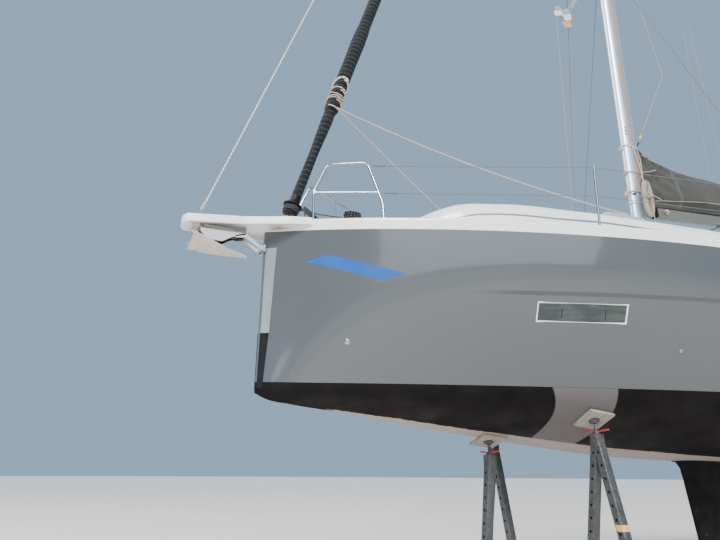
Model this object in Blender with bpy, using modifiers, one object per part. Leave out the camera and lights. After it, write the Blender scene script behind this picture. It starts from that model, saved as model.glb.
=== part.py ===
"""Sailing yacht laid up ashore on its keel, a bow post and four props.

Blender 4.5, metres, +X towards the bow, +Y to port, +Z up. The origin is on the floor at the
middle of the keel's foot. Most places are given as at(s, y, h): s metres aft of the stem, y to
port, h above the top edge of the antifouling paint, which is level.
"""
import math

import bmesh
import bpy
import numpy as np
from mathutils import Matrix, Vector
from mathutils.bvhtree import BVHTree

# Main sizes
STEM_X = 6.45  # the stem, forward of the middle of the keel's foot
WATER_Z = 2.40  # top edge of the antifouling above the floor
HULL_LENGTH = 13.50
GUNWALE = 0.125  # height of the white deck moulding's side
SEAM = 0.0004  # gap between two mouldings that touch
HULL_STEPS_BOTTOM = 6
HULL_STEPS_SIDE = 5

# Hull sections. Columns: s, half beam at the deck, half beam at the paint line,
# height of the deck edge, height of the bottom, deadrise in degrees, roundness of the side
SECTIONS = (
    (0.00, 0.030, 0.028, 1.650, -0.100, 40.0, 1.3),
    (0.10, 0.105, 0.078, 1.645, -0.145, 38.0, 1.4),
    (0.36, 0.300, 0.172, 1.633, -0.187, 36.0, 1.5),
    (0.80, 0.590, 0.345, 1.612, -0.234, 30.0, 1.6),
    (1.40, 0.925, 0.565, 1.588, -0.308, 25.0, 1.8),
    (2.10, 1.255, 0.800, 1.564, -0.395, 20.0, 1.9),
    (2.90, 1.555, 1.045, 1.541, -0.480, 16.0, 2.0),
    (4.00, 1.870, 1.345, 1.512, -0.583, 12.0, 2.0),
    (5.50, 2.105, 1.650, 1.476, -0.645, 8.0, 2.1),
    (7.00, 2.195, 1.845, 1.443, -0.650, 6.0, 2.3),
    (8.50, 2.200, 1.925, 1.414, -0.575, 5.0, 2.6),
    (10.0, 2.170, 1.925, 1.389, -0.440, 4.0, 3.0),
    (11.5, 2.110, 1.860, 1.368, -0.260, 3.0, 3.2),
    (12.7, 2.050, 1.790, 1.356, -0.105, 2.0, 3.2),
    (13.5, 2.000, 1.740, 1.350, -0.020, 1.0, 3.2),
)
# The styling step in the topsides: it starts behind START and reaches its full depth after RAMP
STEP_H = 0.86
STEP_DEPTH = 0.030
STEP_HEIGHT = 0.030
STEP_START = 1.75
STEP_RAMP = 0.55

# Bowsprit, on the deck moulding's cut-back bow
SPRIT_TIP_S = -0.83
SPRIT_AFT_S = 0.40
SPRIT_TIP_HALF = 0.13
SPRIT_STEM_HALF = 0.26
SPRIT_AFT_HALF = 0.345
SPRIT_THICK = 0.085
SPRIT_TIP_H = 1.555
SPRIT_AFT_H = 1.640

# Keel and its block
KEEL_ROOT_S = 5.53
KEEL_ROOT_CHORD = 1.60
KEEL_ROOT_THICK = 0.20
KEEL_ROOT_H = -0.600
KEEL_TIP_S = 5.74
KEEL_TIP_CHORD = 1.25
KEEL_TIP_THICK = 0.17
KEEL_FOOT_H = -2.25
BULB_LENGTH = 2.15
BULB_HALF_WIDTH = 0.21
BULB_HEIGHT = 0.34
BLOCK_LENGTH = 1.70
BLOCK_WIDTH = 0.50

# Rudder, saildrive and propeller
RUDDER_S = 12.35
RUDDER_STOCK_R = 0.045
RUDDER_TOP_H = -0.235
RUDDER_DEPTH = 1.55
RUDDER_TOP_CHORD = 0.62
RUDDER_TIP_CHORD = 0.42
RUDDER_BALANCE = 0.22  # share of the chord ahead of the stock
STOCK_GAP = 0.0008  # round the rudder stock, in its bearing
RUNNING = 0.006  # clearance round turning shafts and moving panels
DRIVE_S = 8.55
DRIVE_SHAFT_H = -0.93
PROP_R = 0.24
PROP_HUB_R = 0.055
PROP_HUB_LENGTH = 0.15

# Coachroof. Columns: s, half width at its foot, half width at its shoulder, height of the
# shoulder, height at the middle
ROOF = (
    (1.42, 0.30, 0.22, 1.640, 1.690),
    (1.62, 0.50, 0.42, 1.815, 1.885),
    (1.90, 0.71, 0.60, 1.950, 2.032),
    (2.40, 0.93, 0.80, 2.002, 2.092),
    (3.20, 1.15, 1.00, 2.003, 2.096),
    (4.20, 1.30, 1.13, 2.018, 2.110),
    (5.50, 1.40, 1.22, 2.055, 2.148),
    (7.00, 1.43, 1.25, 2.075, 2.160),
    (8.74, 1.43, 1.24, 2.080, 2.160),
)
TOE_RAIL_WIDTH = 0.045
TOE_RAIL_HEIGHT = 0.030
DECK_CAMBER = 0.055

# Cockpit
COCKPIT_S = 8.72
BENCH_END_S = 11.20
HELM_END_S = 12.80
COAMING_HALF = 1.56
SEATBACK_HALF = 1.26
WELL_HALF = 0.60
HELM_HALF = 1.42
SOLE_H = 0.62
SEAT_H = 1.06
COAMING_H = 1.66
LINER_WALL = 0.05
WALKWAY_HALF = 0.62
WALKWAY_STEP = 0.06
COMPANION_HALF = 0.34
COMPANION_S = 7.95
COMPANION_SILL_H = 1.20

# Mast, boom and rig
MAST_S = 5.49
MAST_STEP_RISE = 0.005  # the mast's foot above the coachroof
MAST_STEP_THICK = 0.115
MAST_LENGTH = 17.75
MAST_RAKE_DEG = 1.4
MAST_HALF_LONG = 0.125
MAST_HALF_WIDE = 0.082
SPREADER_HEIGHTS = (5.60, 11.10)  # above the mast's foot
SPREADER_HALVES = (1.30, 0.98)
SPREADER_SWEEP_DEG = 20.0
CHAINPLATE_S = 6.08
CHAINPLATE_INSET = 0.165  # from the deck's edge
WIRE_R = 0.006
STAY_TOP_DROP = 0.42  # forestay's top below the masthead
FORESTAY_S = 0.215
FORESTAY_H = 1.66
DRUM_R = 0.105
DRUM_HEIGHT = 0.12
DRUM_UP = 0.13  # the drum's foot, along the stay from its tack
BOOM_FOOT = 0.70  # gooseneck above the mast's foot
BOOM_LENGTH = 4.95
BOOM_HALF_WIDE = 0.060
BOOM_HALF_HIGH = 0.080
BOOM_RISE_DEG = 5.2
GOOSENECK_GAP = 0.055
BACKSTAY_HALF = 1.55

# Rails
RAIL_R = 0.0125
LINE_R = 0.004
STANCHION_HEIGHT = 0.715
PULPIT_HEIGHT = 0.715
STANCHIONS_S = (3.045, 4.85, 6.85, 8.80, 10.70)
PULPIT_AFT_S = 1.05
PUSHPIT_S = 12.15
RAIL_INSET = 0.042

# Props. Columns: name, s, half width where the pad meets the hull
PROPS = (
    ("forward", 3.33, 0.84),
    ("aft", 10.20, 1.34),
)
PAD_SIZE = 0.30
PAD_THICK = 0.028
POST_HALF = 0.045
SCREW_R = 0.018
LEG_LEAN = 0.21  # how far each leg of a side prop leans, for each metre down
NECK_LENGTH = 0.035
HEAD_DROP = 0.10  # from the pad's swivel to the top of the legs
SLEEVE_LENGTH = 0.12
BOW_POST_S = 2.62
BOW_POST_LEAN = 0.12
BEAM_HALF = 0.06
BEAM_HIGH = 0.08

COLOURS = {  # slot: colour, roughness, metallic
    "hull_grey": ((0.38, 0.42, 0.44, 1), 0.25, 0.0),
    "moulding_white": ((0.90, 0.89, 0.87, 1), 0.30, 0.0),
    "stainless": ((0.72, 0.72, 0.73, 1), 0.20, 1.0),
    "cast_iron": ((0.03, 0.03, 0.03, 1), 0.60, 0.0),
    "timber": ((0.45, 0.33, 0.20, 1), 0.80, 0.0),
    "alloy": ((0.62, 0.64, 0.66, 1), 0.35, 1.0),
    "dark_glass": ((0.03, 0.04, 0.05, 1), 0.08, 0.0),
    "black_plastic": ((0.02, 0.02, 0.02, 1), 0.45, 0.0),
    "sail_black": ((0.025, 0.025, 0.028, 1), 0.75, 0.0),
    "cover_olive": ((0.14, 0.14, 0.12, 1), 0.85, 0.0),
    "bronze": ((0.50, 0.34, 0.16, 1), 0.35, 1.0),
    "galvanised": ((0.45, 0.48, 0.49, 1), 0.45, 0.9),
    "drive_grey": ((0.30, 0.31, 0.32, 1), 0.40, 0.0),
}


# Scene and helpers

def clear_scene():
    for obj in list(bpy.data.objects):
        bpy.data.objects.remove(obj, do_unlink=True)


def collection(name):
    made = bpy.data.collections.new(name)
    bpy.context.scene.collection.children.link(made)
    return made


def material(slot):
    found = bpy.data.materials.get(slot)
    if found:
        return found
    colour, roughness, metallic = COLOURS[slot]
    made = bpy.data.materials.new(slot)
    made.use_nodes = True
    shader = made.node_tree.nodes["Principled BSDF"]
    shader.inputs["Base Color"].default_value = colour
    shader.inputs["Roughness"].default_value = roughness
    shader.inputs["Metallic"].default_value = metallic
    return made


def at(s, y, h):
    """The point s aft of the stem, y to port and h above the paint line."""
    return Vector((STEM_X - s, y, WATER_Z + h))


def place(name, mesh, slot, smooth=True):
    obj = bpy.data.objects.new(name, mesh)
    PARTS.objects.link(obj)
    mesh.materials.clear()
    mesh.materials.append(material(slot))
    if smooth:
        mesh.shade_smooth()
        mesh.set_sharp_from_angle(angle=math.radians(35))
    return obj


def from_bmesh(name, bm, slot, smooth=True):
    bmesh.ops.recalc_face_normals(bm, faces=bm.faces)
    mesh = bpy.data.meshes.new(name)
    bm.to_mesh(mesh)
    bm.free()
    return place(name, mesh, slot, smooth)


def box(name, low, high, slot):
    """A box between two corners."""
    low, high = Vector(low), Vector(high)
    bm = bmesh.new()
    bmesh.ops.create_cube(bm, size=1.0)
    size = Vector([abs(b - a) for a, b in zip(low, high)])
    bmesh.ops.scale(bm, vec=size, verts=bm.verts)
    bmesh.ops.translate(bm, vec=(low + high) / 2, verts=bm.verts)
    return from_bmesh(name, bm, slot, smooth=False)


def box_at(name, s_span, y_span, h_span, slot):
    """A box from spans of s, y and h."""
    return box(name, at(s_span[0], y_span[0], h_span[0]), at(s_span[1], y_span[1], h_span[1]), slot)


def rod(name, start, end, radius, slot, end_radius=None, sides=12):
    """A straight round bar or cone between two points."""
    start, end = Vector(start), Vector(end)
    bm = bmesh.new()
    bmesh.ops.create_cone(
        bm, cap_ends=True, segments=sides, depth=(end - start).length,
        radius1=radius, radius2=radius if end_radius is None else end_radius)
    turn = (end - start).to_track_quat("Z", "Y").to_matrix().to_4x4()
    bmesh.ops.transform(bm, matrix=Matrix.Translation((start + end) / 2) @ turn, verts=bm.verts)
    return from_bmesh(name, bm, slot)


def tube(name, points, radius, slot, sides_setting=1, closed=False):
    """A bent tube: a curve with a round bevel, made a mesh with its caps welded."""
    curve = bpy.data.curves.new(name, "CURVE")
    curve.dimensions = "3D"
    curve.bevel_depth = radius
    curve.bevel_resolution = sides_setting
    curve.use_fill_caps = True
    spline = curve.splines.new("POLY")
    spline.points.add(len(points) - 1)
    spline.use_cyclic_u = closed
    for node, point in zip(spline.points, points):
        node.co = (*point, 1.0)
    guide = bpy.data.objects.new(name, curve)
    PARTS.objects.link(guide)
    graph = bpy.context.evaluated_depsgraph_get()
    mesh = bpy.data.meshes.new_from_object(guide.evaluated_get(graph))
    bpy.data.objects.remove(guide)
    bm = bmesh.new()
    bm.from_mesh(mesh)
    bmesh.ops.remove_doubles(bm, verts=bm.verts, dist=0.00005)
    bpy.data.meshes.remove(mesh)
    return from_bmesh(name, bm, slot)


def loft(name, rings, slot, smooth=True):
    """A closed skin over rings that all have the same number of points."""
    bm = bmesh.new()
    rows = [[bm.verts.new(point) for point in ring] for ring in rings]
    count = len(rows[0])
    for first, second in zip(rows, rows[1:]):
        for i in range(count):
            j = (i + 1) % count
            bm.faces.new((first[i], first[j], second[j], second[i]))
    bm.faces.new(rows[0])
    bm.faces.new(rows[-1])
    bm.normal_update()
    bmesh.ops.triangulate(bm, faces=bm.faces)
    return from_bmesh(name, bm, slot, smooth)


def plate(name, outline, thickness, slot, frame=None):
    """A flat outline, in its own XY plane, with thickness about it, carried to frame."""
    bm = bmesh.new()
    low = [bm.verts.new((x, y, -thickness / 2)) for x, y in outline]
    high = [bm.verts.new((x, y, thickness / 2)) for x, y in outline]
    for i in range(len(outline)):
        j = (i + 1) % len(outline)
        bm.faces.new((low[i], low[j], high[j], high[i]))
    bm.faces.new(low)
    bm.faces.new(high)
    if frame is not None:
        bmesh.ops.transform(bm, matrix=frame, verts=bm.verts)
    return from_bmesh(name, bm, slot, smooth=False)


def as_helper(obj):
    """Keeps a cutter or a joined piece out of the render and of the build."""
    if obj.name in PARTS.objects:
        PARTS.objects.unlink(obj)
        HELPERS.objects.link(obj)
    obj.hide_render = True
    obj.display_type = "WIRE"
    return obj


def combine(obj, other, operation):
    modifier = obj.modifiers.new(operation.lower(), "BOOLEAN")
    modifier.operation = operation
    modifier.object = as_helper(other)
    return obj


def join(obj, *others):
    for other in others:
        combine(obj, other, "UNION")
    return obj


def cut(obj, *others):
    for other in others:
        combine(obj, other, "DIFFERENCE")
    return obj


def bevel(obj, width, segments=2, angle=40.0):
    modifier = obj.modifiers.new("bevel", "BEVEL")
    modifier.width = width
    modifier.segments = segments
    modifier.limit_method = "ANGLE"
    modifier.angle_limit = math.radians(angle)
    return obj


def mirrored(obj, name):
    """A copy of a finished mesh on the other side of the centreline."""
    graph = bpy.context.evaluated_depsgraph_get()
    mesh = bpy.data.meshes.new_from_object(obj.evaluated_get(graph))
    mesh.transform(Matrix.Scale(-1, 4, (0, 1, 0)) @ obj.matrix_world)
    mesh.flip_normals()
    mesh.name = name
    copy = bpy.data.objects.new(name, mesh)
    PARTS.objects.link(copy)
    return copy


# Hull form

def smooth_row(table, s):
    """The table's row at s, by cubic interpolation through its rows."""
    rows = np.array(table)
    places = rows[:, 0]
    slopes = np.gradient(rows, places, axis=0)
    i = int(np.clip(np.searchsorted(places, s) - 1, 0, len(places) - 2))
    span = places[i + 1] - places[i]
    t = min(max((s - places[i]) / span, 0.0), 1.0)
    a = 2 * t ** 3 - 3 * t ** 2 + 1
    b = t ** 3 - 2 * t ** 2 + t
    c = -2 * t ** 3 + 3 * t ** 2
    d = t ** 3 - t ** 2
    blend = a * rows[i] + b * span * slopes[i] + c * rows[i + 1] + d * span * slopes[i + 1]
    return [float(v) for v in blend]


def step_depth(s):
    share = min(max((s - STEP_START) / STEP_RAMP, 0.0), 1.0)
    return STEP_DEPTH * share * share * (3 - 2 * share)


def side_half(s, h):
    """Half beam of the topsides at height h, at or above the paint line."""
    _, deck, line, top, _, _, power = smooth_row(SECTIONS, s)
    share = min(max(h / top, 0.0), 1.0)
    half = line + (deck - line) * (1 - (1 - share) ** power)
    below = min(max((STEP_H - h) / STEP_HEIGHT, 0.0), 1.0)
    fade = min(max(h / STEP_H, 0.0), 1.0)
    return half - step_depth(s) * below * fade


def bottom_curve(s, count):
    """Points (y, h) of the bottom from the middle to the paint line."""
    _, deck, line, top, low, deadrise, power = smooth_row(SECTIONS, s)
    slope = (deck - line) * power / top
    start = Vector((0.0, low))
    reach = 0.50 * line
    first = start + reach * Vector((1.0, min(math.tan(math.radians(deadrise)), -0.8 * low / reach)))
    end = Vector((side_half(s, 0.0), 0.0))
    second = end + 0.55 * low * Vector((slope, 1.0))
    points = []
    for i in range(count + 1):
        t = i / count
        points.append(
            (1 - t) ** 3 * start + 3 * t * (1 - t) ** 2 * first
            + 3 * t * t * (1 - t) * second + t ** 3 * end)
    return points


def hull_ring(s, top_drop=GUNWALE):
    """The closed section at s, from the keel line up the port side and down the other."""
    top = smooth_row(SECTIONS, s)[3] - top_drop
    port = [(p.x, p.y) for p in bottom_curve(s, HULL_STEPS_BOTTOM)]
    lower = np.linspace(0.0, STEP_H - STEP_HEIGHT, HULL_STEPS_SIDE)[1:]
    upper = np.linspace(STEP_H, top, HULL_STEPS_SIDE - 1)
    port += [(side_half(s, h), h) for h in (*lower, *upper)]
    ring = [at(s, y, h) for y, h in port]
    ring += [at(s, -y, h) for y, h in reversed(port[1:])]
    return ring


def hull_stations():
    """The section table's own stations and one midway between each two."""
    places = [row[0] for row in SECTIONS]
    middles = [(a + b) / 2 for a, b in zip(places, places[1:])]
    return sorted(places + middles)


def edge_height(s):
    return smooth_row(SECTIONS, s)[3]


def deck_half(s):
    return smooth_row(SECTIONS, s)[1]


def side_patch(name, s_span, h_span, inner, outer, slot, grid=(6, 2), side=1):
    """A curved panel over the topsides between two offsets from the hull's surface."""
    def shell(offset):
        rows = []
        for h in np.linspace(h_span[0], h_span[1], grid[1] + 1):
            row = []
            for s in np.linspace(s_span[0], s_span[1], grid[0] + 1):
                y = side_half(s, h)
                along = Vector((-0.05, side_half(s + 0.05, h) - y, 0)).normalized()
                up = Vector((0, side_half(s, h + 0.05) - y, 0.05)).normalized()
                normal = up.cross(along).normalized()
                normal = normal if normal.y > 0 else -normal
                row.append(at(s, y, h) + normal * offset)
            rows.append(row)
        return rows
    low, high = shell(inner), shell(outer)
    bm = bmesh.new()
    under = [[bm.verts.new((p.x, side * p.y, p.z)) for p in row] for row in low]
    over = [[bm.verts.new((p.x, side * p.y, p.z)) for p in row] for row in high]
    for r in range(grid[1]):
        for c in range(grid[0]):
            for rows in (under, over):
                bm.faces.new((rows[r][c], rows[r][c + 1], rows[r + 1][c + 1], rows[r + 1][c]))
    rim = [(0, c) for c in range(grid[0])] + [(r, grid[0]) for r in range(grid[1])]
    rim += [(grid[1], c) for c in range(grid[0], 0, -1)] + [(r, 0) for r in range(grid[1], 0, -1)]
    for (r, c), (r2, c2) in zip(rim, rim[1:] + rim[:1]):
        bm.faces.new((under[r][c], under[r2][c2], over[r2][c2], over[r][c]))
    bm.normal_update()
    bmesh.ops.triangulate(bm, faces=bm.faces)
    return from_bmesh(name, bm, slot)


HULL_WINDOW = dict(s=(2.42, 3.28), h=(0.585, 0.765))
WINDOW_DEPTH = 0.016
WINDOW_GLASS = 0.010


def foil(chord, thickness, count=8):
    """The outline of a symmetric foil, nose at 0 and tail at -chord, as (x, y)."""
    upper = []
    for i in range(count + 1):
        t = (i / count) ** 1.7
        y = thickness * (1.484 * math.sqrt(t) - 0.63 * t - 1.758 * t ** 2 + 1.4215 * t ** 3
                         - 0.5075 * t ** 4)
        upper.append((-chord * t, max(y, 0.003)))
    upper[0] = (0.0, 0.0)
    return upper + [(x, -y) for x, y in reversed(upper[1:])]


def foil_loft(name, sections, slot):
    """A blade through foils. Each section is nose s, chord, thickness, height."""
    rings = []
    for nose, chord, thickness, h in sections:
        rings.append([at(nose - x, y, h) for x, y in foil(chord, thickness)])
    return loft(name, rings, slot)


def make_hull():
    hull = loft("hull", [hull_ring(s) for s in hull_stations()], "hull_grey")
    keel_slot = foil_loft("keel_slot", [
        (KEEL_ROOT_S - 0.002, KEEL_ROOT_CHORD + 0.004, KEEL_ROOT_THICK + 0.004, KEEL_ROOT_H - 0.30),
        (KEEL_ROOT_S - 0.002, KEEL_ROOT_CHORD + 0.004, KEEL_ROOT_THICK + 0.004, KEEL_ROOT_H + SEAM),
    ], "hull_grey")
    liner = box_at("liner_space", (COCKPIT_S - LINER_WALL - SEAM, HULL_LENGTH + 1),
                   (-HELM_HALF - LINER_WALL - SEAM, HELM_HALF + LINER_WALL + SEAM),
                   (SOLE_H - LINER_WALL - SEAM, 3.0), "hull_grey")
    stairs = box_at("stairs_space", (COMPANION_S, COCKPIT_S),
                    (-COMPANION_HALF, COMPANION_HALF), (0.75, 3.0), "hull_grey")
    bore = rod("stock_bore", at(RUDDER_S, 0, -0.6), at(RUDDER_S, 0, 0.35),
               RUDDER_STOCK_R + STOCK_GAP, "hull_grey", sides=48)
    cut(hull, keel_slot, liner, stairs, bore, anchor_well("locker_space"))
    for side in (1, -1):
        cut(hull, side_patch(f"window_recess_{side}", HULL_WINDOW["s"], HULL_WINDOW["h"],
                             -WINDOW_DEPTH, 0.05, "hull_grey", side=side))
    return hull


def make_hull_windows():
    for side, word in ((1, "port"), (-1, "starboard")):
        edge = 0.004
        s0, s1 = HULL_WINDOW["s"]
        h0, h1 = HULL_WINDOW["h"]
        side_patch(f"hull_window_{word}", (s0 + edge, s1 - edge), (h0 + edge, h1 - edge),
                   -WINDOW_DEPTH + SEAM, -WINDOW_DEPTH + SEAM + WINDOW_GLASS, "dark_glass", side=side)


# Deck moulding

def deck_ring(s):
    top = edge_height(s)
    low = top - GUNWALE + SEAM
    half = deck_half(s)
    rail = min(TOE_RAIL_WIDTH, 0.4 * half)
    inner = half - rail
    floor = top - TOE_RAIL_HEIGHT
    camber = DECK_CAMBER * inner / 2.2
    port = [(side_half(s, low), low), (half, top), (inner, top), (inner - 0.006, floor),
            (0.5 * inner, floor + 0.75 * camber)]
    ring = [at(s, y, h) for y, h in port] + [at(s, 0, floor + camber)]
    return ring + [at(s, -y, h) for y, h in reversed(port)]


def roof_ring(row):
    s, foot, shoulder, side_h, mid_h = row
    base = edge_height(s) - GUNWALE / 2
    port = [(foot, base), (foot, edge_height(s) + 0.02), (shoulder + 0.045, side_h - 0.05),
            (shoulder, side_h), (0.55 * shoulder, side_h + 0.72 * (mid_h - side_h))]
    ring = [at(s, y, h) for y, h in port] + [at(s, 0, mid_h)]
    return ring + [at(s, -y, h) for y, h in reversed(port)]


def roof_at(s):
    return smooth_row(ROOF, s)


def roof_top(s, y):
    """Height of the coachroof's top at s and y, inside its shoulders."""
    _, _, shoulder, side_h, mid_h = roof_at(s)
    knee, knee_h = 0.55 * shoulder, side_h + 0.72 * (mid_h - side_h)
    return float(np.interp(abs(y), (0, knee, shoulder), (mid_h, knee_h, side_h)))


CHAINPLATE_HALF = deck_half(CHAINPLATE_S) - CHAINPLATE_INSET
MAST_FOOT_H = roof_top(MAST_S, 0) + MAST_STEP_RISE
MAST_TOP_H = MAST_FOOT_H + MAST_LENGTH
ROOF_WINDOW = dict(s=(2.07, 7.60), foot=0.08, share=0.53)
ROOF_GLASS = 0.008


def roof_window(name, inner, outer, grow, slot):
    """A long panel on the coachroof's port side, between two offsets from its sloping face."""
    s0, s1 = ROOF_WINDOW["s"]
    rings = []
    for s in np.linspace(s0 - grow, s1 + grow, 13):
        _, side, shoulder, side_h, _ = roof_at(s)
        low = Vector((side, edge_height(s) + 0.02))
        high = Vector((shoulder + 0.045, side_h - 0.05))
        face = high - low
        normal = Vector((face.y, -face.x)).normalized()
        along = face.normalized()
        length = face.length
        foot = ROOF_WINDOW["foot"]
        start = low + along * (foot - grow)
        taper = min(1.0, 0.35 + (s - s0) / 0.9)
        end = low + along * (foot + (ROOF_WINDOW["share"] * length - foot) * taper + grow)
        quad = [start + normal * inner, start + normal * outer, end + normal * outer, end + normal * inner]
        rings.append([at(s, p.x, p.y) for p in quad])
    return loft(name, rings, slot, smooth=False)


def make_deck():
    deck = loft("deck", [deck_ring(s) for s in hull_stations()], "moulding_white")
    roof = loft("roof_form", [roof_ring(roof_at(s)) for s in
                              (1.42, 1.52, 1.62, 1.76, 1.90, 2.15, 2.40, 2.80, 3.20, 3.70, 4.20, 4.85,
                               5.50, 6.25, 7.00, 7.85, 8.74)], "moulding_white")
    join(deck, roof)
    liner = box_at("liner_form", (COCKPIT_S - LINER_WALL, HULL_LENGTH - 0.001),
                   (-HELM_HALF - LINER_WALL, HELM_HALF + LINER_WALL),
                   (SOLE_H - LINER_WALL, edge_height(COCKPIT_S) - 0.02), "moulding_white")
    join(deck, liner)
    for side in (1, -1):
        rings = []
        for s, height in ((8.55, COAMING_H - 0.01), (9.6, COAMING_H), (11.2, COAMING_H - 0.02),
                          (12.3, COAMING_H - 0.10), (13.2, edge_height(13.2) + 0.03)):
            outer = COAMING_HALF + 0.10 if s < 12 else min(COAMING_HALF + 0.10, deck_half(s) - 0.2)
            foot = edge_height(s) - GUNWALE / 2
            rings.append([at(s, side * y, h) for y, h in (
                (SEATBACK_HALF - 0.06, foot), (outer, foot), (outer - 0.07, height - 0.03),
                (outer - 0.12, height), (SEATBACK_HALF - 0.06, height))])
        join(deck, loft(f"coaming_form_{side}", rings, "moulding_white"))
    top = 3.2
    wells = (
        ((COCKPIT_S, BENCH_END_S + 0.01), WELL_HALF, SOLE_H),
        ((COCKPIT_S, BENCH_END_S + 0.01), SEATBACK_HALF, SEAT_H),
        ((BENCH_END_S, HELM_END_S), HELM_HALF, SOLE_H),
        ((HELM_END_S - 0.01, HULL_LENGTH + 0.5), WALKWAY_HALF, SOLE_H + WALKWAY_STEP),
        ((COMPANION_S, COCKPIT_S + 0.1), COMPANION_HALF, COMPANION_SILL_H),
    )
    for i, (span, half, low) in enumerate(wells):
        cut(deck, box_at(f"well_{i}", span, (-half, half), (low, top), "moulding_white"))
    cut(deck, sprit_form("sprit_seat", SEAM, SEAM, 0.5), anchor_well("anchor_well_space"))
    window = roof_window("roof_window_seat", -0.012, 0.05, 0.002, "dark_glass")
    cut(deck, window, mirrored(window, "roof_window_seat_other"))
    return deck


def make_roof_windows():
    port = roof_window("coachroof_window_port", -0.012 + SEAM, -0.012 + SEAM + ROOF_GLASS, -0.002,
                       "dark_glass")
    mirrored(port, "coachroof_window_starboard")


# Bow

SPRIT_ROWS = (  # s, half width, height of the top
    (SPRIT_TIP_S, SPRIT_TIP_HALF - 0.045, SPRIT_TIP_H),
    (SPRIT_TIP_S + 0.035, SPRIT_TIP_HALF, SPRIT_TIP_H),
    (-0.25, 0.5 * (SPRIT_TIP_HALF + SPRIT_STEM_HALF), 0.55 * SPRIT_TIP_H + 0.45 * SPRIT_AFT_H),
    (0.0, SPRIT_STEM_HALF, 0.32 * SPRIT_TIP_H + 0.68 * SPRIT_AFT_H),
    (0.18, 0.5 * (SPRIT_STEM_HALF + SPRIT_AFT_HALF) + 0.01, SPRIT_AFT_H - 0.012),
    (SPRIT_AFT_S, SPRIT_AFT_HALF, SPRIT_AFT_H),
)


def sprit_under(s):
    """Height of the bowsprit's underside."""
    return float(np.interp(s, [row[0] for row in SPRIT_ROWS], [row[2] for row in SPRIT_ROWS])) - SPRIT_THICK


def sprit_form(name, grow=0.0, under=0.0, over=0.0, slot="moulding_white"):
    """The bowsprit's slab, from its tip to its end on the foredeck."""
    rows = list(SPRIT_ROWS)
    rows[0] = (rows[0][0] - grow, *rows[0][1:])
    rows[-1] = (rows[-1][0] + grow, *rows[-1][1:])
    rings = []
    for s, half, top in rows:
        half += grow
        rings.append([at(s, y, h) for y, h in (
            (half, top + over), (-half, top + over),
            (-half, top - SPRIT_THICK - under), (half, top - SPRIT_THICK - under))])
    return loft(name, rings, slot, smooth=False)


def make_sprit():
    bevel(sprit_form("bowsprit"), 0.012, 2, 50)


ROLLER_S = -0.47
ROLLER_H = 1.385
ROLLER_R = 0.030


def make_bow_bracket():
    """Stainless cheeks for the anchor roller, and the strut down to the stem."""
    side_view = Matrix.Rotation(math.radians(90), 4, "X")
    cheek = [(0.665, sprit_under(-0.665) - SEAM), (0.20, sprit_under(-0.20) - SEAM), (0.20, 1.445),
             (0.335, 1.405),
             (0.44, 1.335), (0.56, 1.345), (0.645, 1.405)]
    strut = [(0.30, 1.405), (0.315, 1.43), (0.20, 1.465), (0.055, 1.365), (0.018, 1.365), (0.018, 1.310),
             (0.035, 1.310), (0.21, 1.420)]
    made = None
    for side in (1, -1):
        move = Matrix.Translation((STEM_X, side * 0.060, WATER_Z))
        for label, shape in (("cheek", cheek), ("strut", strut)):
            piece = plate(f"{label}_{side}", shape, 0.008, "stainless", move @ side_view)
            made = piece if made is None else join(made, piece)
    roller = rod("roller", at(ROLLER_S, -0.066, ROLLER_H), at(ROLLER_S, 0.066, ROLLER_H), ROLLER_R,
                 "stainless", sides=16)
    tie = rod("strut_tie", at(-0.030, -0.066, 1.332), at(-0.030, 0.066, 1.332), 0.014, "stainless")
    rings = []
    for s in (-0.62, -0.34):
        top = sprit_under(s) - SEAM
        rings.append([at(s, y, h) for y, h in ((0.085, top), (-0.085, top), (-0.085, top - 0.008),
                                               (0.085, top - 0.008))])
    join(made, roller, tie, loft("roller_plate", rings, "stainless", smooth=False))
    made.name = "bow_bracket"
    return made


def make_anchor():
    """A plough anchor hanging in the roller, its point towards the stem."""
    heel, tip, half = -0.745, -0.165, 0.165
    rings = []
    for s, wing, ridge, edge in ((heel, half, 1.225, 1.350), (heel + 0.16, half - 0.025, 1.208, 1.325),
                                 (heel + 0.36, 0.075, 1.212, 1.268), (tip, 0.012, 1.222, 1.234)):
        under = [(wing, edge), (0, ridge), (-wing, edge)]
        over = [(-wing, edge + 0.012), (0, ridge + 0.022), (wing, edge + 0.012)]
        rings.append([at(s, y, h) for y, h in under + over])
    anchor = loft("anchor", rings, "galvanised", smooth=False)
    low = ROLLER_H + ROLLER_R + SEAM
    shank_side = Matrix.Translation((STEM_X, 0, WATER_Z)) @ Matrix.Rotation(math.radians(90), 4, "X")
    shank = plate("shank", [(0.640, 1.215), (0.660, 1.300), (0.560, 1.440), (0.300, 1.444), (0.300, low),
                            (0.490, low), (0.555, 1.350), (0.500, 1.218)], 0.022, "galvanised", shank_side)
    return join(anchor, shank)


LOCKER_S = (0.56, 1.12)
LOCKER_HALVES = (0.27, 0.42)  # at its front and at its back
LOCKER_FLOOR_H = 1.12


def anchor_well(name):
    """The anchor locker's space, down through the foredeck into the bow."""
    rings = []
    for s, half in zip(LOCKER_S, LOCKER_HALVES):
        rings.append([at(s, y, h) for y, h in (
            (half, 2.2), (-half, 2.2), (-half, LOCKER_FLOOR_H), (half, LOCKER_FLOOR_H))])
    return loft(name, rings, "moulding_white", smooth=False)


def deck_top(s, y):
    """Height of the deck moulding's walking surface."""
    top, half = edge_height(s), deck_half(s)
    inner = half - min(TOE_RAIL_WIDTH, 0.4 * half)
    floor = top - TOE_RAIL_HEIGHT
    camber = DECK_CAMBER * inner / 2.2
    return floor + camber * float(np.interp(abs(y), (0, 0.5 * inner, inner - 0.006), (1, 0.75, 0)))


# Hinges, panels and lids

PIN_R = 0.006
PIN_GAP = 0.0005
LUG = 0.024


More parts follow.
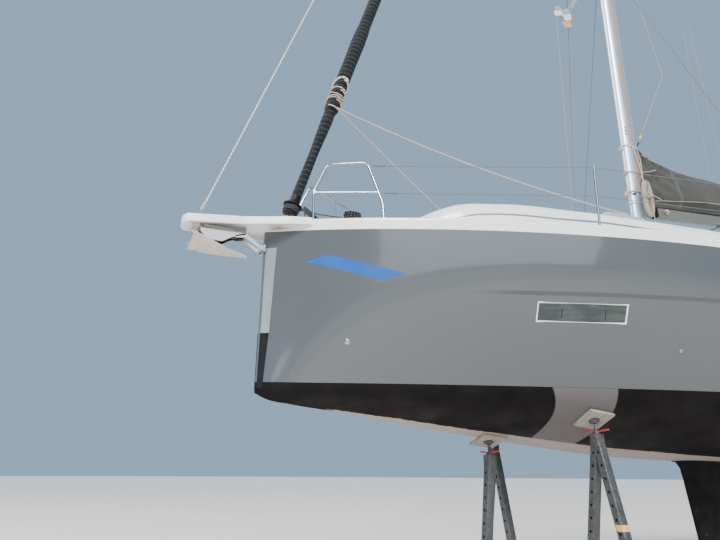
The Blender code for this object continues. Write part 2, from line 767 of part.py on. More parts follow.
def hinge(fixed, moving, start, end, reach_down):
    """A pin on the moving piece, its ends in two bored lugs of the fixed piece."""
    start, end = Vector(start), Vector(end)
    along = (end - start).normalized()
    join(moving, rod(f"{moving.name}_pin", start - along * 0.018, end + along * 0.018, PIN_R,
                     "stainless", sides=8))
    for i, (point, way) in enumerate(((start, -1), (end, 1))):
        near = point + along * way * RUNNING
        far = point + along * way * (RUNNING + LUG)
        low = Vector([min(a, b) for a, b in zip(near, far)])
        high = Vector([max(a, b) for a, b in zip(near, far)])
        for axis in range(3):
            if abs(along[axis]) < 0.5:
                low[axis] -= LUG / 2
                high[axis] += LUG / 2
        low += Vector([min(0, v) for v in reach_down])
        high += Vector([max(0, v) for v in reach_down])
        join(fixed, box(f"{moving.name}_lug_{i}", low, high, "stainless"))
    cut(fixed, rod(f"{moving.name}_bore", start - along * (0.018 + PIN_GAP),
                   end + along * (0.018 + PIN_GAP), PIN_R + PIN_GAP, "stainless", sides=16))


def make_locker_lid(deck):
    s0, s1 = LOCKER_S
    top = min(deck_top(s0, 0), deck_top(s1, 0)) - 0.004
    rings = []
    for s, half in zip((s0 + RUNNING, s1 - RUNNING), LOCKER_HALVES):
        half -= RUNNING
        rings.append([at(s, y, h) for y, h in (
            (half, top), (-half, top), (-half, top - 0.03), (half, top - 0.03))])
    lid = loft("anchor_locker_lid", rings, "moulding_white", smooth=False)
    axis_s, axis_h = s0 - 0.014, deck_top(s0, 0) + 0.016
    strap = box_at("locker_lid_strap", (axis_s - 0.005, s0 + 0.05), (-0.10, 0.10),
                   (axis_h - 0.008, axis_h + 0.006), "stainless")
    riser = box_at("locker_lid_riser", (s0 + RUNNING + 0.004, s0 + 0.05), (-0.099, 0.099),
                   (top - 0.01, axis_h + 0.002), "stainless")
    join(lid, strap, riser)
    hinge(deck, lid, at(axis_s, 0.10, axis_h), at(axis_s, -0.10, axis_h), (0, 0, -0.03))


# Deck hatches. Columns: name, s of the front edge
HATCHES = (("fore_hatch", 2.55), ("saloon_hatch", 4.25))
HATCH_LENGTH = 0.54
HATCH_HALF = 0.27


def make_hatch(name, deck, s0):
    """A deck hatch: a shallow seat in the coachroof and its lid, hinged at the front edge."""
    length, half = HATCH_LENGTH, HATCH_HALF
    s1 = s0 + length
    slope = math.atan2(roof_top(s1, 0) - roof_top(s0, 0), length)
    frame = Matrix.Translation(at(s0, 0, roof_top(s0, 0))) @ Matrix.Rotation(slope, 4, "Y")
    seat = box(f"{name}_seat", (-length, -half, -0.022), (0, half, 0.3), "dark_glass")
    lid = box(name, (-length + RUNNING, -half + RUNNING, -0.022 + RUNNING),
              (-RUNNING, half - RUNNING, 0.012),
              "dark_glass")
    strap = box(f"{name}_strap", (-0.05, -0.12, 0.008), (0.018, 0.12, 0.034), "stainless")
    for piece in (seat, lid, strap):
        piece.data.transform(frame)
    cut(deck, seat)
    join(lid, strap)
    pin = frame @ Vector((0.012, 0, 0.024))
    hinge(deck, lid, pin + Vector((0, 0.12, 0)), pin - Vector((0, 0.12, 0)), (0, 0, -0.05))


SLIDE_TRAVEL = 0.60
SLIDE_H = roof_top(COMPANION_S, 0) + 0.012
SLIDE_THICK = 0.035
TONGUE_OUT = 0.012  # how far the slide's edge tongues reach into the guides
GUIDE_HALF = 0.385
GUIDE_WIDTH = 0.035


def make_slide(deck):
    """The companionway's sliding top and the grooved guides that carry it."""
    slide = box_at("companionway_slide", (COMPANION_S - 0.02, COCKPIT_S + 0.03),
                   (-GUIDE_HALF + RUNNING, GUIDE_HALF - RUNNING), (SLIDE_H, SLIDE_H + SLIDE_THICK),
                   "moulding_white")
    tongue = (SLIDE_H + 0.012, SLIDE_H + 0.022)
    reach = GUIDE_HALF + TONGUE_OUT
    join(slide, box_at("slide_tongue", (COMPANION_S, COCKPIT_S - 0.02), (-reach, reach), tongue,
                       "moulding_white"))
    front = COMPANION_S - SLIDE_TRAVEL
    for side in (1, -1):
        inner, outer = side * GUIDE_HALF, side * (GUIDE_HALF + GUIDE_WIDTH)
        join(deck, box_at(f"guide_{side}", (front - 0.05, COCKPIT_S - 0.01), (inner, outer),
                          (SLIDE_H - 0.112, SLIDE_H + SLIDE_THICK + 0.005), "moulding_white"))
        cut(deck, box_at(f"groove_{side}", (front - 0.03, COCKPIT_S + 0.05),
                         (inner - side * 0.01, side * (reach + PIN_GAP)),
                         (tongue[0] - PIN_GAP, tongue[1] + PIN_GAP), "moulding_white"))


DOOR_AXIS_S = COCKPIT_S + 0.014
DOOR_AXIS_HALF = COMPANION_HALF + 0.012
DOOR_TOP_H = SLIDE_H - 0.092


def make_doors(deck):
    bulkhead = COCKPIT_S
    for side, word in ((1, "port"), (-1, "starboard")):
        inner, outer = side * 0.003, side * (COMPANION_HALF - RUNNING)
        door = box_at(f"companionway_door_{word}", (bulkhead - 0.035, bulkhead - 0.015), (inner, outer),
                      (COMPANION_SILL_H + RUNNING, DOOR_TOP_H), "dark_glass")
        for i, h in enumerate((1.36, 1.92)):
            join(door, box_at(f"door_block_{word}_{i}", (bulkhead - 0.030, DOOR_AXIS_S + 0.003),
                              (side * (COMPANION_HALF - 0.06), outer), (h, h + 0.06), "stainless"),
                 box_at(f"door_arm_{word}_{i}", (bulkhead + RUNNING, DOOR_AXIS_S + 0.004),
                        (side * (COMPANION_HALF - 0.03), side * (DOOR_AXIS_HALF + 0.004)), (h, h + 0.06),
                        "stainless"))
            low = at(DOOR_AXIS_S, side * DOOR_AXIS_HALF, h)
            hinge(deck, door, low, low + Vector((0, 0, 0.06)), (0.03, 0, 0))


PLATFORM_HALF = 1.30
PLATFORM_H = (0.36, 1.18)
PLATFORM_AXIS_S = HULL_LENGTH + 0.030


def make_platform(hull):
    low, high = PLATFORM_H
    panel = box_at("bathing_platform", (HULL_LENGTH + RUNNING, HULL_LENGTH + 0.056),
                   (-PLATFORM_HALF, PLATFORM_HALF),
                   (low + 0.02, high), "moulding_white")
    bevel(panel, 0.010, 2)
    for i, y in enumerate((0.85, -0.85)):
        join(panel, box_at(f"platform_foot_{i}", (PLATFORM_AXIS_S - 0.010, PLATFORM_AXIS_S + 0.010),
                           (y - 0.05, y + 0.05), (low - 0.006, low + 0.05), "stainless"))
        hinge(hull, panel, at(PLATFORM_AXIS_S, y + 0.05, low), at(PLATFORM_AXIS_S, y - 0.05, low),
              (0.04, 0, 0))


# Below the water

def make_keel():
    keel = foil_loft("keel", [
        (KEEL_ROOT_S, KEEL_ROOT_CHORD, KEEL_ROOT_THICK, KEEL_ROOT_H),
        (KEEL_TIP_S, KEEL_TIP_CHORD, KEEL_TIP_THICK, KEEL_FOOT_H + 0.10),
    ], "cast_iron")
    rings = []
    middle = KEEL_TIP_S + 0.5 * KEEL_TIP_CHORD + 0.05
    for share, girth in ((0, 0.10), (0.04, 0.42), (0.12, 0.72), (0.26, 0.95), (0.42, 1.0), (0.62, 0.86),
                         (0.82, 0.52),
                         (1, 0.10)):
        s = middle + (share - 0.45) * BULB_LENGTH
        ring = []
        for k in range(12):
            angle = 2 * math.pi * k / 12
            h = KEEL_FOOT_H + BULB_HEIGHT / 2 + 0.62 * BULB_HEIGHT * girth * math.sin(angle)
            ring.append(at(s, BULB_HALF_WIDTH * girth * math.cos(angle), max(h, KEEL_FOOT_H)))
        rings.append(ring)
    join(keel, loft("keel_bulb", rings, "cast_iron"))


def make_keel_block():
    half = BLOCK_LENGTH / 2
    box("keel_block", (-half, -BLOCK_WIDTH / 2, 0), (half, BLOCK_WIDTH / 2, WATER_Z + KEEL_FOOT_H - SEAM),
        "timber")


def make_rudder():
    def row(share):
        chord = RUDDER_TOP_CHORD + share * (RUDDER_TIP_CHORD - RUDDER_TOP_CHORD)
        return (RUDDER_S - RUDDER_BALANCE * chord, chord, 0.115 - 0.04 * share,
                RUDDER_TOP_H - share * RUDDER_DEPTH)
    rudder = foil_loft("rudder", [row(0.0), row(0.5), row(0.97), (RUDDER_S - 0.05, 0.34, 0.05,
                                                                RUDDER_TOP_H - 1.02 * RUDDER_DEPTH)],
                       "cast_iron")
    join(rudder, rod("rudder_stock", at(RUDDER_S, 0, RUDDER_TOP_H - 0.4), at(RUDDER_S, 0, 0.30),
                     RUDDER_STOCK_R,
                     "stainless", sides=24))


def bottom_h(s, y):
    """Height of the faceted hull bottom at s and y, from its own rings."""
    stations = hull_stations()
    i = max(k for k, value in enumerate(stations) if value <= s)
    rows = []
    for station in (stations[i], stations[i + 1]):
        curve = bottom_curve(station, HULL_STEPS_BOTTOM)
        rows.append(np.interp(abs(y), [p.x for p in curve], [p.y for p in curve]))
    share = (s - stations[i]) / (stations[i + 1] - stations[i])
    return float(rows[0] + share * (rows[1] - rows[0]))


def make_saildrive():
    top = min(bottom_h(DRIVE_S - 0.2, 0), bottom_h(DRIVE_S + 0.2, 0)) - SEAM
    leg = foil_loft("saildrive", [
        (DRIVE_S - 0.20, 0.42, 0.12, top), (DRIVE_S - 0.17, 0.36, 0.09, top - 0.05),
        (DRIVE_S - 0.13, 0.28, 0.08, DRIVE_SHAFT_H + 0.05), (DRIVE_S - 0.12, 0.26, 0.05,
                                                             DRIVE_SHAFT_H - 0.14)],
        "drive_grey")
    rings = []
    for ds, r in ((-0.22, 0.012), (-0.19, 0.040), (-0.12, 0.056), (0.10, 0.058), (0.19, 0.050)):
        rings.append([at(DRIVE_S + ds, r * math.cos(a), DRIVE_SHAFT_H + r * math.sin(a))
                      for a in np.linspace(0, 2 * math.pi, 13)[:-1]])
    join(leg, loft("drive_pod", rings, "drive_grey"))
    cut(leg, rod("shaft_bore", at(DRIVE_S + 0.10, 0, DRIVE_SHAFT_H), at(DRIVE_S + 0.25, 0, DRIVE_SHAFT_H),
                 0.0155,
                 "drive_grey"))


def make_propeller():
    start = DRIVE_S + 0.19 + RUNNING
    hub = rod("propeller", at(start, 0, DRIVE_SHAFT_H), at(start + PROP_HUB_LENGTH, 0, DRIVE_SHAFT_H),
              PROP_HUB_R,
              "bronze", end_radius=0.022, sides=16)
    join(hub, rod("prop_shaft", at(DRIVE_S + 0.105, 0, DRIVE_SHAFT_H), at(start + 0.05, 0, DRIVE_SHAFT_H),
                  0.015,
                  "stainless"))
    middle = start + 0.06
    for k in range(3):
        turn = Matrix.Rotation(2 * math.pi * k / 3, 4, "X")
        rings = []
        for r, chord, pitch in ((0.035, 0.055, 48), (0.10, 0.10, 36), (0.18, 0.115, 25),
                                (PROP_R, 0.045, 19)):
            a = math.radians(90 - pitch)
            way = Vector((math.cos(a), math.sin(a), 0))
            off = Vector((-math.sin(a), math.cos(a), 0)) * 0.006
            ring = []
            for p in (-0.5 * chord * way, off, 0.5 * chord * way, -off):
                spot = turn @ Vector((p.x, p.y, r))
                ring.append(at(middle, 0, DRIVE_SHAFT_H) + spot)
            rings.append(ring)
        join(hub, loft(f"blade_{k}", rings, "bronze"))


# Rig

def mast_s(h):
    return MAST_S + math.tan(math.radians(MAST_RAKE_DEG)) * (h - MAST_FOOT_H)


def spreader_tip(level, side=1):
    h = MAST_FOOT_H + SPREADER_HEIGHTS[level]
    half = SPREADER_HALVES[level]
    sweep = math.tan(math.radians(SPREADER_SWEEP_DEG)) * half
    return mast_s(h) + sweep, side * half, h + 0.035 * half


def make_mast():
    rings = []
    for h, size in ((MAST_FOOT_H, 1.0), (MAST_FOOT_H + 0.45 * MAST_LENGTH, 1.0), (MAST_TOP_H, 0.86)):
        ring = []
        for k in range(20):
            angle = 2 * math.pi * k / 20
            ring.append(at(mast_s(h) + size * MAST_HALF_LONG * math.cos(angle),
                           size * MAST_HALF_WIDE * math.sin(angle), h))
        rings.append(ring)
    mast = loft("mast", rings, "alloy")
    for level in range(len(SPREADER_HEIGHTS)):
        for side in (1, -1):
            s, y, h = spreader_tip(level, side)
            foot_h = MAST_FOOT_H + SPREADER_HEIGHTS[level]
            root = at(mast_s(foot_h) + 0.02, side * 0.03, foot_h)
            tip = at(s, y - side * (WIRE_R + 0.0022), h)
            rings = []
            for point, chord, thick in ((root, 0.080, 0.016), (tip, 0.050, 0.011)):
                rings.append([point + Vector((dx, 0, dz)) for dx, dz in (
                    (chord, 0), (chord * 0.5, thick), (-chord * 0.6, thick), (-chord, 0), (-chord * 0.6,
                                                                                           -thick),
                    (chord * 0.5, -thick))])
            join(mast, loft(f"spreader_{level}_{side}", rings, "alloy"))
    join(mast, box_at("masthead_crane", (mast_s(MAST_TOP_H) - 0.16, mast_s(MAST_TOP_H) + 0.20),
                      (-0.035, 0.035),
                      (MAST_TOP_H - 0.09, MAST_TOP_H + 0.015), "alloy"))
    return mast


STAY_FOOT = Vector((STEM_X - FORESTAY_S, 0, WATER_Z + FORESTAY_H))
STAY_TOP = Vector((STEM_X - mast_s(MAST_TOP_H - STAY_TOP_DROP) + MAST_HALF_LONG + 0.015, 0,
                   WATER_Z + MAST_TOP_H - STAY_TOP_DROP))
STAY_WAY = (STAY_TOP - STAY_FOOT).normalized()


def lathe_along(name, start, way, profile, slot, sides=16):
    """A ring turned about an axis: profile is a closed outline of (radius, distance along)."""
    turn = way.to_track_quat("Z", "Y").to_matrix()
    rings = []
    for k in range(sides):
        angle = 2 * math.pi * k / sides
        out = turn @ Vector((math.cos(angle), math.sin(angle), 0))
        rings.append([start + out * r + way * d for r, d in profile])
    bm = bmesh.new()
    rows = [[bm.verts.new(p) for p in ring] for ring in rings]
    count = len(profile)
    for k in range(sides):
        first, second = rows[k], rows[(k + 1) % sides]
        for i in range(count):
            j = (i + 1) % count
            bm.faces.new((first[i], first[j], second[j], second[i]))
    return from_bmesh(name, bm, slot)


def make_forestay():
    stay = rod("forestay", STAY_FOOT, STAY_TOP, 0.0055, "stainless", sides=8)
    foot = rod("stay_fork", STAY_FOOT - STAY_WAY * 0.012, STAY_FOOT + STAY_WAY * (DRUM_UP - 0.03), 0.013,
               "stainless")
    join(stay, foot)
    seat = WATER_Z + SPRIT_THICK + sprit_under(FORESTAY_S + 0.05) + SEAM
    join(stay, box("stay_plate", (STAY_FOOT.x - 0.05, -0.010, seat),
                   (STAY_FOOT.x + 0.05, 0.010, STAY_FOOT.z + 0.02),
                   "stainless"))


def make_furler():
    bore = 0.0060
    base = DRUM_UP
    top = base + DRUM_HEIGHT
    lathe_along("furler_drum", STAY_FOOT, STAY_WAY, [
        (bore, base), (0.055, base), (DRUM_R, base + 0.006), (DRUM_R, base + 0.020), (0.050, base + 0.030),
        (0.050, top - 0.032), (DRUM_R, top - 0.022), (DRUM_R, top - 0.010), (0.045, top), (bore, top)],
        "black_plastic", sides=20)
    length = (STAY_TOP - STAY_FOOT).length - 1.3
    profile = [(bore, top + SEAM), (0.048, top + SEAM), (0.056, 0.42), (0.054, 0.98), (0.070, 1.45),
               (0.070, 1.56), (0.086, 1.64), (0.091, 2.85), (0.080, 3.05), (0.080, 5.3),
               (0.072, 0.6 * length),
               (0.040, length - 0.3), (0.026, length), (bore, length)]
    lathe_along("furled_headsail", STAY_FOOT, STAY_WAY, profile, "sail_black", sides=14)


def make_shrouds():
    base_h = seat_h(CHAINPLATE_S, CHAINPLATE_HALF, 0.06)
    plate_top = base_h + 0.05
    shroud = box_at("shrouds_port", (CHAINPLATE_S - 0.06, CHAINPLATE_S + 0.06),
                    (CHAINPLATE_HALF - 0.012, CHAINPLATE_HALF + 0.012), (base_h, plate_top), "stainless")
    first, second = spreader_tip(0), spreader_tip(1)
    foot = at(CHAINPLATE_S + 0.03, CHAINPLATE_HALF, plate_top - 0.02)
    mast_end = at(mast_s(MAST_TOP_H - 0.2) + 0.03, MAST_HALF_WIDE + 0.008, MAST_TOP_H - 0.2)
    join(shroud, tube("cap_shroud", [foot, at(*first), at(*second), mast_end], WIRE_R, "stainless", 0))
    low_foot = at(CHAINPLATE_S - 0.03, CHAINPLATE_HALF, plate_top - 0.02)
    low_h = MAST_FOOT_H + SPREADER_HEIGHTS[0] - 0.25
    join(shroud, tube("lower_shroud", [low_foot, at(mast_s(low_h), MAST_HALF_WIDE + 0.009, low_h)], WIRE_R,
                      "stainless", 0))
    high_h = MAST_FOOT_H + SPREADER_HEIGHTS[1] - 0.25
    join(shroud, tube("diagonal", [at(*first).lerp(at(*second), 0.008),
                                   at(mast_s(high_h), MAST_HALF_WIDE + 0.009, high_h)],
                      0.0045, "stainless", 0))
    for base, aim in ((foot, at(*first)), (low_foot, at(mast_s(low_h), MAST_HALF_WIDE, low_h))):
        way = (aim - base).normalized()
        join(shroud, rod("turnbuckle", base, base + way * 0.34, 0.012, "stainless", sides=8))
    mirrored(shroud, "shrouds_starboard")


def make_backstays():
    s, y = 13.33, BACKSTAY_HALF
    base = at(s, y, seat_h(s, y, 0.02))
    top = at(mast_s(MAST_TOP_H) + 0.20 + 0.009, 0.022, MAST_TOP_H - 0.03)
    stay = tube("backstay_port", [base + Vector((0, 0, 0.03)), top], 0.005, "stainless", 0)
    join(stay, box("backstay_foot", base + Vector((-0.03, -0.012, 0)), base + Vector((0.03, 0.012, 0.05)),
                   "stainless"))
    way = (top - base).normalized()
    join(stay, rod("backstay_screw", base + Vector((0, 0, 0.03)), base + Vector((0, 0, 0.03)) + way * 0.36,
                   0.011,
                   "stainless", sides=8))
    mirrored(stay, "backstay_starboard")


GOOSE_H = MAST_FOOT_H + BOOM_FOOT
VANG_H = MAST_FOOT_H + 0.14


def swing_axis(h):
    """The boom's swing axis, parallel to the mast behind it."""
    return at(mast_s(h) + MAST_HALF_LONG + GOOSENECK_GAP, 0, h)


def boom_at(out, y, up):
    """A point along the boom from its swing axis, to port of it and above its centreline."""
    rise = math.radians(BOOM_RISE_DEG)
    return swing_axis(GOOSE_H) + Vector((
        -out * math.cos(rise) + up * math.sin(rise), y, out * math.sin(rise) + up * math.cos(rise)))


def pivot(mast, moving, h, half):
    """A toggle on the swing axis: two lugs on the mast hold the moving piece's pin."""
    up = (swing_axis(h + 1) - swing_axis(h)).normalized()
    middle = swing_axis(h)
    join(moving, rod(f"{moving.name}_toggle_pin", middle - up * (half + 0.030),
                     middle + up * (half + 0.030), 0.008,
                     "stainless", sides=10))
    for way in (1, -1):
        near, far = middle + up * way * (half + RUNNING), middle + up * way * (half + RUNNING + 0.018)
        low = Vector((middle.x - 0.020, -0.020, min(near.z, far.z)))
        high = Vector((middle.x + GOOSENECK_GAP + 0.03, 0.020, max(near.z, far.z)))
        join(mast, box(f"{moving.name}_lug_{way}", low, high, "alloy"))
    cut(mast, rod(f"{moving.name}_toggle_bore", middle - up * (half + 0.031), middle + up * (half + 0.031),
                  0.008 + PIN_GAP, "alloy", sides=10))


def make_boom(mast):
    rings = []
    for out, size in ((0.045, 0.72), (0.16, 1.0), (BOOM_LENGTH - 0.1, 1.0), (BOOM_LENGTH, 0.86)):
        rings.append([boom_at(out, size * BOOM_HALF_WIDE * a, size * BOOM_HALF_HIGH * b) for a, b in (
            (1, -0.6), (1, 0.6), (0.55, 1), (-0.55, 1), (-1, 0.6), (-1, -0.6), (-0.55, -1), (0.55, -1))])
    boom = loft("boom", rings, "alloy", smooth=False)
    join(boom, box("gooseneck", boom_at(0.10, -0.016, -0.035), boom_at(-0.012, 0.016, 0.030), "alloy"))
    pivot(mast, boom, GOOSE_H, 0.036)
    lug = boom_at(1.62, 0, -BOOM_HALF_HIGH)
    join(boom, box("vang_lug", lug + Vector((-0.05, -0.012, -0.05)), lug + Vector((0.05, 0.012, 0.02)),
                   "alloy"))
    return boom


CLEVIS_R = 0.010


def make_vang(mast):
    foot = swing_axis(VANG_H)
    head = boom_at(1.50, 0, -BOOM_HALF_HIGH - 0.060)
    way = (head - foot).normalized()
    vang = rod("vang", foot + way * 0.03, foot + way * 0.92, 0.026, "alloy")
    join(vang, rod("vang_rod", foot + way * 0.85, head, 0.018, "stainless"))
    join(vang, box("vang_eye", foot + Vector((-0.08, -0.012, -0.018)), foot + Vector((0.012, 0.012, 0.035)),
                   "alloy"))
    pivot(mast, vang, VANG_H, 0.036)
    boom_lug = boom_at(1.62, 0, -BOOM_HALF_HIGH)
    clevis = Vector((boom_lug.x + 0.05 + CLEVIS_R, 0, boom_lug.z - 0.03))
    join(vang, rod("vang_clevis", head - way * 0.02, clevis, CLEVIS_R, "stainless", sides=8))


def make_bag():
    rings = []
    for out, tall, wide in ((0.16, 0.925, 0.115), (0.30, 0.865, 0.135), (0.45, 0.82, 0.15),
                            (0.9, 0.71, 0.17),
                            (1.3, 0.66, 0.175), (1.75, 0.645, 0.18), (3.1, 0.53, 0.175), (4.2, 0.41, 0.155),
                            (BOOM_LENGTH - 0.06, 0.29, 0.11)):
        low = BOOM_HALF_HIGH + SEAM
        rings.append([boom_at(out, y, up) for y, up in (
            (0.055, low), (0.75 * wide, low + 0.05), (wide, low + 0.30 * tall), (0.82 * wide,
                                                                                 low + 0.62 * tall),
            (0.32 * wide, low + 0.93 * tall), (0, low + tall), (-0.32 * wide, low + 0.93 * tall),
            (-0.82 * wide, low + 0.62 * tall), (-wide, low + 0.30 * tall), (-0.75 * wide,
                                                                            low + 0.05), (-0.055, low))])
    loft("sail_bag", rings, "cover_olive")


# Rails

def seat_h(s, y, reach):
    """Height just above the built deck, over a square footprint."""
    found = []
    for ds in (-reach, 0, reach):
        for dy in (-reach, 0, reach):
            hit = DECK_TREE.ray_cast(at(s + ds, y + dy, 6.0), Vector((0, 0, -1)))[0]
            found.append(hit.z - WATER_Z)
    return max(found) + SEAM


def rail_foot(s, inset=RAIL_INSET, reach=0.025):
    half = deck_half(s)
    y = half - min(TOE_RAIL_WIDTH, 0.4 * half) - inset
    return y, seat_h(s, y, reach)


PULPIT_FORE_S = 0.430
PULPIT_KINK = 0.34  # height of the front leg's kink above its foot
PULPIT_TOP_S = (0.585, 0.95)  # ends of the top rail
PULPIT_TOP_IN = 0.16  # the top rail's aft end, inboard of the aft foot
LINE_SHARE = 0.53  # the lower line's height as a share of the stanchion's


def make_pulpit():
    """One half of the open pulpit: two legs that lean in to a short top rail."""
    front_y, front_h = rail_foot(PULPIT_FORE_S, 0.030, 0.013)
    aft_y, aft_h = rail_foot(PULPIT_AFT_S)
    top = aft_h + PULPIT_HEIGHT
    kink = (PULPIT_FORE_S - 0.016, front_y + 0.025, front_h + PULPIT_KINK)
    top_front, top_aft = PULPIT_TOP_S
    knee = (PULPIT_AFT_S + 0.005, aft_y - 0.025, aft_h + 0.20)
    points = [(PULPIT_FORE_S, front_y, front_h), kink,
              (top_front - 0.02, front_y, top - 0.02),
              (top_front + 0.02, front_y + 0.03, top),
              (top_aft - 0.04, aft_y - PULPIT_TOP_IN - 0.01, top),
              (top_aft, aft_y - PULPIT_TOP_IN, top - 0.03),
              knee, (PULPIT_AFT_S, aft_y, aft_h)]
    pulpit = tube("pulpit_port", [at(*p) for p in points], RAIL_R, "stainless")
    share = (kink[2] - knee[2]) / (top - 0.03 - knee[2])
    mid_end = at(*knee).lerp(at(*points[5]), share)
    join(pulpit, tube("pulpit_mid", [at(*kink), mid_end], RAIL_R * 0.8, "stainless"))
    mirrored(pulpit, "pulpit_starboard")


def make_guardrails():
    """Stanchions and the two lifelines of the port side."""
    tops, mids, feet = [], [], []
    for s in STANCHIONS_S:
        y, h = rail_foot(s)
        feet.append(at(s, y, h))
        tops.append(at(s, y + 0.03, h + STANCHION_HEIGHT))
        mids.append(at(s, y + 0.015, h + LINE_SHARE * STANCHION_HEIGHT))
    y, h = rail_foot(PULPIT_AFT_S)
    start_top = at(PULPIT_TOP_S[1] + 0.035, y - PULPIT_TOP_IN + 0.005, h + PULPIT_HEIGHT - 0.03)
    start_mid = at(PULPIT_AFT_S + 0.015, y - 0.055, h + PULPIT_KINK - 0.005)
    y, h = rail_foot(PUSHPIT_S)
    aft = PUSHPIT_S - RAIL_R - 0.004
    end_top = at(aft, y + 0.03, h + PULPIT_HEIGHT - 0.05)
    end_mid = at(aft, y + 0.015, h + 0.5 * PULPIT_HEIGHT)
    drop = Vector((0, 0, 0.012))
    rail = tube("guardrail_port", [start_top, *[p - drop for p in tops], end_top], LINE_R, "stainless", 0)
    for foot, top in zip(feet, tops):
        join(rail, rod("stanchion", foot, top, RAIL_R, "stainless", sides=10))
        join(rail, rod("stanchion_foot", foot, foot + Vector((0, 0, 0.05)), 0.024, "stainless", sides=10))
    join(rail, tube("lower_line", [start_mid, *mids, end_mid], LINE_R, "stainless", 0))
    mirrored(rail, "guardrail_starboard")


def make_pushpit():
    y0, h0 = rail_foot(PUSHPIT_S)
    y1, h1 = rail_foot(13.28)
    top = h0 + PULPIT_HEIGHT
    inner = 0.80
    inner_h = seat_h(13.30, inner, 0.013)
    points = [(PUSHPIT_S, y0, h0), (PUSHPIT_S, y0 + 0.03, top - 0.04), (PUSHPIT_S + 0.06, y0 + 0.03, top),
              (13.20, y1 + 0.02, top), (13.28, y1 - 0.05, top), (13.30, inner + 0.08, top),
              (13.30, inner, top - 0.06), (13.30, inner, inner_h)]
    pushpit = tube("pushpit_port", [at(*p) for p in points], RAIL_R, "stainless")
    mid = h0 + 0.5 * PULPIT_HEIGHT
    join(pushpit, rod("pushpit_leg", at(13.24, y1, h1), at(13.24, y1, top), RAIL_R, "stainless", sides=10),
         tube("pushpit_mid", [at(PUSHPIT_S, y0 + 0.015, mid), at(13.24, y1, mid), at(13.30, inner, mid)],
              RAIL_R * 0.8, "stainless"))
    mirrored(pushpit, "pushpit_starboard")


# Deck gear

def turned(name, base, profile, slot, sides=16):
    """A solid of revolution about a vertical line. Columns of profile: radius, height above base."""
    rings = []
    for r, up in profile:
        rings.append([base + Vector((r * math.cos(a), r * math.sin(a), up))
                      for a in np.linspace(0, 2 * math.pi, sides + 1)[:-1]])
    return loft(name, rings, slot)


WINCH = ((0.078, 0.0), (0.078, 0.022), (0.055, 0.034), (0.050, 0.075), (0.060, 0.115), (0.068, 0.122),
         (0.068, 0.150),
         (0.030, 0.158))
ROOF_WINCH = (8.22, 0.93)
COAMING_WINCH = (10.75, 1.395)
WINDLASS_S = 1.27


def make_winches(deck):
    for side, word in ((1, "port"), (-1, "starboard")):
        s, y = ROOF_WINCH
        h = roof_top(s, y) + 0.020
        join(deck, box_at(f"winch_pad_{word}", (s - 0.10, s + 0.10), (side * (y - 0.10), side * (y + 0.10)),
                          (h - 0.08, h),
                          "moulding_white"))
        turned(f"roof_winch_{word}", at(s, side * y, h + SEAM), WINCH, "stainless")
        s, y = COAMING_WINCH
        h = COAMING_H + 0.010
        join(deck, box_at(f"coaming_pad_{word}", (s - 0.11, s + 0.11),
                          (side * (y - 0.10), side * (y + 0.10)), (h - 0.08, h),
                          "moulding_white"))
        turned(f"cockpit_winch_{word}", at(s, side * y, h + SEAM), WINCH, "stainless")


def make_windlass(deck):
    h = deck_top(WINDLASS_S, 0) + 0.012
    join(deck, box_at("windlass_pad", (WINDLASS_S - 0.10, WINDLASS_S + 0.10), (-0.11, 0.11), (h - 0.05, h),
                      "moulding_white"))
    turned("windlass", at(WINDLASS_S, 0, h + SEAM), ((0.085, 0.0), (0.085, 0.016), (0.060, 0.030),
                                                     (0.070, 0.052),
                                                  (0.042, 0.066), (0.040, 0.100), (0.055, 0.125),
                                                     (0.020, 0.135)),
           "stainless")


WHEEL_S = 11.955
WHEEL_INSET = 0.50  # from the helm well's side to the wheel's axis
WHEEL_Y = HELM_HALF - WHEEL_INSET
WHEEL_H = 1.42
WHEEL_R = 0.42
CONSOLE_S = (11.60, 11.86)
CONSOLE_HALF = 0.14


def make_helms():
    for side, word in ((1, "port"), (-1, "starboard")):
        y = side * WHEEL_Y
        console = box_at(f"helm_console_{word}", CONSOLE_S, (y - CONSOLE_HALF, y + CONSOLE_HALF),
                         (SOLE_H + SEAM, WHEEL_H + 0.16), "moulding_white")
        bevel(console, 0.030, 3)
        cut(console, rod(f"helm_bore_{word}", at(CONSOLE_S[1] - 0.08, y, WHEEL_H), at(WHEEL_S, y, WHEEL_H),
                         0.013 + PIN_GAP, "moulding_white", sides=16))
        start = at(WHEEL_S, y, WHEEL_H)
        rim = [(WHEEL_R + 0.014 * math.cos(a), 0.014 * math.sin(a)) for a in np.linspace(0, 2 * math.pi,
                                                                                         9)[:-1]]
        wheel = lathe_along(f"wheel_{word}", start, Vector((-1, 0, 0)), rim, "black_plastic", sides=40)
        join(wheel, rod(f"wheel_hub_{word}", at(WHEEL_S - 0.045, y, WHEEL_H),
                        at(WHEEL_S + 0.03, y, WHEEL_H), 0.045,
                        "stainless", sides=16),
             rod(f"wheel_shaft_{word}", at(CONSOLE_S[1] - 0.07, y, WHEEL_H), at(WHEEL_S, y, WHEEL_H), 0.013,
                 "stainless",
                 sides=16))
        for k in range(5):
            angle = math.radians(90 + 72 * k)
            end = at(WHEEL_S, y + WHEEL_R * math.cos(angle), WHEEL_H + WHEEL_R * math.sin(angle))
            join(wheel, rod(f"spoke_{word}_{k}", start, end, 0.009, "stainless", sides=8))


TABLE_S = (9.35, 10.50)


def make_table():
    s0, s1 = TABLE_S
    table = box_at("cockpit_table", (s0, s1), (-0.17, 0.17), (SOLE_H + 0.66, SOLE_H + 0.70), "timber")
    join(table, box_at("table_base", (s0 + 0.10, s1 - 0.10), (-0.12, 0.12), (SOLE_H + SEAM, SOLE_H + 0.67),
                       "moulding_white"))
    bevel(table, 0.008, 2)


# Props

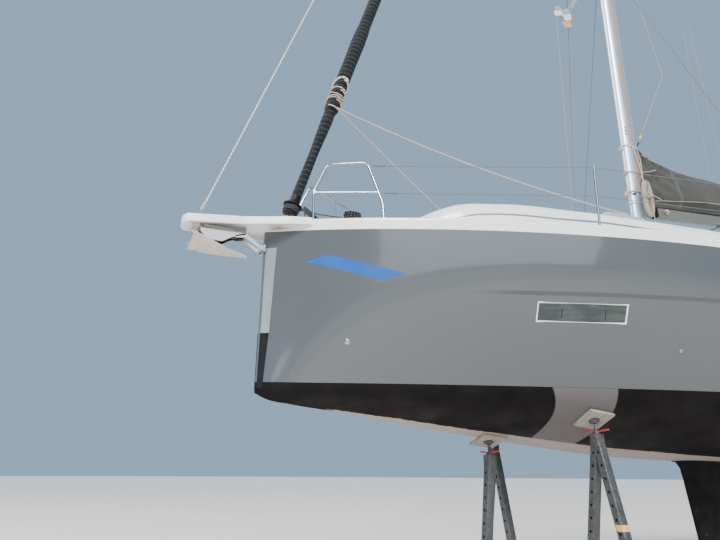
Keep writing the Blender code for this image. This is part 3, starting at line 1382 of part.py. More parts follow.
def bar(name, start, end, half, slot):
    """A square bar between two points."""
    return rod(name, start, end, half * math.sqrt(2), slot, sides=4)


def pad_frame(hull_tree, s, y):
    """A plane that just clears the hull's bottom at s and y: its centre and outward normal."""
    origin = at(s, y, KEEL_FOOT_H + 0.6)
    hit, normal, _, _ = hull_tree.ray_cast(origin, Vector((0, 0, 1)))
    normal = normal if normal.z < 0 else -normal
    across = Vector((1, 0, 0)).cross(normal).normalized()
    along = normal.cross(across).normalized()
    nearest = 10.0
    for a in np.linspace(-0.5, 0.5, 7):
        for b in np.linspace(-0.5, 0.5, 7):
            start = hit + along * a * PAD_SIZE + across * b * PAD_SIZE + normal * 0.5
            found = hull_tree.ray_cast(start, -normal)
            if found[0]:
                nearest = min(nearest, found[3])
    return hit + normal * (0.5 - nearest + 0.0004), normal, along, across


def upright(name, top, foot, half, slot):
    """A square bar whose ends are level and whose sides face along X and Y."""
    rings = []
    for point in (top, foot):
        rings.append([point + Vector((dx * half, dy * half, 0)) for dx,
                      dy in ((1, 1), (-1, 1), (-1, -1), (1, -1))])
    return loft(name, rings, slot, smooth=False)


def make_prop(name, hull_tree, s, y, feet, beams):
    """A screw head under a plywood pad, and legs to steel beams on the floor.

    feet gives each leg's lean in X and Y for a metre down; beams are the beams' boxes in X and Y
    about the head, as low and high corners.
    """
    centre, normal, along, across = pad_frame(hull_tree, s, y)
    frame = Matrix((across, along, normal)).transposed().to_4x4()
    frame.translation = centre
    pad = box(f"{name}_pad", (-PAD_SIZE / 2, -PAD_SIZE / 2, 0), (PAD_SIZE / 2, PAD_SIZE / 2, PAD_THICK),
              "timber")
    pad.data.transform(frame)
    under = centre + normal * (PAD_THICK + SEAM)
    disc = rod(name, under, under + normal * 0.020, 0.055, "galvanised")
    neck = under + normal * NECK_LENGTH
    head = neck - Vector((0, 0, HEAD_DROP))
    join(disc,
         rod(f"{name}_neck", under + normal * 0.014, neck + normal * 0.008, SCREW_R * 1.2, "galvanised"),
         rod(f"{name}_screw", neck, head - Vector((0, 0, 0.10)), SCREW_R, "galvanised"))
    sleeve_foot = head - Vector((0, 0, SLEEVE_LENGTH))
    join(disc, upright(f"{name}_sleeve", head, sleeve_foot, POST_HALF + 0.008, "galvanised"))
    for i, (lean_x, lean_y) in enumerate(feet):
        top = head - Vector((0, 0, 0.02 + 0.004 * i))
        drop = top.z - BEAM_HIGH / 2
        foot = top + Vector((lean_x * drop, lean_y * drop, -drop))
        join(disc, upright(f"{name}_leg_{i}", top, foot, POST_HALF - 0.001 * i, "galvanised"))
    for i, ((x0, y0), (x1, y1)) in enumerate(beams):
        reach = head.z * Vector((x0, y0)), head.z * Vector((x1, y1))
        low = Vector((head.x + reach[0].x - BEAM_HALF, head.y + reach[0].y - BEAM_HALF, 0))
        high = Vector((head.x + reach[1].x + BEAM_HALF, head.y + reach[1].y + BEAM_HALF,
                       BEAM_HIGH + 0.001 * i))
        join(disc, box(f"{name}_beam_{i}", low, high, "galvanised"))


def tree_of(body):
    """The body's surface as it stands, for seating pieces on it."""
    graph = bpy.context.evaluated_depsgraph_get()
    graph.update()
    bm = bmesh.new()
    bm.from_mesh(body.evaluated_get(graph).to_mesh())
    tree = BVHTree.FromBMesh(bm)
    bm.free()
    return tree


def make_props(hull):
    tree = tree_of(hull)
    lean, spread = LEG_LEAN, 0.24
    side_feet = ((0, lean), (0, -lean))
    side_beams = [((0, -lean), (0, lean)), ((-spread, lean), (spread, lean)),
                  ((-spread, -lean), (spread, -lean))]
    for word, s, pad_half in PROPS:
        for side, side_word in ((1, "port"), (-1, "starboard")):
            make_prop(f"prop_{word}_{side_word}", tree, s, side * pad_half, side_feet, side_beams)
    lean = BOW_POST_LEAN
    make_prop("prop_bow", tree, BOW_POST_S, 0.0, ((lean, 0),),
              [((lean, -spread), (lean, spread)), ((lean - 0.15, 0), (lean + 0.15, 0))])


clear_scene()
PARTS = collection("yacht_ashore")
HELPERS = collection("helpers")

hull_body = make_hull()
deck_body = make_deck()
DECK_TREE = tree_of(deck_body)
make_hull_windows()
make_roof_windows()
make_sprit()
make_bow_bracket()
make_anchor()
make_locker_lid(deck_body)
for hatch_name, hatch_s in HATCHES:
    make_hatch(hatch_name, deck_body, hatch_s)
make_slide(deck_body)
make_doors(deck_body)
make_platform(hull_body)
make_winches(deck_body)
make_windlass(deck_body)
join(deck_body, box_at("mast_step", (MAST_S - 0.19, MAST_S + 0.19), (-0.13, 0.13),
                       (MAST_FOOT_H - MAST_STEP_THICK, MAST_FOOT_H - SEAM),
                       "moulding_white"))
make_keel()
make_keel_block()
make_rudder()
make_saildrive()
make_propeller()
mast_body = make_mast()
make_forestay()
make_furler()
make_shrouds()
make_backstays()
make_boom(mast_body)
make_vang(mast_body)
make_bag()
make_pulpit()
make_guardrails()
make_pushpit()
make_helms()
make_table()
make_props(hull_body)
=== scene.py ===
"""Looks of a sailing yacht laid up ashore on its keel, a bow post and four props.

Metres, +X towards the bow, +Y to port, +Z up. Most places are given as at(s, y, h): s metres aft
of the stem, y to port, h above the top edge of the antifouling paint, as in the part's source.
"""
import math
import random

import bmesh
import bpy
import numpy as np
from mathutils import Matrix, Vector, noise


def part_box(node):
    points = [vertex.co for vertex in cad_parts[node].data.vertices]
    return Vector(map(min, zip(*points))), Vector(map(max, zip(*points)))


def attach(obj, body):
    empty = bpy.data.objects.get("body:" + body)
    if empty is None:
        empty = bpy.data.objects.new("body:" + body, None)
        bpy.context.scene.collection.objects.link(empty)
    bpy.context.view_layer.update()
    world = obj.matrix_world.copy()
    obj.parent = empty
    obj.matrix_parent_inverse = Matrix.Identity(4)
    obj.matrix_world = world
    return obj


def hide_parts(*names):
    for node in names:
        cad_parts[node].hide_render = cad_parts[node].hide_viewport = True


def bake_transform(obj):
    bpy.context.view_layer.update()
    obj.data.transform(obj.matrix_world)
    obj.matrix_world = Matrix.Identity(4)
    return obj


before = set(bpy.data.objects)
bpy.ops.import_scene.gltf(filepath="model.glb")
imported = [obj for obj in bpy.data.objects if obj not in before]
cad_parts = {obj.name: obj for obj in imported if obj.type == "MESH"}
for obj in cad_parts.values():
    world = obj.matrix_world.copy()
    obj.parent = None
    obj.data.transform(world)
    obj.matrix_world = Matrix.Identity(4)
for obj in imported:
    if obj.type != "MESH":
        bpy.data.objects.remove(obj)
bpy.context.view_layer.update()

# Sizes shared with the solids
STEM_X = 6.45
WATER_Z = 2.40
HULL_LENGTH = 13.50
GUNWALE = 0.125
# Columns: s, half beam at the deck, half beam at the paint line, height of the deck edge,
# height of the bottom, deadrise in degrees, roundness of the side
SECTIONS = (
    (0.00, 0.030, 0.028, 1.650, -0.100, 40.0, 1.3),
    (0.10, 0.105, 0.078, 1.645, -0.145, 38.0, 1.4),
    (0.36, 0.300, 0.172, 1.633, -0.187, 36.0, 1.5),
    (0.80, 0.590, 0.345, 1.612, -0.234, 30.0, 1.6),
    (1.40, 0.925, 0.565, 1.588, -0.308, 25.0, 1.8),
    (2.10, 1.255, 0.800, 1.564, -0.395, 20.0, 1.9),
    (2.90, 1.555, 1.045, 1.541, -0.480, 16.0, 2.0),
    (4.00, 1.870, 1.345, 1.512, -0.583, 12.0, 2.0),
    (5.50, 2.105, 1.650, 1.476, -0.645, 8.0, 2.1),
    (7.00, 2.195, 1.845, 1.443, -0.650, 6.0, 2.3),
    (8.50, 2.200, 1.925, 1.414, -0.575, 5.0, 2.6),
    (10.0, 2.170, 1.925, 1.389, -0.440, 4.0, 3.0),
    (11.5, 2.110, 1.860, 1.368, -0.260, 3.0, 3.2),
    (12.7, 2.050, 1.790, 1.356, -0.105, 2.0, 3.2),
    (13.5, 2.000, 1.740, 1.350, -0.020, 1.0, 3.2),
)
STEP_H = 0.86
STEP_DEPTH = 0.030
STEP_HEIGHT = 0.030
STEP_START = 1.75
STEP_RAMP = 0.55
STEP_ROWS_END = 0.89
BOTTOM_ROWS = 22
# Coachroof. Columns: s, half width at its foot and at its shoulder, heights of shoulder and middle
ROOF = (
    (1.42, 0.30, 0.22, 1.640, 1.690),
    (1.62, 0.50, 0.42, 1.815, 1.885),
    (1.90, 0.71, 0.60, 1.950, 2.032),
    (2.40, 0.93, 0.80, 2.002, 2.092),
    (3.20, 1.15, 1.00, 2.003, 2.096),
    (4.20, 1.30, 1.13, 2.018, 2.110),
    (5.50, 1.40, 1.22, 2.055, 2.148),
    (7.00, 1.43, 1.25, 2.075, 2.160),
    (8.74, 1.43, 1.24, 2.080, 2.160),
)
ROOF_START = 1.36
TOE_RAIL_WIDTH = 0.045
TOE_RAIL_HEIGHT = 0.030
DECK_CAMBER = 0.055
COCKPIT_S = 8.72
BENCH_END_S = 11.20
HELM_END_S = 12.80
COAMING_HALF = 1.56
SEATBACK_HALF = 1.26
WELL_HALF = 0.60
HELM_HALF = 1.42
SOLE_H = 0.62
SEAT_H = 1.06
COAMING_H = 1.66
WALKWAY_HALF = 0.62
COMPANION_HALF = 0.34
COMPANION_S = 7.95
COMPANION_SILL_H = 1.20
WINDOW_S = (2.42, 3.28)
WINDOW_H = (0.585, 0.765)
MAST_S = 5.49
MAST_LENGTH = 17.75
MAST_RAKE = math.tan(math.radians(1.4))
FORESTAY = (0.215, 1.66)
DRUM_UP = 0.13  # the drum's foot, along the stay from its tack
CHAINPLATE_S, CHAINPLATE_HALF = 6.08, 1.989
BACKSTAY_S, BACKSTAY_HALF = 13.33, 1.55
LOCKER_S, LOCKER_HALF = (0.56, 1.12), (0.27, 0.42)
WINDLASS_S = 1.27
SHEET_BLOCK_S = 8.32
WHEEL_S, WHEEL_H, WHEEL_RADIUS = 11.955, 1.42, 0.42
HELM_Y = HELM_HALF - 0.50
DOOR_FOOT_H = 1.206
KEEL_ROOT_H, KEEL_FOOT_H, BULB_FOOT_H = -0.600, -2.15, -2.25
RUDDER_STOCK_S = 12.35
SHAFT_H = -0.93
PLATFORM_HINGE = (13.53, 0.36)
PLATFORM_HINGE_HALF = 0.85
SKIN_OVER = 0.0016  # how far a deck panel stands over the moulding

# What repeats on both sides, and the ways of the frame
SIDES = ((1, "port"), (-1, "starboard"))
FORWARD, AFT = Vector((1, 0, 0)), Vector((-1, 0, 0))
TO_PORT, UP = Vector((0, 1, 0)), Vector((0, 0, 1))

# The photograph's camera: its place, its turns in degrees and its lens
CAMERA_AT = (STEM_X + 1.352, 5.494, WATER_Z - 0.792)
CAMERA_YAW, CAMERA_PITCH, CAMERA_ROLL = 23.861, 19.034, 0.341
CAMERA_LENS = 29.21
SENSOR_WIDTH = 36.0
CAMERA_REACH = 400.0

# Marks and holes on the topsides, as (s, h)
BOW_BAR = ((0.36, 1.17), (0.55, 1.235), (1.22, 1.02), (1.03, 0.955))
BOW_DRAIN = (0.765, 0.378)
HULL_DRAINS = ((3.9, 0.36), (8.1, 0.30), (11.9, 0.34), (12.1, 0.34))

# Light: the studio's own and its lamps. Columns: name, kind, place, what it looks at, size in
# metres or as an angle, power, colour
STUDIO_COLOUR, STUDIO_STRENGTH = (0.43, 0.63, 0.86, 1), 0.74
LAMPS = (
    ("key_sun", "SUN", (13, 22, 24), (0, 0, 4), 0.30, 4.2, (1, 1, 1)),
    ("bow_softbox", "AREA", (22, -8, 26), (0, 0, 4), 14, 7000, (1, 1, 1)),
    ("port_softbox", "AREA", (9, 26, 15), (0, 0, 3), 24, 4400, (0.94, 0.98, 1)),
)
FLOOR_RADII = (0.0001, 4, 12, 30, 80, 180)
FLOOR_UNDER = 0.0005


# Places and forms

def at(s, y, h):
    return Vector((STEM_X - s, y, WATER_Z + h))


class Table:
    """A table read at any s, by cubic interpolation through its rows."""

    def __init__(self, rows):
        self.rows = np.array(rows)
        self.places = self.rows[:, 0]
        self.slopes = np.gradient(self.rows, self.places, axis=0)

    def __call__(self, s):
        i = int(np.clip(np.searchsorted(self.places, s) - 1, 0, len(self.places) - 2))
        span = self.places[i + 1] - self.places[i]
        t = min(max((s - self.places[i]) / span, 0.0), 1.0)
        a, c = 2 * t ** 3 - 3 * t ** 2 + 1, -2 * t ** 3 + 3 * t ** 2
        b, d = t ** 3 - 2 * t ** 2 + t, t ** 3 - t ** 2
        row = a * self.rows[i] + b * span * self.slopes[i] + c * self.rows[i
            + 1] + d * span * self.slopes[i + 1]
        return [float(v) for v in row]


section_at = Table(SECTIONS)
roof_at = Table(ROOF)


def clamp(value, low=0.0, high=1.0):
    return min(max(value, low), high)


def ease(value):
    value = clamp(value)
    return value * value * (3 - 2 * value)


def circle(count):
    """Angles, evenly spaced round a full turn."""
    return np.linspace(0, 2 * math.pi, count + 1)[:-1]


def edge_height(s):
    return section_at(s)[3]


def deck_half(s):
    return section_at(s)[1]


def side_half(s, h, row=None):
    """Half beam of the topsides at height h, at or above the paint line."""
    _, deck, line, top, _, _, power = row or section_at(s)
    share = clamp(h / top)
    half = line + (deck - line) * (1 - (1 - share) ** power)
    depth = STEP_DEPTH * ease((s - STEP_START) / STEP_RAMP)
    return half - depth * clamp((STEP_H - h) / STEP_HEIGHT) * clamp(h / STEP_H)


def bottom_curve(s, count):
    """Points (y, h) of the bottom from the middle to the paint line."""
    _, deck, line, top, low, deadrise, power = section_at(s)
    slope = (deck - line) * power / top
    start, end = Vector((0.0, low)), Vector((side_half(s, 0.0), 0.0))
    reach = 0.50 * line
    first = start + reach * Vector((1.0, min(math.tan(math.radians(deadrise)), -0.8 * low / reach)))
    second = end + 0.55 * low * Vector((slope, 1.0))
    points = []
    for i in range(count + 1):
        t = i / count
        points.append((1 - t) ** 3 * start + 3 * t * (1 - t) ** 2 * first + 3 * t * t * (1 - t) * second
            + t ** 3 * end)
    return points


def hull_point(s, h, side=1, off=0.0):
    """A point on the topsides, or off metres outside them."""
    y = side_half(s, h)
    along = Vector((-0.02, side_half(s + 0.02, h) - y, 0))
    up = Vector((0, side_half(s, h + 0.02) - y, 0.02))
    normal = up.cross(along).normalized()
    normal = normal if normal.y > 0 else -normal
    p = at(s, y, h) + normal * off
    return Vector((p.x, side * p.y, p.z))


def deck_floor(s, y):
    """Height of the deck's walking surface."""
    half = deck_half(s)
    inner = half - min(TOE_RAIL_WIDTH, 0.4 * half)
    return edge_height(s) - TOE_RAIL_HEIGHT + DECK_CAMBER * inner / 2.2 * (1
        - (clamp(abs(y) / inner)) ** 2)


def roof_top(s, y):
    """Height of the coachroof's top at s and y, inside its shoulders."""
    _, _, shoulder, side_h, mid_h = roof_at(s)
    return side_h + (mid_h - side_h) * (1 - clamp(abs(y) / shoulder) ** 2)


def mast_s(h):
    return MAST_S + MAST_RAKE * (h - MAST_FOOT_H)


MAST_FOOT_H = roof_top(MAST_S, 0) + 0.005
MAST_TOP_H = MAST_FOOT_H + MAST_LENGTH
STAY_FOOT = at(FORESTAY[0], 0, FORESTAY[1])
STAY_TOP = at(mast_s(MAST_TOP_H - 0.42) - 0.14, 0, MAST_TOP_H - 0.42)
STAY_WAY = (STAY_TOP - STAY_FOOT).normalized()
STAY_OVER = STAY_WAY.cross(TO_PORT).normalized()


def hang(start, end, sag, steps=16):
    """A line from start to end that sags in the middle."""
    start, end = Vector(start), Vector(end)
    return [start.lerp(end, i / steps) - Vector((0, 0, 4 * sag * i / steps * (1 - i / steps)))
        for i in range(steps + 1)]


class Shape:
    """Faces gathered into one mesh, each with a material number and a place in the UV map."""

    def __init__(self):
        self.points, self.faces, self.marks, self.uvs = [], [], [], []

    def grid(self, rows, mark=0, ring=False, loop=False, caps=False, lengths=None):
        """A skin through rows of points. ring closes each row, loop joins the last row to the first."""
        base, count, total = len(self.points), len(rows[0]), len(rows)
        for row in rows:
            self.points.extend(tuple(p) for p in row)
        lengths = lengths or list(range(total + 1))
        for r in range(total if loop else total - 1):
            near, far = base + r * count, base + (r + 1) % total * count
            for c in range(count if ring else count - 1):
                d = (c + 1) % count
                self.faces.append((near + c, near + d, far + d, far + c))
                self.marks.append(mark(r, c) if callable(mark) else mark)
                u, w = c / count, (c + 1) / count
                v, x = lengths[r], lengths[min(r + 1, len(lengths) - 1)]
                self.uvs += [(u, v), (w, v), (w, x), (u, x)]
        if caps:
            for start in (base, base + (total - 1) * count):
                self.face([self.points[start + c] for c in range(count)], mark(0, 0) if callable(mark)
                    else mark)
        return self

    def face(self, points, mark=0):
        base = len(self.points)
        self.points.extend(tuple(p) for p in points)
        self.faces.append(tuple(range(base, base + len(points))))
        self.marks.append(mark)
        self.uvs += [(0, 0)] * len(points)
        return self

    def tube(self, path, radius, sides=8, mark=0, closed=False, squash=1.0):
        """A round bar along a path; radius may be a list, one for each point."""
        path = [Vector(p) for p in path]
        count = len(path)
        rows, lengths, side, run = [], [0.0], None, 0.0
        for i, point in enumerate(path):
            before = path[i - 1] if i or closed else path[0]
            after = path[(i + 1) % count] if i < count - 1 or closed else path[-1]
            way = (after - before).normalized()
            side = (way.orthogonal() if side is None else side - way * side.dot(way)).normalized()
            up = way.cross(side)
            r = radius[i] if isinstance(radius, (list, tuple)) else radius
            rows.append([point + side * (r * math.cos(a)) + up * (r * squash * math.sin(a))
                for a in circle(sides)])
            if i:
                run += (point - path[i - 1]).length
                lengths.append(run)
        if closed:
            lengths.append(run + (path[0] - path[-1]).length)
        return self.grid(rows, mark, ring=True, loop=closed, caps=not closed, lengths=lengths)

    def rod(self, start, end, radius, sides=12, mark=0, end_radius=None):
        return self.tube([start, end], [radius, radius if end_radius is None else end_radius], sides,
            mark)

    def box(self, low, high, mark=0, turn=None, soft=0.0):
        """A box between two corners, with its edges bevelled by soft."""
        low, high = Vector(low), Vector(high)
        bm = bmesh.new()
        bmesh.ops.create_cube(bm, size=1.0)
        size = Vector([abs(b - a) for a, b in zip(low, high)])
        bmesh.ops.scale(bm, vec=size, verts=bm.verts)
        if soft:
            bmesh.ops.bevel(bm, geom=bm.edges[:], offset=min(soft, 0.45 * min(size)), segments=2,
                affect="EDGES")
        bmesh.ops.translate(bm, vec=(low + high) / 2, verts=bm.verts)
        if turn is not None:
            bmesh.ops.transform(bm, matrix=turn, verts=bm.verts)
        base = len(self.points)
        self.points.extend(tuple(v.co) for v in bm.verts)
        for face in bm.faces:
            self.faces.append(tuple(base + v.index for v in face.verts))
            self.marks.append(mark)
            self.uvs += [(0, 0)] * len(face.verts)
        bm.free()
        return self

    def turned(self, start, way, profile, sides=24, mark=0, closed=False):
        """A form turned about an axis; profile holds (radius, distance along)."""
        turn = Vector(way).to_track_quat("Z", "Y").to_matrix()
        rows = []
        for r, d in profile:
            rows.append([Vector(start) + turn @ Vector((r * math.cos(a), r * math.sin(a), d))
                for a in circle(sides)])
        return self.grid(rows, mark, ring=True, loop=closed, caps=not closed)

    def mirror(self):
        """Adds the same faces on the other side of the centreline."""
        base, faces = len(self.points), list(self.faces)
        self.points += [(x, -y, z) for x, y, z in self.points]
        place = 0
        for face, mark in zip(faces, list(self.marks)):
            self.faces.append(tuple(base + i for i in reversed(face)))
            self.marks.append(mark)
            self.uvs += list(reversed(self.uvs[place:place + len(face)]))
            place += len(face)
        return self

    def done(self, name, paints, slot, body="yacht", replaces=(), angle=38, weld=0.00005):
        mesh = bpy.data.meshes.new(name)
        mesh.from_pydata(self.points, [], self.faces)
        mesh.uv_layers.new(name="UVMap")
        mesh.uv_layers[0].data.foreach_set("uv", [v for uv in self.uvs for v in uv])
        mesh.polygons.foreach_set("material_index", self.marks)
        bm = bmesh.new()
        bm.from_mesh(mesh)
        bmesh.ops.remove_doubles(bm, verts=bm.verts, dist=weld)
        bmesh.ops.recalc_face_normals(bm, faces=bm.faces)
        bm.to_mesh(mesh)
        bm.free()
        return dress(name, mesh, paints, body, replaces, angle)


def dress(name, mesh, paints, body="yacht", replaces=(), angle=38):
    """Makes a mesh a finished piece on a body, or on none for a piece that runs between two.

    paints holds the names of its paints in the order of the material numbers, with spaces between.
    """
    for paint in paints.split():
        mesh.materials.append(PAINTS[paint])
    mesh.shade_smooth()
    mesh.set_sharp_from_angle(angle=math.radians(angle))
    obj = bpy.data.objects.new(name, mesh)
    bpy.context.scene.collection.objects.link(obj)
    if body:
        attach(obj, body)
    if replaces:
        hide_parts(*replaces)
    return obj


# Materials

class Paint:
    """A Principled material, built up from object-space patterns."""

    def __init__(self, name, colour, rough=0.5, metal=0.0, **constants):
        self.material = bpy.data.materials.new(name)
        self.material.use_nodes = True
        self.tree = self.material.node_tree
        self.shader = self.tree.nodes["Principled BSDF"]
        self.colour = None
        self.base = colour
        self.normal = None
        self.shader.inputs["Base Color"].default_value = (*colour, 1)
        self.shader.inputs["Roughness"].default_value = rough
        self.shader.inputs["Metallic"].default_value = metal
        for key, value in constants.items():
            self.shader.inputs[key.replace("_", " ")].default_value = value
        self.place = self.node("ShaderNodeTexCoord").outputs["Object"]

    def node(self, kind, inputs=None, **settings):
        made = self.tree.nodes.new(kind)
        for key, value in settings.items():
            setattr(made, key, value)
        for key, value in (inputs or {}).items():
            if isinstance(value, bpy.types.NodeSocket):
                self.tree.links.new(value, made.inputs[key])
            else:
                made.inputs[key].default_value = value
        return made

    def math(self, operation, a, b=0.0, clamped=False):
        return self.node("ShaderNodeMath", {0: a, 1: b}, operation=operation, use_clamp=clamped).outputs[
            0]

    def noise(self, scale, detail=4.0, stretch=(1, 1, 1), rough=0.55):
        where = self.node("ShaderNodeMapping", {"Vector": self.place, "Scale": stretch}).outputs[0]
        return self.node("ShaderNodeTexNoise", {"Vector": where, "Scale": scale, "Detail": detail,
            "Roughness": rough}).outputs["Fac"]

    def ramp(self, value, low, high, out=(0.0, 1.0)):
        return self.node("ShaderNodeMapRange", {"Value": value, "From Min": low, "From Max": high,
            "To Min": out[0], "To Max": out[1]}).outputs[0]

    def tint(self, colour, mask):
        """Lays a colour over the base where the mask is 1."""
        under = self.colour if self.colour is not None else (*self.base, 1)
        made = self.node("ShaderNodeMix", {0: mask, 6: under, 7: (*colour, 1)}, data_type="RGBA")
        self.colour = made.outputs[2]
        self.tree.links.new(self.colour, self.shader.inputs["Base Color"])
        return self

    def vary(self, scale, share, stretch=(1, 1, 1)):
        """Lightens and darkens the colour in soft clouds."""
        for sign, low, high in ((1 + share, 0.5, 0.75), (1 - share, 0.5, 0.25)):
            mask = self.ramp(self.noise(scale, stretch=stretch), low, high)
            self.tint([min(1.0, c * sign) for c in self.base], mask)
        return self

    def rough(self, scale, low, high, stretch=(1, 1, 1)):
        value = self.ramp(self.noise(scale, stretch=stretch), 0.3, 0.7, (low, high))
        self.tree.links.new(value, self.shader.inputs["Roughness"])
        return self

    def bump(self, height, distance, strength=1.0):
        inputs = {"Height": height, "Distance": distance, "Strength": strength}
        if self.normal is not None:
            inputs["Normal"] = self.normal
        self.normal = self.node("ShaderNodeBump", inputs).outputs[0]
        self.tree.links.new(self.normal, self.shader.inputs["Normal"])
        return self

    def split(self):
        """The place's X, Y and Z."""
        return self.node("ShaderNodeSeparateXYZ", {0: self.place}).outputs

    def waves(self, axis, spacing, sharp=0.0):
        """0 to 1 and back along an axis, once in each spacing."""
        value = self.math("MULTIPLY", self.split()[axis], 2 * math.pi / spacing)
        wave = self.math("SINE", value)
        return self.ramp(wave, -1.0 + sharp, 1.0 - sharp)


def rope_paint(name, colour, groove_colour, pitch=0.03, strands=3):
    """Laid or braided rope: slanting strands from the UV map, with a second colour in the grooves between
    them; where that colour is darker than the rope, it is painted shade.
    """
    paint = Paint(name, colour, 0.85)
    u, v, _ = paint.node("ShaderNodeSeparateXYZ", {0: paint.node("ShaderNodeUVMap").outputs[0]}).outputs
    turn = paint.math("ADD", paint.math("MULTIPLY", u, 2 * math.pi * strands),
        paint.math("MULTIPLY", v, 2 * math.pi / pitch))
    wave = paint.math("SINE", turn)
    # The groove colour goes where the bump is lowest, between the strands: painted shade wherever it is
    # darker than the rope, as on all but the black rope.
    paint.tint(groove_colour, paint.ramp(wave, -0.2, -0.9))
    return paint.bump(wave, 0.002, 0.8).material


def topside_paint():
    topside = Paint("topside_grey", (0.082, 0.090, 0.094), 0.16, Coat_Weight=0.6, Coat_Roughness=0.05)
    topside.vary(0.7, 0.05).rough(1.2, 0.13, 0.22)
    topside.bump(topside.noise(2.2, 2.0), 0.004, 0.25)
    return topside.material


def bottom_paint():
    bottom = Paint("antifouling", (0.006, 0.005, 0.005), 0.7, Specular_IOR_Level=0.12)
    bottom.vary(3.0, 0.6).rough(2.5, 0.5, 0.8)
    x, y, z = bottom.split()
    s = bottom.math("SUBTRACT", STEM_X, x)
    depth = bottom.math("SUBTRACT", WATER_Z, z)
    ragged = bottom.math("MULTIPLY", bottom.math("SUBTRACT", bottom.noise(9.0, 5.0), 0.5), 0.10)
    scuffs = bottom.ramp(bottom.noise(14.0, 6.0, (1, 1, 3)), 0.66, 0.72, (0.0, 0.35))
    bottom.tint((0.05, 0.05, 0.05), scuffs)
    grey = (0.135, 0.125, 0.122)
    front = bottom.math("ADD", bottom.math("MULTIPLY", depth, 0.75), 2.70)
    back = bottom.math("ADD", bottom.math("MULTIPLY", depth, 0.45), 3.37)
    patch = bottom.math("MULTIPLY", bottom.ramp(bottom.math("SUBTRACT", s, front), 0.0, 0.012),
        bottom.ramp(bottom.math("SUBTRACT", back, s), 0.0, 0.012))
    bottom.tint(grey, bottom.math("MULTIPLY", patch, bottom.ramp(depth, 0.0, 0.004)))
    width = bottom.math("MINIMUM", bottom.math("ADD", bottom.math("MULTIPLY", s, 0.085), -0.040), 0.36)
    inside = bottom.math("SUBTRACT", bottom.math("ADD", width, bottom.math("MULTIPLY", ragged, 0.5)),
        bottom.math("ABSOLUTE", y))
    strip = bottom.math("MULTIPLY", bottom.ramp(inside, 0.0, 0.012), bottom.ramp(s, 7.35, 7.30))
    strip = bottom.math("MULTIPLY", strip, bottom.ramp(s, 0.70, 0.80))
    bottom.tint((0.38, 0.31, 0.28), strip)
    bottom.bump(bottom.noise(60.0, 4.0), 0.003, 0.35)
    return bottom.material


def white_paint():
    white = Paint("moulding_gelcoat", (0.90, 0.885, 0.86), 0.28, Coat_Weight=0.3, Coat_Roughness=0.08)
    white.vary(1.5, 0.03).rough(3.0, 0.22, 0.36)
    white.tint((0.55, 0.50, 0.44), white.ramp(white.noise(6.0, 6.0, (1, 1, 2.5)), 0.70, 0.90, (0, 0.35)))
    edge = white.node("ShaderNodeBevel", {"Radius": 0.006}, samples=4)
    white.normal = edge.outputs[0]
    white.bump(white.noise(18.0, 2.0), 0.001, 0.3)
    return white.material


def skid_paint():
    skid = Paint("deck_nonskid", (0.66, 0.66, 0.64), 0.7)
    skid.vary(2.5, 0.06)
    dots = skid.node("ShaderNodeTexVoronoi", {"Vector": skid.place, "Scale": 260.0}).outputs["Distance"]
    skid.bump(skid.ramp(dots, 0.2, 0.6), 0.0012, 0.8)
    return skid.material


def steel_paint():
    steel = Paint("polished_stainless", (0.44, 0.43, 0.42), 0.14, 1.0)
    steel.rough(25.0, 0.09, 0.24).tint((0.55, 0.50, 0.46), steel.ramp(steel.noise(30.0, 5.0), 0.68, 0.85,
        (0, 0.5)))
    steel.bump(steel.noise(120.0, 2.0), 0.0004, 0.2)
    return steel.material


def alloy_paint():
    mast = Paint("anodised_alloy", (0.58, 0.64, 0.69), 0.45, 0.6)
    mast.vary(2.0, 0.10, (1, 1, 0.15)).rough(9.0, 0.27, 0.42, (1, 1, 0.2))
    mast.tint((0.45, 0.45, 0.44), mast.ramp(mast.noise(40.0, 5.0, (1, 1, 0.08)), 0.62, 0.78, (0, 0.6)))
    mast.bump(mast.noise(70.0, 3.0, (1, 1, 0.05)), 0.0006, 0.3)
    return mast.material


def zinc_paint():
    zinc = Paint("galvanised_steel", (0.085, 0.085, 0.082), 0.5, 0.6)
    spangle = zinc.node("ShaderNodeTexVoronoi", {"Vector": zinc.place, "Scale": 45.0}).outputs["Color"]
    shade = zinc.node("ShaderNodeSeparateXYZ", {0: spangle}).outputs[0]
    zinc.tint((0.13, 0.14, 0.14), zinc.ramp(shade, 0.3, 1.0, (0, 0.7)))
    zinc.tint((0.060, 0.050, 0.042), zinc.ramp(zinc.noise(5.0, 6.0), 0.58, 0.75, (0, 0.7)))
    zinc.rough(30.0, 0.35, 0.62).bump(zinc.noise(90.0, 3.0), 0.001, 0.3)
    return zinc.material


def anchor_paint():
    # The base colour's warm, pinkish tone is painted reflection of orange surroundings, not the steel's
    # own colour.
    anchor = Paint("anchor_steel", (0.62, 0.55, 0.51), 0.42, 0.35)
    anchor.vary(12.0, 0.12).rough(20.0, 0.32, 0.55)
    anchor.tint((0.34, 0.24, 0.19), anchor.ramp(anchor.noise(22.0, 6.0), 0.60, 0.75, (0, 0.8)))
    anchor.bump(anchor.noise(60.0, 4.0), 0.0015, 0.4)
    return anchor.material


def iron_paint():
    iron = Paint("iron_with_antifouling", (0.007, 0.007, 0.007), 0.7, Specular_IOR_Level=0.12)
    iron.vary(6.0, 0.5).tint((0.16, 0.055, 0.025), iron.ramp(iron.noise(16.0, 7.0), 0.66, 0.74,
        (0, 0.85)))
    iron.rough(8.0, 0.55, 0.85).bump(iron.noise(35.0, 6.0), 0.004, 0.5)
    return iron.material


def sail_paint():
    sail = Paint("sail_cloth_black", (0.011, 0.013, 0.013), 0.8, Sheen_Weight=0.04,
        Specular_IOR_Level=0.15)
    sail.vary(9.0, 0.45).bump(sail.noise(26.0, 4.0), 0.006, 0.5)
    weave = sail.math("ADD", sail.waves(2, 0.0016), sail.waves(0, 0.0016))
    return sail.bump(weave, 0.0003, 0.4).material


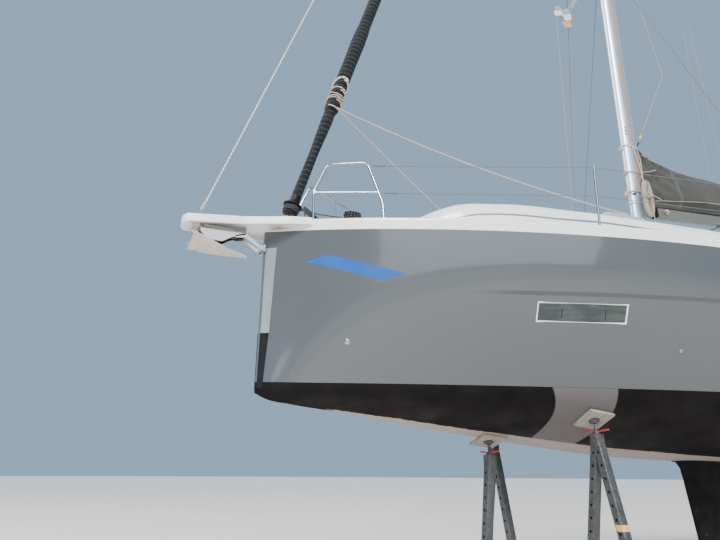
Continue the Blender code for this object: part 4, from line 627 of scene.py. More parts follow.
def seam_paint():
    seam = Paint("sail_seam_thread", (0.11, 0.11, 0.105), 0.8)
    return seam.vary(60.0, 0.3).bump(seam.noise(300.0), 0.0005, 0.6).material


def olive_paint():
    olive = Paint("acrylic_canvas_olive", (0.045, 0.044, 0.035), 0.9, Sheen_Weight=0.1)
    # The lighter olive patches laid in soft noise are painted highlights.
    olive.vary(3.5, 0.20).tint((0.11, 0.108, 0.090), olive.ramp(olive.noise(7.0, 5.0), 0.62, 0.85,
        (0, 0.6)))
    olive.bump(olive.noise(14.0, 5.0), 0.010, 0.5)
    weave = olive.math("ADD", olive.waves(0, 0.0020), olive.waves(2, 0.0020))
    return olive.bump(weave, 0.0004, 0.5).material


def glass_paint():
    glass = Paint("window_glass", (0.018, 0.026, 0.026), 0.04, Coat_Weight=0.5, Coat_Roughness=0.02)
    glass.tint((0.05, 0.065, 0.06), glass.ramp(glass.noise(3.5, 2.0, (1, 1, 4)), 0.45, 0.65, (0, 0.8)))
    return glass.rough(4.0, 0.03, 0.09).material


def black_paint():
    black = Paint("black_moulding", (0.007, 0.007, 0.008), 0.6, Specular_IOR_Level=0.15)
    return black.vary(20.0, 0.4).rough(15.0, 0.36, 0.6).bump(black.noise(150.0), 0.0006, 0.4).material


def guard_paint():
    guard = Paint("stem_tape_silver", (0.23, 0.27, 0.29), 0.34, 0.15)
    return guard.vary(5.0, 0.10, (1, 1, 0.3)).rough(10.0, 0.26, 0.45).bump(guard.noise(30.0, 3.0), 0.0012,
        0.4).material


def blue_paint():
    blue = Paint("vinyl_blue", (0.0, 0.085, 0.36), 0.45)
    return blue.vary(2.0, 0.06).rough(8.0, 0.30, 0.42).bump(blue.noise(12.0, 2.0), 0.0008, 0.3).material


def teak_paint():
    teak = Paint("teak_decking", (0.36, 0.235, 0.135), 0.72)
    teak.vary(5.0, 0.20, (0.4, 8, 1))
    grain = teak.noise(40.0, 6.0, (0.15, 6.0, 1.0))
    teak.tint((0.22, 0.13, 0.07), teak.ramp(grain, 0.52, 0.70, (0, 0.7)))
    seams = teak.ramp(teak.math("ABSOLUTE",
        teak.math("SUBTRACT", teak.math("FRACT", teak.math("MULTIPLY", teak.split()[1], 1 / 0.055)),
        0.5)), 0.455, 0.47)
    return teak.tint((0.012, 0.012, 0.012), seams).bump(teak.math("SUBTRACT", grain, seams), 0.0015,
        0.6).material


def ply_paint():
    ply = Paint("weathered_plywood", (0.34, 0.29, 0.255), 0.85)
    ply.vary(8.0, 0.25, (6, 1, 1)).tint((0.14, 0.11, 0.09), ply.ramp(ply.noise(30.0, 6.0, (8, 1, 1)),
        0.56, 0.72, (0, 0.75)))
    return ply.bump(ply.noise(45.0, 6.0, (6, 1, 1)), 0.0025, 0.6).material


def beam_paint():
    beam = Paint("rough_timber", (0.30, 0.215, 0.14), 0.88)
    beam.vary(4.0, 0.25, (0.3, 4, 4)).tint((0.13, 0.085, 0.055),
        beam.ramp(beam.noise(22.0, 7.0, (0.25, 6, 6)), 0.50, 0.72, (0, 0.8)))
    return beam.bump(beam.noise(30.0, 7.0, (0.2, 5, 5)), 0.006, 0.7).material


def bronze_paint():
    bronze = Paint("propeller_bronze", (0.42, 0.27, 0.13), 0.38, 0.9)
    return bronze.vary(14.0, 0.25).tint((0.10, 0.16, 0.12), bronze.ramp(bronze.noise(30.0, 6.0), 0.62,
        0.8, (0, 0.6))).rough(20.0, 0.3, 0.55).bump(bronze.noise(60.0, 4.0), 0.0012, 0.4).material


def drive_paint():
    drive = Paint("drive_leg_grey", (0.20, 0.21, 0.22), 0.45)
    return drive.vary(8.0, 0.2).rough(12.0, 0.35, 0.6).bump(drive.noise(60.0, 4.0), 0.001, 0.4).material


def red_paint():
    red = Paint("red_enamel", (0.46, 0.025, 0.045), 0.45)
    return red.vary(40.0, 0.3).rough(30.0, 0.35, 0.6).bump(red.noise(90.0), 0.0008, 0.4).material


def tape_paint():
    tape = Paint("orange_tape", (0.85, 0.42, 0.16), 0.5)
    return tape.vary(30.0, 0.15).bump(tape.noise(60.0), 0.0006, 0.4).material


def hide_paint():
    hide = Paint("wheel_leather", (0.035, 0.033, 0.031), 0.6)
    grain = hide.node("ShaderNodeTexVoronoi", {"Vector": hide.place, "Scale": 420.0}).outputs["Distance"]
    return hide.vary(30.0, 0.3).bump(grain, 0.0006, 0.7).material


def floor_paint():
    floor = Paint("pale_floor", (0.80, 0.72, 0.655), 0.8)
    return floor.vary(0.25, 0.03).bump(floor.noise(9.0, 5.0), 0.004, 0.2).material


def boom_paint():
    boom = Paint("boom_alloy", (0.24, 0.235, 0.20), 0.40, 0.6)
    boom.vary(2.0, 0.12, (0.3, 1, 1)).rough(9.0, 0.28, 0.45)
    return boom.bump(boom.noise(70.0, 3.0, (0.1, 1, 1)), 0.0005, 0.3).material


def webbing_paint():
    webbing = Paint("bag_webbing", (0.085, 0.085, 0.072), 0.85)
    ribs = webbing.math("ADD", webbing.waves(2, 0.003), webbing.waves(0, 0.003))
    return webbing.vary(20.0, 0.2).bump(ribs, 0.0005, 0.5).material


def cover_paint():
    cover = Paint("cover_grey_blue", (0.30, 0.36, 0.42), 0.8, Sheen_Weight=0.3)
    weave = cover.math("ADD", cover.waves(0, 0.0022), cover.waves(1, 0.0022))
    return cover.vary(5.0, 0.15).bump(cover.noise(12.0, 4.0), 0.006, 0.4).bump(weave, 0.0004,
        0.5).material


def groove_shade_paint():
    # Grey for the band on the coachroof's sides: painted shade in the groove under its lip.
    groove = Paint("groove_painted_shade", (0.20, 0.19, 0.17), 0.55)
    return groove.vary(4.0, 0.15).bump(groove.noise(60.0), 0.0006, 0.3).material


def yellow_paint():
    yellow = Paint("yellow_sleeve", (0.70, 0.52, 0.05), 0.5)
    return yellow.vary(30.0, 0.2).bump(yellow.noise(200.0), 0.0006, 0.4).material


PLAIN_PAINTS = {
    "topside": topside_paint, "bottom": bottom_paint, "white": white_paint, "skid": skid_paint,
    "steel": steel_paint, "alloy": alloy_paint, "zinc": zinc_paint, "anchor": anchor_paint,
    "iron": iron_paint, "sail": sail_paint, "seam": seam_paint, "olive": olive_paint,
    "glass": glass_paint, "black": black_paint, "guard": guard_paint, "blue": blue_paint,
    "teak": teak_paint, "ply": ply_paint, "beam": beam_paint, "bronze": bronze_paint,
    "drive": drive_paint, "red": red_paint, "tape": tape_paint, "hide": hide_paint,
    "floor": floor_paint, "boom": boom_paint, "webbing": webbing_paint, "cover": cover_paint,
    "groove": groove_shade_paint, "yellow": yellow_paint}
# Ropes and wire. Columns: colour, colour in the grooves between strands (painted shade where darker than
# the rope), lay length, strands
ROPES = {
    "rope_white": ((0.74, 0.71, 0.66), (0.30, 0.28, 0.26), 0.050, 1),
    "rope_cream": ((0.66, 0.50, 0.40), (0.42, 0.28, 0.20), 0.020, 2),
    "rope_beige": ((0.46, 0.40, 0.33), (0.20, 0.16, 0.12), 0.022, 2),
    "rope_black": ((0.008, 0.008, 0.009), (0.13, 0.125, 0.12), 0.030, 2),
    "rope_grey": ((0.42, 0.43, 0.43), (0.16, 0.17, 0.18), 0.020, 2),
    "wire": ((0.22, 0.23, 0.24), (0.08, 0.08, 0.085), 0.030, 6)}
FLAGS = {"flag_teal": (0.20, 0.42, 0.46), "flag_white": (0.78, 0.76, 0.72),
    "flag_orange": (0.72, 0.36, 0.16)}


def flag_paint(name, colour):
    flag = Paint(name, colour, 0.8, Sheen_Weight=0.2)
    weave = flag.math("ADD", flag.waves(0, 0.002), flag.waves(2, 0.002))
    return flag.vary(15.0, 0.12).bump(weave, 0.0004, 0.5).material


def make_paints():
    paints = {name: make() for name, make in PLAIN_PAINTS.items()}
    paints.update({name: rope_paint(name, *row) for name, row in ROPES.items()})
    paints.update({name: flag_paint(name, colour) for name, colour in FLAGS.items()})
    return paints


# Camera and light

def make_camera():
    yaw, pitch, roll = (math.radians(v) for v in (CAMERA_YAW, CAMERA_PITCH, CAMERA_ROLL))
    level = Vector((-math.sin(yaw), -math.cos(yaw), 0))
    across = Vector((-math.cos(yaw), math.sin(yaw), 0))
    look = level * math.cos(pitch) + UP * math.sin(pitch)
    over = -level * math.sin(pitch) + UP * math.cos(pitch)
    right = across * math.cos(roll) + over * math.sin(roll)
    over = -across * math.sin(roll) + over * math.cos(roll)
    camera = bpy.data.objects.new("photo_camera", bpy.data.cameras.new("photo_camera"))
    camera.matrix_world = Matrix.Translation(CAMERA_AT) @ Matrix(
        (right, over, -look)).transposed().to_4x4()
    camera.data.sensor_width = SENSOR_WIDTH
    camera.data.lens = CAMERA_LENS
    camera.data.clip_end = CAMERA_REACH
    bpy.context.scene.collection.objects.link(camera)
    bpy.context.scene.camera = camera


def make_light():
    world = bpy.data.worlds.new("studio")
    world.use_nodes = True
    background = world.node_tree.nodes["Background"]
    background.inputs["Color"].default_value = STUDIO_COLOUR
    background.inputs["Strength"].default_value = STUDIO_STRENGTH
    bpy.context.scene.world = world
    for name, kind, spot, aim, size, power, colour in LAMPS:
        light = bpy.data.lights.new(name, kind)
        light.color = colour
        if kind == "SUN":
            light.angle = size
        else:
            light.size = size
        light.energy = power
        lamp = bpy.data.objects.new(name, light)
        lamp.location = spot
        lamp.rotation_euler = (Vector(aim) - Vector(spot)).to_track_quat("-Z", "Y").to_euler()
        bpy.context.scene.collection.objects.link(lamp)


def make_floor():
    rows = []
    for radius in FLOOR_RADII:
        rows.append([(radius * math.cos(a), radius * math.sin(a), -FLOOR_UNDER) for a in circle(48)])
    floor = Shape().grid(rows, ring=True)
    mesh = bpy.data.meshes.new("floor")
    mesh.from_pydata(floor.points, [], [f[::-1] for f in floor.faces])
    mesh.materials.append(PAINTS["floor"])
    obj = bpy.data.objects.new("floor", mesh)
    bpy.context.scene.collection.objects.link(obj)


# Hull

def span(start, end, step):
    return [float(v) for v in np.linspace(start, end, max(2, int(round((end - start) / step)) + 1))]


def make_hull():
    stations = sorted({*span(0, 0.4, 0.02), *span(0.4, WINDOW_S[0], 0.08), *span(*WINDOW_S, 0.08),
        *span(WINDOW_S[1], HULL_LENGTH, 0.10)})
    step_foot = STEP_H - STEP_HEIGHT
    low_rows = [*span(0, WINDOW_H[0], 0.045), *span(*WINDOW_H, 0.045)[1:], 0.80,
        *(step_foot + dh for dh in (-0.004, -0.0001, 0.002, 0.010, 0.020)),
        *(STEP_H + dh for dh in (-0.002, 0.0001, 0.004)), STEP_ROWS_END]
    shell = Shape()

    def side_row(s):
        row = section_at(s)
        top = row[3] - GUNWALE
        heights = low_rows + [STEP_ROWS_END + (top - STEP_ROWS_END) * k / 12 for k in range(1, 13)]
        return [at(s, side_half(s, h, row), h) for h in heights]

    def in_window(r, c):
        s = (stations[r] + stations[r + 1]) / 2
        h = (low_rows[c] + low_rows[c + 1]) / 2 if c + 1 < len(low_rows) else 9
        return WINDOW_S[0] < s < WINDOW_S[1] and WINDOW_H[0] < h < WINDOW_H[1]

    shell.grid([side_row(s) for s in stations], lambda r, c: 9 if in_window(r, c) else 0)
    keep = [i for i, mark in enumerate(shell.marks) if mark != 9]
    shell.faces = [shell.faces[i] for i in keep]
    shell.uvs = [uv for i in keep for uv in shell.uvs[4 * i:4 * i + 4]]
    shell.marks = [0] * len(keep)
    shell.grid([[at(s, p.x, p.y) for p in bottom_curve(s, BOTTOM_ROWS)] for s in stations], 1)
    shell.mirror()
    nose = side_row(0.0)
    shell.grid([nose, [(p.x + 0.004, 0, p.z) for p in nose], [(p.x, -p.y, p.z) for p in nose]], 0)
    for s in (0.0, HULL_LENGTH):
        ring = [at(s, p.x, p.y) for p in bottom_curve(s, BOTTOM_ROWS)]
        shell.face(ring + [Vector((p.x, -p.y, p.z)) for p in ring[::-1]], 1)
    top = edge_height(HULL_LENGTH) - GUNWALE
    side = side_row(HULL_LENGTH)
    notch = [at(HULL_LENGTH, y, h) for y, h in ((WALKWAY_HALF, top), (WALKWAY_HALF, SOLE_H + 0.06),
        (-WALKWAY_HALF, SOLE_H + 0.06), (-WALKWAY_HALF, top))]
    shell.face(side + notch + [Vector((p.x, -p.y, p.z)) for p in side[::-1]], 0)
    shell.done("hull_shell", "topside bottom", "hull_grey", replaces=("hull",))


def rounded(width, height, radius, count=5):
    """A rectangle with round corners, about 0, as (x, y)."""
    points = []
    for k, (cx, cy) in enumerate(((1, 1), (-1, 1), (-1, -1), (1, -1))):
        for i in range(count + 1):
            a = math.radians(90 * (k + i / count))
            points.append((cx * (width / 2 - radius) + radius * math.cos(a), cy * (height / 2 - radius)
                + radius * math.sin(a)))
    return points


def ring_on(place, z, width, height, radius, count=5):
    """A rectangle with round corners, at height z over a place."""
    return [place @ Vector((x, y, z)) for x, y in rounded(width, height, radius, count)]


def make_hull_windows():
    """Frames of the recessed opening windows in the topsides: frame, black gasket, inner pane edge and
    two black bars; the glass is the solid's own window.
    """
    s_mid, h_mid = (sum(WINDOW_S) / 2, sum(WINDOW_H) / 2)
    width, height = WINDOW_S[1] - WINDOW_S[0], WINDOW_H[1] - WINDOW_H[0]

    def loop(inset, off, side, radius):
        return [hull_point(s_mid + x, h_mid + y, side, off)
            for x, y in rounded(width - 2 * inset, height - 2 * inset, radius, 4)]

    for side, word in SIDES:
        frame_rings = [loop(i, o, side, r)
            for i, o, r in ((-0.004, 0.0012, 0.002), (0.003, 0.0030, 0.002), (0.008, -0.002, 0.004),
            (0.012, -0.0130, 0.008))]
        gasket = [loop(i, o, side, r) for i, o, r in ((0.012, -0.0130, 0.008), (0.016, -0.0100, 0.010),
            (0.026, -0.0096, 0.012), (0.030, -0.0120, 0.014))]
        shape = Shape().grid(frame_rings, 0, ring=True).grid(gasket, 1, ring=True)
        for spot in (0.22, -0.2):
            low = hull_point(s_mid + spot, h_mid - 0.055, side, -0.0100)
            high = hull_point(s_mid + spot, h_mid + 0.03, side, -0.0100)
            shape.tube([low, high], 0.006, 6, 1)
        shape.done(f"hull_window_frame_{word}", "white black", "black_plastic")


def make_stem_guard():
    """Silver tape and a black strip over the stem, as protection from the anchor."""
    for name, paint, heights, widths in (("stem_tape", "guard", (0.47, 1.345), (0.085, 0.108)),
            ("stem_strip", "black", (-0.06, 0.468), (0.055, 0.083))):
        rows = []
        for i in range(15):
            share = i / 14
            h = heights[0] + share * (heights[1] - heights[0])
            reach = widths[0] + share * (widths[1] - widths[0])
            row = []
            for k in range(13):
                turn = -1 + k / 6
                s = abs(turn) * reach
                side = 1 if turn >= 0 else -1
                low = max(h, 0.0)
                half = side_half(s, low) - (0.06 * (0.0 - h) if h < 0 else 0)
                if abs(turn) < 0.01:
                    row.append(at(-0.0062, 0, h))
                else:
                    p = hull_point(s, low, side, 0.0022)
                    row.append(Vector((p.x, side * half + side * 0.0022, WATER_Z + h)))
            rows.append(row)
        Shape().grid(rows).done(name, paint, "hull_grey" if paint == "guard" else "black_plastic")


def make_bow_bar():
    """One plain blue parallelogram on each side of the bow."""
    corners = BOW_BAR
    for side, word in SIDES:
        rows = []
        for i in range(13):
            t = i / 12
            row = []
            for k in range(4):
                w = k / 3
                front = [corners[0][j] + t * (corners[3][j] - corners[0][j]) for j in (0, 1)]
                back = [corners[1][j] + t * (corners[2][j] - corners[1][j]) for j in (0, 1)]
                s, h = (front[j] + w * (back[j] - front[j]) for j in (0, 1))
                row.append(hull_point(s, h, side, 0.0012))
            rows.append(row)
        Shape().grid(rows).done(f"bow_bar_{word}", "blue", "hull_grey")


def make_hull_fittings():
    for side, word in SIDES:
        drain = hull_point(*BOW_DRAIN, side)
        out = hull_point(*BOW_DRAIN, side, 0.01) - drain
        shape = Shape().turned(drain, out, ((0.004, -0.002), (0.026, -0.002), (0.026, 0.003),
            (0.020, 0.007), (0.013, 0.007), (0.010, 0.001), (0.0005, 0.001)), 20)
        for s, h in HULL_DRAINS:
            spot = hull_point(s, h, side, 0.0)
            shape.turned(spot, hull_point(s, h, side, 0.01) - spot,
                ((0.020, -0.002), (0.020, 0.004), (0.013, 0.006), (0.010, 0.001), (0.0005, 0.001)), 16)
        shape.done(f"hull_drains_{word}", "steel", "stainless")


# Deck and coachroof

def band(s):
    """Port outline of the deck moulding from the hull joint to the walking surface, as (y, h)."""
    top, half = edge_height(s), deck_half(s)
    low = top - GUNWALE + 0.001
    rail = min(TOE_RAIL_WIDTH, 0.4 * half)
    inner, floor = half - rail, deck_floor(s, 9)
    return [(side_half(s, low), low), (half - 0.001, top - 0.030), (half - 0.0015, top - 0.012),
        (half - 0.006, top - 0.003), (half - 0.013, top), (inner + 0.010, top),
        (inner + 0.003, top - 0.003), (inner, top - 0.010), (inner - 0.004, floor + 0.006),
        (inner - 0.010, floor + 0.0008)]


def bezier_corner(a, b, c, count):
    """A round corner from a to c that bends at b."""
    a, b, c = Vector(a), Vector(b), Vector(c)
    return [(1 - t) ** 2 * a + 2 * t * (1 - t) * b + t * t * c
        for t in (k / count for k in range(count + 1))]


def fore_section(s):
    outline = [Vector(p) for p in band(s)]
    start = outline[-1].x
    row = roof_at(max(s, ROOF[0][0]))
    _, foot, shoulder, side_h, mid_h = row
    rise = ease((s - ROOF_START) / (ROOF[0][0] - ROOF_START))
    if s < ROOF_START:
        foot = min(foot, 0.6 * start)
        shoulder = 0.8 * foot
    flare = min(0.03, 0.4 * (start - foot))
    for k in range(1, 9):
        y = start + (foot + flare - start) * k / 8
        outline.append(Vector((y, deck_floor(s, y))))
    ground = deck_floor(s, foot)
    near = min(0.045, 0.6 * (foot - shoulder))
    side = bezier_corner((foot + flare, deck_floor(s, foot + flare)), (foot, ground),
        (foot - 0.05 * near, ground + 0.04), 4)[1:]
    low, high = Vector((foot - 0.1 * near, edge_height(s) + 0.02)), Vector((shoulder + near,
        side_h - 0.05))
    side += [low.lerp(high, k / 4) for k in range(1, 4)]
    knee = Vector((shoulder + 0.45 * near, side_h + 0.004))
    inner = Vector((0.84 * shoulder, side_h + (mid_h - side_h) * (1 - 0.84 ** 2)))
    side += bezier_corner(low.lerp(high, 0.86), knee, inner, 8)
    for k in range(1, 11):
        y = 0.84 * shoulder * (1 - k / 10)
        side.append(Vector((y, side_h + (mid_h - side_h) * (1 - (y / shoulder) ** 2))))
    for p in side:
        flat = deck_floor(s, p.x)
        outline.append(Vector((p.x, flat + (p.y - flat) * rise)))
    return outline


def aft_section(s):
    outline = [Vector(p) for p in band(s)]
    start = outline[-1].x
    height = float(np.interp(s, (8.55, 9.6, 11.2, 12.3, 13.2, 13.5),
        (COAMING_H - 0.01, COAMING_H, COAMING_H - 0.02, COAMING_H - 0.10, edge_height(13.2) + 0.03,
        edge_height(13.5) + 0.02)))
    outer = min(COAMING_HALF + 0.10, deck_half(s) - 0.2)
    for k in range(1, 6):
        y = start + (outer + 0.03 - start) * k / 5
        outline.append(Vector((y, deck_floor(s, y))))
    outline += bezier_corner((outer + 0.02, deck_floor(s, outer)), (outer, deck_floor(s, outer)),
        (outer - 0.012, deck_floor(s, outer) + 0.03), 3)
    outline += bezier_corner((outer - 0.05, height - 0.05), (outer - 0.07, height),
        (outer - 0.13, height), 5)
    inner = SEATBACK_HALF - 0.06
    outline += [Vector((inner, height)), Vector((inner, deck_floor(s, inner)))]
    outline += [Vector((inner * (1 - k / 6), deck_floor(s, inner * (1 - k / 6)))) for k in range(1, 7)]
    return outline


def closed_loft(shape, stations, outline_of, under_of):
    rings = []
    for s in stations:
        port = under_of(s) + [(p.x, p.y) for p in outline_of(s)]
        ring = [at(s, y, h) for y, h in port]
        rings.append(ring + [Vector((p.x, -p.y, p.z)) for p in ring[-2:0:-1]])
    return shape.grid(rings, ring=True, caps=True)


def cutter(shape):
    mesh = bpy.data.meshes.new("cutter")
    mesh.from_pydata(shape.points, [], shape.faces)
    bm = bmesh.new()
    bm.from_mesh(mesh)
    bmesh.ops.remove_doubles(bm, verts=bm.verts, dist=0.00001)
    bmesh.ops.recalc_face_normals(bm, faces=bm.faces)
    bm.to_mesh(mesh)
    bm.free()
    obj = bpy.data.objects.new("cutter", mesh)
    bpy.context.scene.collection.objects.link(obj)
    return obj


def carve(name, shape, cutters, paints, replaces=()):
    """A closed form with other forms cut out of it."""
    body = cutter(shape)
    tools = [cutter(c) for c in cutters]
    for tool in tools:
        modifier = body.modifiers.new("cut", "BOOLEAN")
        modifier.operation = "DIFFERENCE"
        modifier.object = tool
    mesh = bpy.data.meshes.new_from_object(body.evaluated_get(bpy.context.evaluated_depsgraph_get()))
    for obj in (body, *tools):
        bpy.data.objects.remove(obj)
    mesh.name = name
    mesh.materials.clear()
    return dress(name, mesh, paints, replaces=replaces)


def well(s_span, half, h_span, soft=0.03):
    return Shape().box(at(s_span[1], -half, h_span[0]), at(s_span[0], half, h_span[1]), soft=soft)


HATCHES = (("fore_hatch", 2.55), ("saloon_hatch", 4.25))
HATCH_LENGTH = 0.54
HATCH_HALF = 0.27


def make_deck():
    fore = closed_loft(Shape(),
        sorted({*span(0, 0.3, 0.03), *span(0.3, 1.34, 0.06), *span(1.34, 2.0, 0.03),
        *span(2.0, 8.74, 0.12)}), fore_section, lambda s: [(0, edge_height(s) - GUNWALE + 0.001)])
    sprit_seat = Shape()
    rows = []
    for s, half, top in SPRIT_ROWS:
        s = s + 0.0006 if s == SPRIT_ROWS[-1][0] else s
        rows.append([at(s, y, h) for y, h in ((half + 0.0005, top + 0.5), (-half - 0.0005, top + 0.5),
            (-half - 0.0005, top - 0.0855), (half + 0.0005, top - 0.0855))])
    sprit_seat.grid(rows, ring=True, caps=True)
    locker = Shape().grid(
        [[at(s, y, h) for y, h in ((half, 2.2), (-half, 2.2), (-half, 1.50), (half, 1.50))]
        for s, half in zip(LOCKER_S, LOCKER_HALF)], ring=True, caps=True)
    cuts = [sprit_seat, locker, well((COMPANION_S, 9.0), COMPANION_HALF, (1.0, 3.0), 0),
        well((COCKPIT_S, 9.0), SEATBACK_HALF, (SEAT_H, 3.2), 0)]
    for _, s in HATCHES:
        cuts.append(well((s + 0.02, s + HATCH_LENGTH - 0.02), HATCH_HALF - 0.02, (1.72, 3.0), 0.02))
    carve("deck_moulding_fore", fore, cuts, "white", replaces=("deck",))
    under = SOLE_H - 0.05
    aft = closed_loft(Shape(), span(8.74, HULL_LENGTH - 0.001, 0.10), aft_section,
        lambda s: [(0, under), (HELM_HALF + 0.05, under),
        (HELM_HALF + 0.05, edge_height(s) - GUNWALE + 0.001)])
    wells = [well((8.6, BENCH_END_S + 0.01), WELL_HALF, (SOLE_H, 3.2)),
        well((8.6, BENCH_END_S + 0.01), SEATBACK_HALF, (SEAT_H, 3.2)),
        well((BENCH_END_S, HELM_END_S), HELM_HALF, (SOLE_H, 3.2)),
        well((HELM_END_S - 0.05, HULL_LENGTH + 0.5), WALKWAY_HALF, (SOLE_H + 0.06, 3.2))]
    carve("deck_moulding_aft", aft, wells, "white")
    wall = Shape()
    front, wide = COCKPIT_S - 0.05, SEATBACK_HALF + 0.05
    wall.box(at(COCKPIT_S, -wide, under), at(front, wide, COMPANION_SILL_H), soft=0.002)
    for side in (1, -1):
        wall.box(at(COCKPIT_S, side * COMPANION_HALF, COMPANION_SILL_H - 0.01),
            at(front, side * wide, 1.30), soft=0.002)
    wall.done("cockpit_front_wall", "white", "moulding_white")


# Bow

SPRIT_ROWS = (  # s, half width, height of the top
    (-0.83, 0.085, 1.555), (-0.795, 0.13, 1.555), (-0.25, 0.195, 1.59325), (0.0, 0.26, 1.6128),
    (0.18, 0.3125, 1.628), (0.40, 0.345, 1.640))


def sprit_row(s):
    places = [row[0] for row in SPRIT_ROWS]
    return (float(np.interp(s, places, [row[1] for row in SPRIT_ROWS])),
        float(np.interp(s, places, [row[2] for row in SPRIT_ROWS])))


def make_sprit():
    """The bowsprit: a white moulding, hollow underneath."""
    rows = []
    for s in span(-0.828, 0.398, 0.035):
        half, top = sprit_row(s)
        half -= 0.10 * clamp((-0.80 - s) / 0.028) ** 2 * 0.3
        low = top - 0.085
        hollow = 0.050 * ease((s + 0.76) / 0.10) * ease((0.20 - s) / 0.05)
        rim = 0.024
        port = [(0, low + hollow), (half - rim - 0.012, low + hollow), (half - rim, low + 0.2 * hollow),
            (half - rim + 0.002, low), (half - 0.004, low), (half, low + 0.006), (half, top - 0.012),
            (half - 0.004, top - 0.003), (half - 0.014, top), (half * 0.5, top + 0.001),
            (0, top + 0.0015)]
        ring = [at(s, y, h) for y, h in port]
        rows.append(ring + [Vector((p.x, -p.y, p.z)) for p in ring[-2:0:-1]])
    Shape().grid(rows, ring=True, caps=True).done("bowsprit_moulding", "white", "moulding_white",
        replaces=("bowsprit",), angle=30)


def rounded_path(points, radius, steps=5):
    """A line through points whose corners are bends."""
    points = [Vector(p) for p in points]
    line = [points[0]]
    for before, corner, after in zip(points, points[1:], points[2:]):
        reach = min(radius, 0.45 * (before - corner).length, 0.45 * (after - corner).length)
        a = corner + (before - corner).normalized() * reach
        c = corner + (after - corner).normalized() * reach
        line += [(1 - t) ** 2 * a + 2 * t * (1 - t) * corner + t * t * c
            for t in (k / steps for k in range(steps + 1))]
    return line + [points[-1]]


def round_off(outline, radius, steps=3):
    """A closed flat outline whose corners are rounded."""
    count = len(outline)
    line = []
    for i in range(count):
        before, corner, after = (Vector(outline[(i + k) % count]) for k in (-1, 0, 1))
        reach = min(radius, 0.4 * (before - corner).length, 0.4 * (after - corner).length)
        a = corner + (before - corner).normalized() * reach
        c = corner + (after - corner).normalized() * reach
        line += [(1 - t) ** 2 * a + 2 * t * (1 - t) * corner + t * t * c
            for t in (k / steps for k in range(steps + 1))]
    return line


def shrink(outline, inset):
    count = len(outline)
    turn = sum(outline[i - 1].x * outline[i].y - outline[i].x * outline[i - 1].y for i in range(count))
    sign = 1 if turn > 0 else -1
    line = []
    for i in range(count):
        first = (outline[i] - outline[i - 1]).normalized()
        second = (outline[(i + 1) % count] - outline[i]).normalized()
        way = (first + second).normalized()
        line.append(outline[i] + Vector((-way.y, way.x)) * inset * sign)
    return line


def plate(shape, outline, thick, place, mark=0, soft=0.002, radius=0.008):
    """A flat outline with thickness and chamfered rims, in the XY plane of a place."""
    outline = round_off(outline, radius)
    rows = []
    for inset, z in ((soft, -thick / 2), (0, -thick / 2 + soft), (0, thick / 2 - soft),
            (soft, thick / 2)):
        rows.append([place @ Vector((p.x, p.y, z)) for p in shrink(outline, inset)])
    return shape.grid(rows, mark, ring=True, caps=True)


def side_frame(y):
    """A frame whose XY plane is upright along the boat at y; x runs forward of the stem."""
    return Matrix.Translation((STEM_X, y, WATER_Z)) @ Matrix.Rotation(math.radians(90), 4, "X")


def bolts(shape, spots, way, radius=0.006, mark=0):
    for spot in spots:
        shape.turned(spot, way, ((radius * 1.5, 0), (radius * 1.5, 0.0012), (radius, 0.0012),
            (radius, 0.005), (radius * 0.8, 0.006)), 6, mark)


# Ground tackle

def sprit_under(s):
    return sprit_row(s)[1] - 0.085


def make_bow_bracket():
    shape = Shape()
    cheek = [(0.665, sprit_under(-0.665) + 0.02), (0.20, sprit_under(-0.20) + 0.02), (0.20, 1.445),
        (0.335, 1.405), (0.44, 1.337), (0.56, 1.347), (0.645, 1.405)]
    strut = [(0.30, 1.405), (0.315, 1.43), (0.20, 1.465), (0.055, 1.365), (0.018, 1.365), (0.018, 1.310),
        (0.035, 1.310), (0.21, 1.420)]
    for y in (0.060, -0.060):
        plate(shape, [Vector(p) for p in cheek], 0.008, side_frame(y), radius=0.02)
        plate(shape, [Vector(p) for p in strut], 0.008, side_frame(y), radius=0.012)
        out = math.copysign(0.004, y)
        bolts(shape, [at(-x, y + out, h) for x, h in ((0.47, 1.385), (0.60, 1.43), (0.23, 1.47),
            (0.028, 1.345), (0.028, 1.322))], (0, out, 0))
    shape.rod(at(-0.030, -0.066, 1.332), at(-0.030, 0.066, 1.332), 0.014, 16)
    shape.rod(at(-0.20, -0.058, 1.455), at(-0.20, 0.058, 1.455), 0.008)
    shape.box(at(-0.34, -0.085, sprit_under(-0.5) - 0.012), at(-0.62, 0.085, sprit_under(-0.5) - 0.004),
        soft=0.002)
    shape.box(at(0.002, -0.07, 1.30), at(-0.018, 0.07, 1.372), soft=0.003)
    shape.done("anchor_cheeks", "steel", "stainless", replaces=("bow_bracket",))
    roller = Shape().turned(at(-0.47, -0.054, 1.385), TO_PORT, ((0.010, 0), (0.030, 0.0), (0.030, 0.018),
        (0.017, 0.046), (0.015, 0.054), (0.017, 0.062), (0.030, 0.090), (0.030, 0.108), (0.010, 0.108)),
        24)
    roller.done("anchor_roller", "black", "black_plastic")


# The anchor's share at four places: half width, height of its ridge and of its edge
SHARE_S = (-0.745, -0.585, -0.385, -0.165)
SHARE_HALF = (0.163, 0.138, 0.074, 0.010)
SHARE_RIDGE = (1.227, 1.210, 1.212, 1.223)
SHARE_EDGE = (1.352, 1.326, 1.268, 1.236)


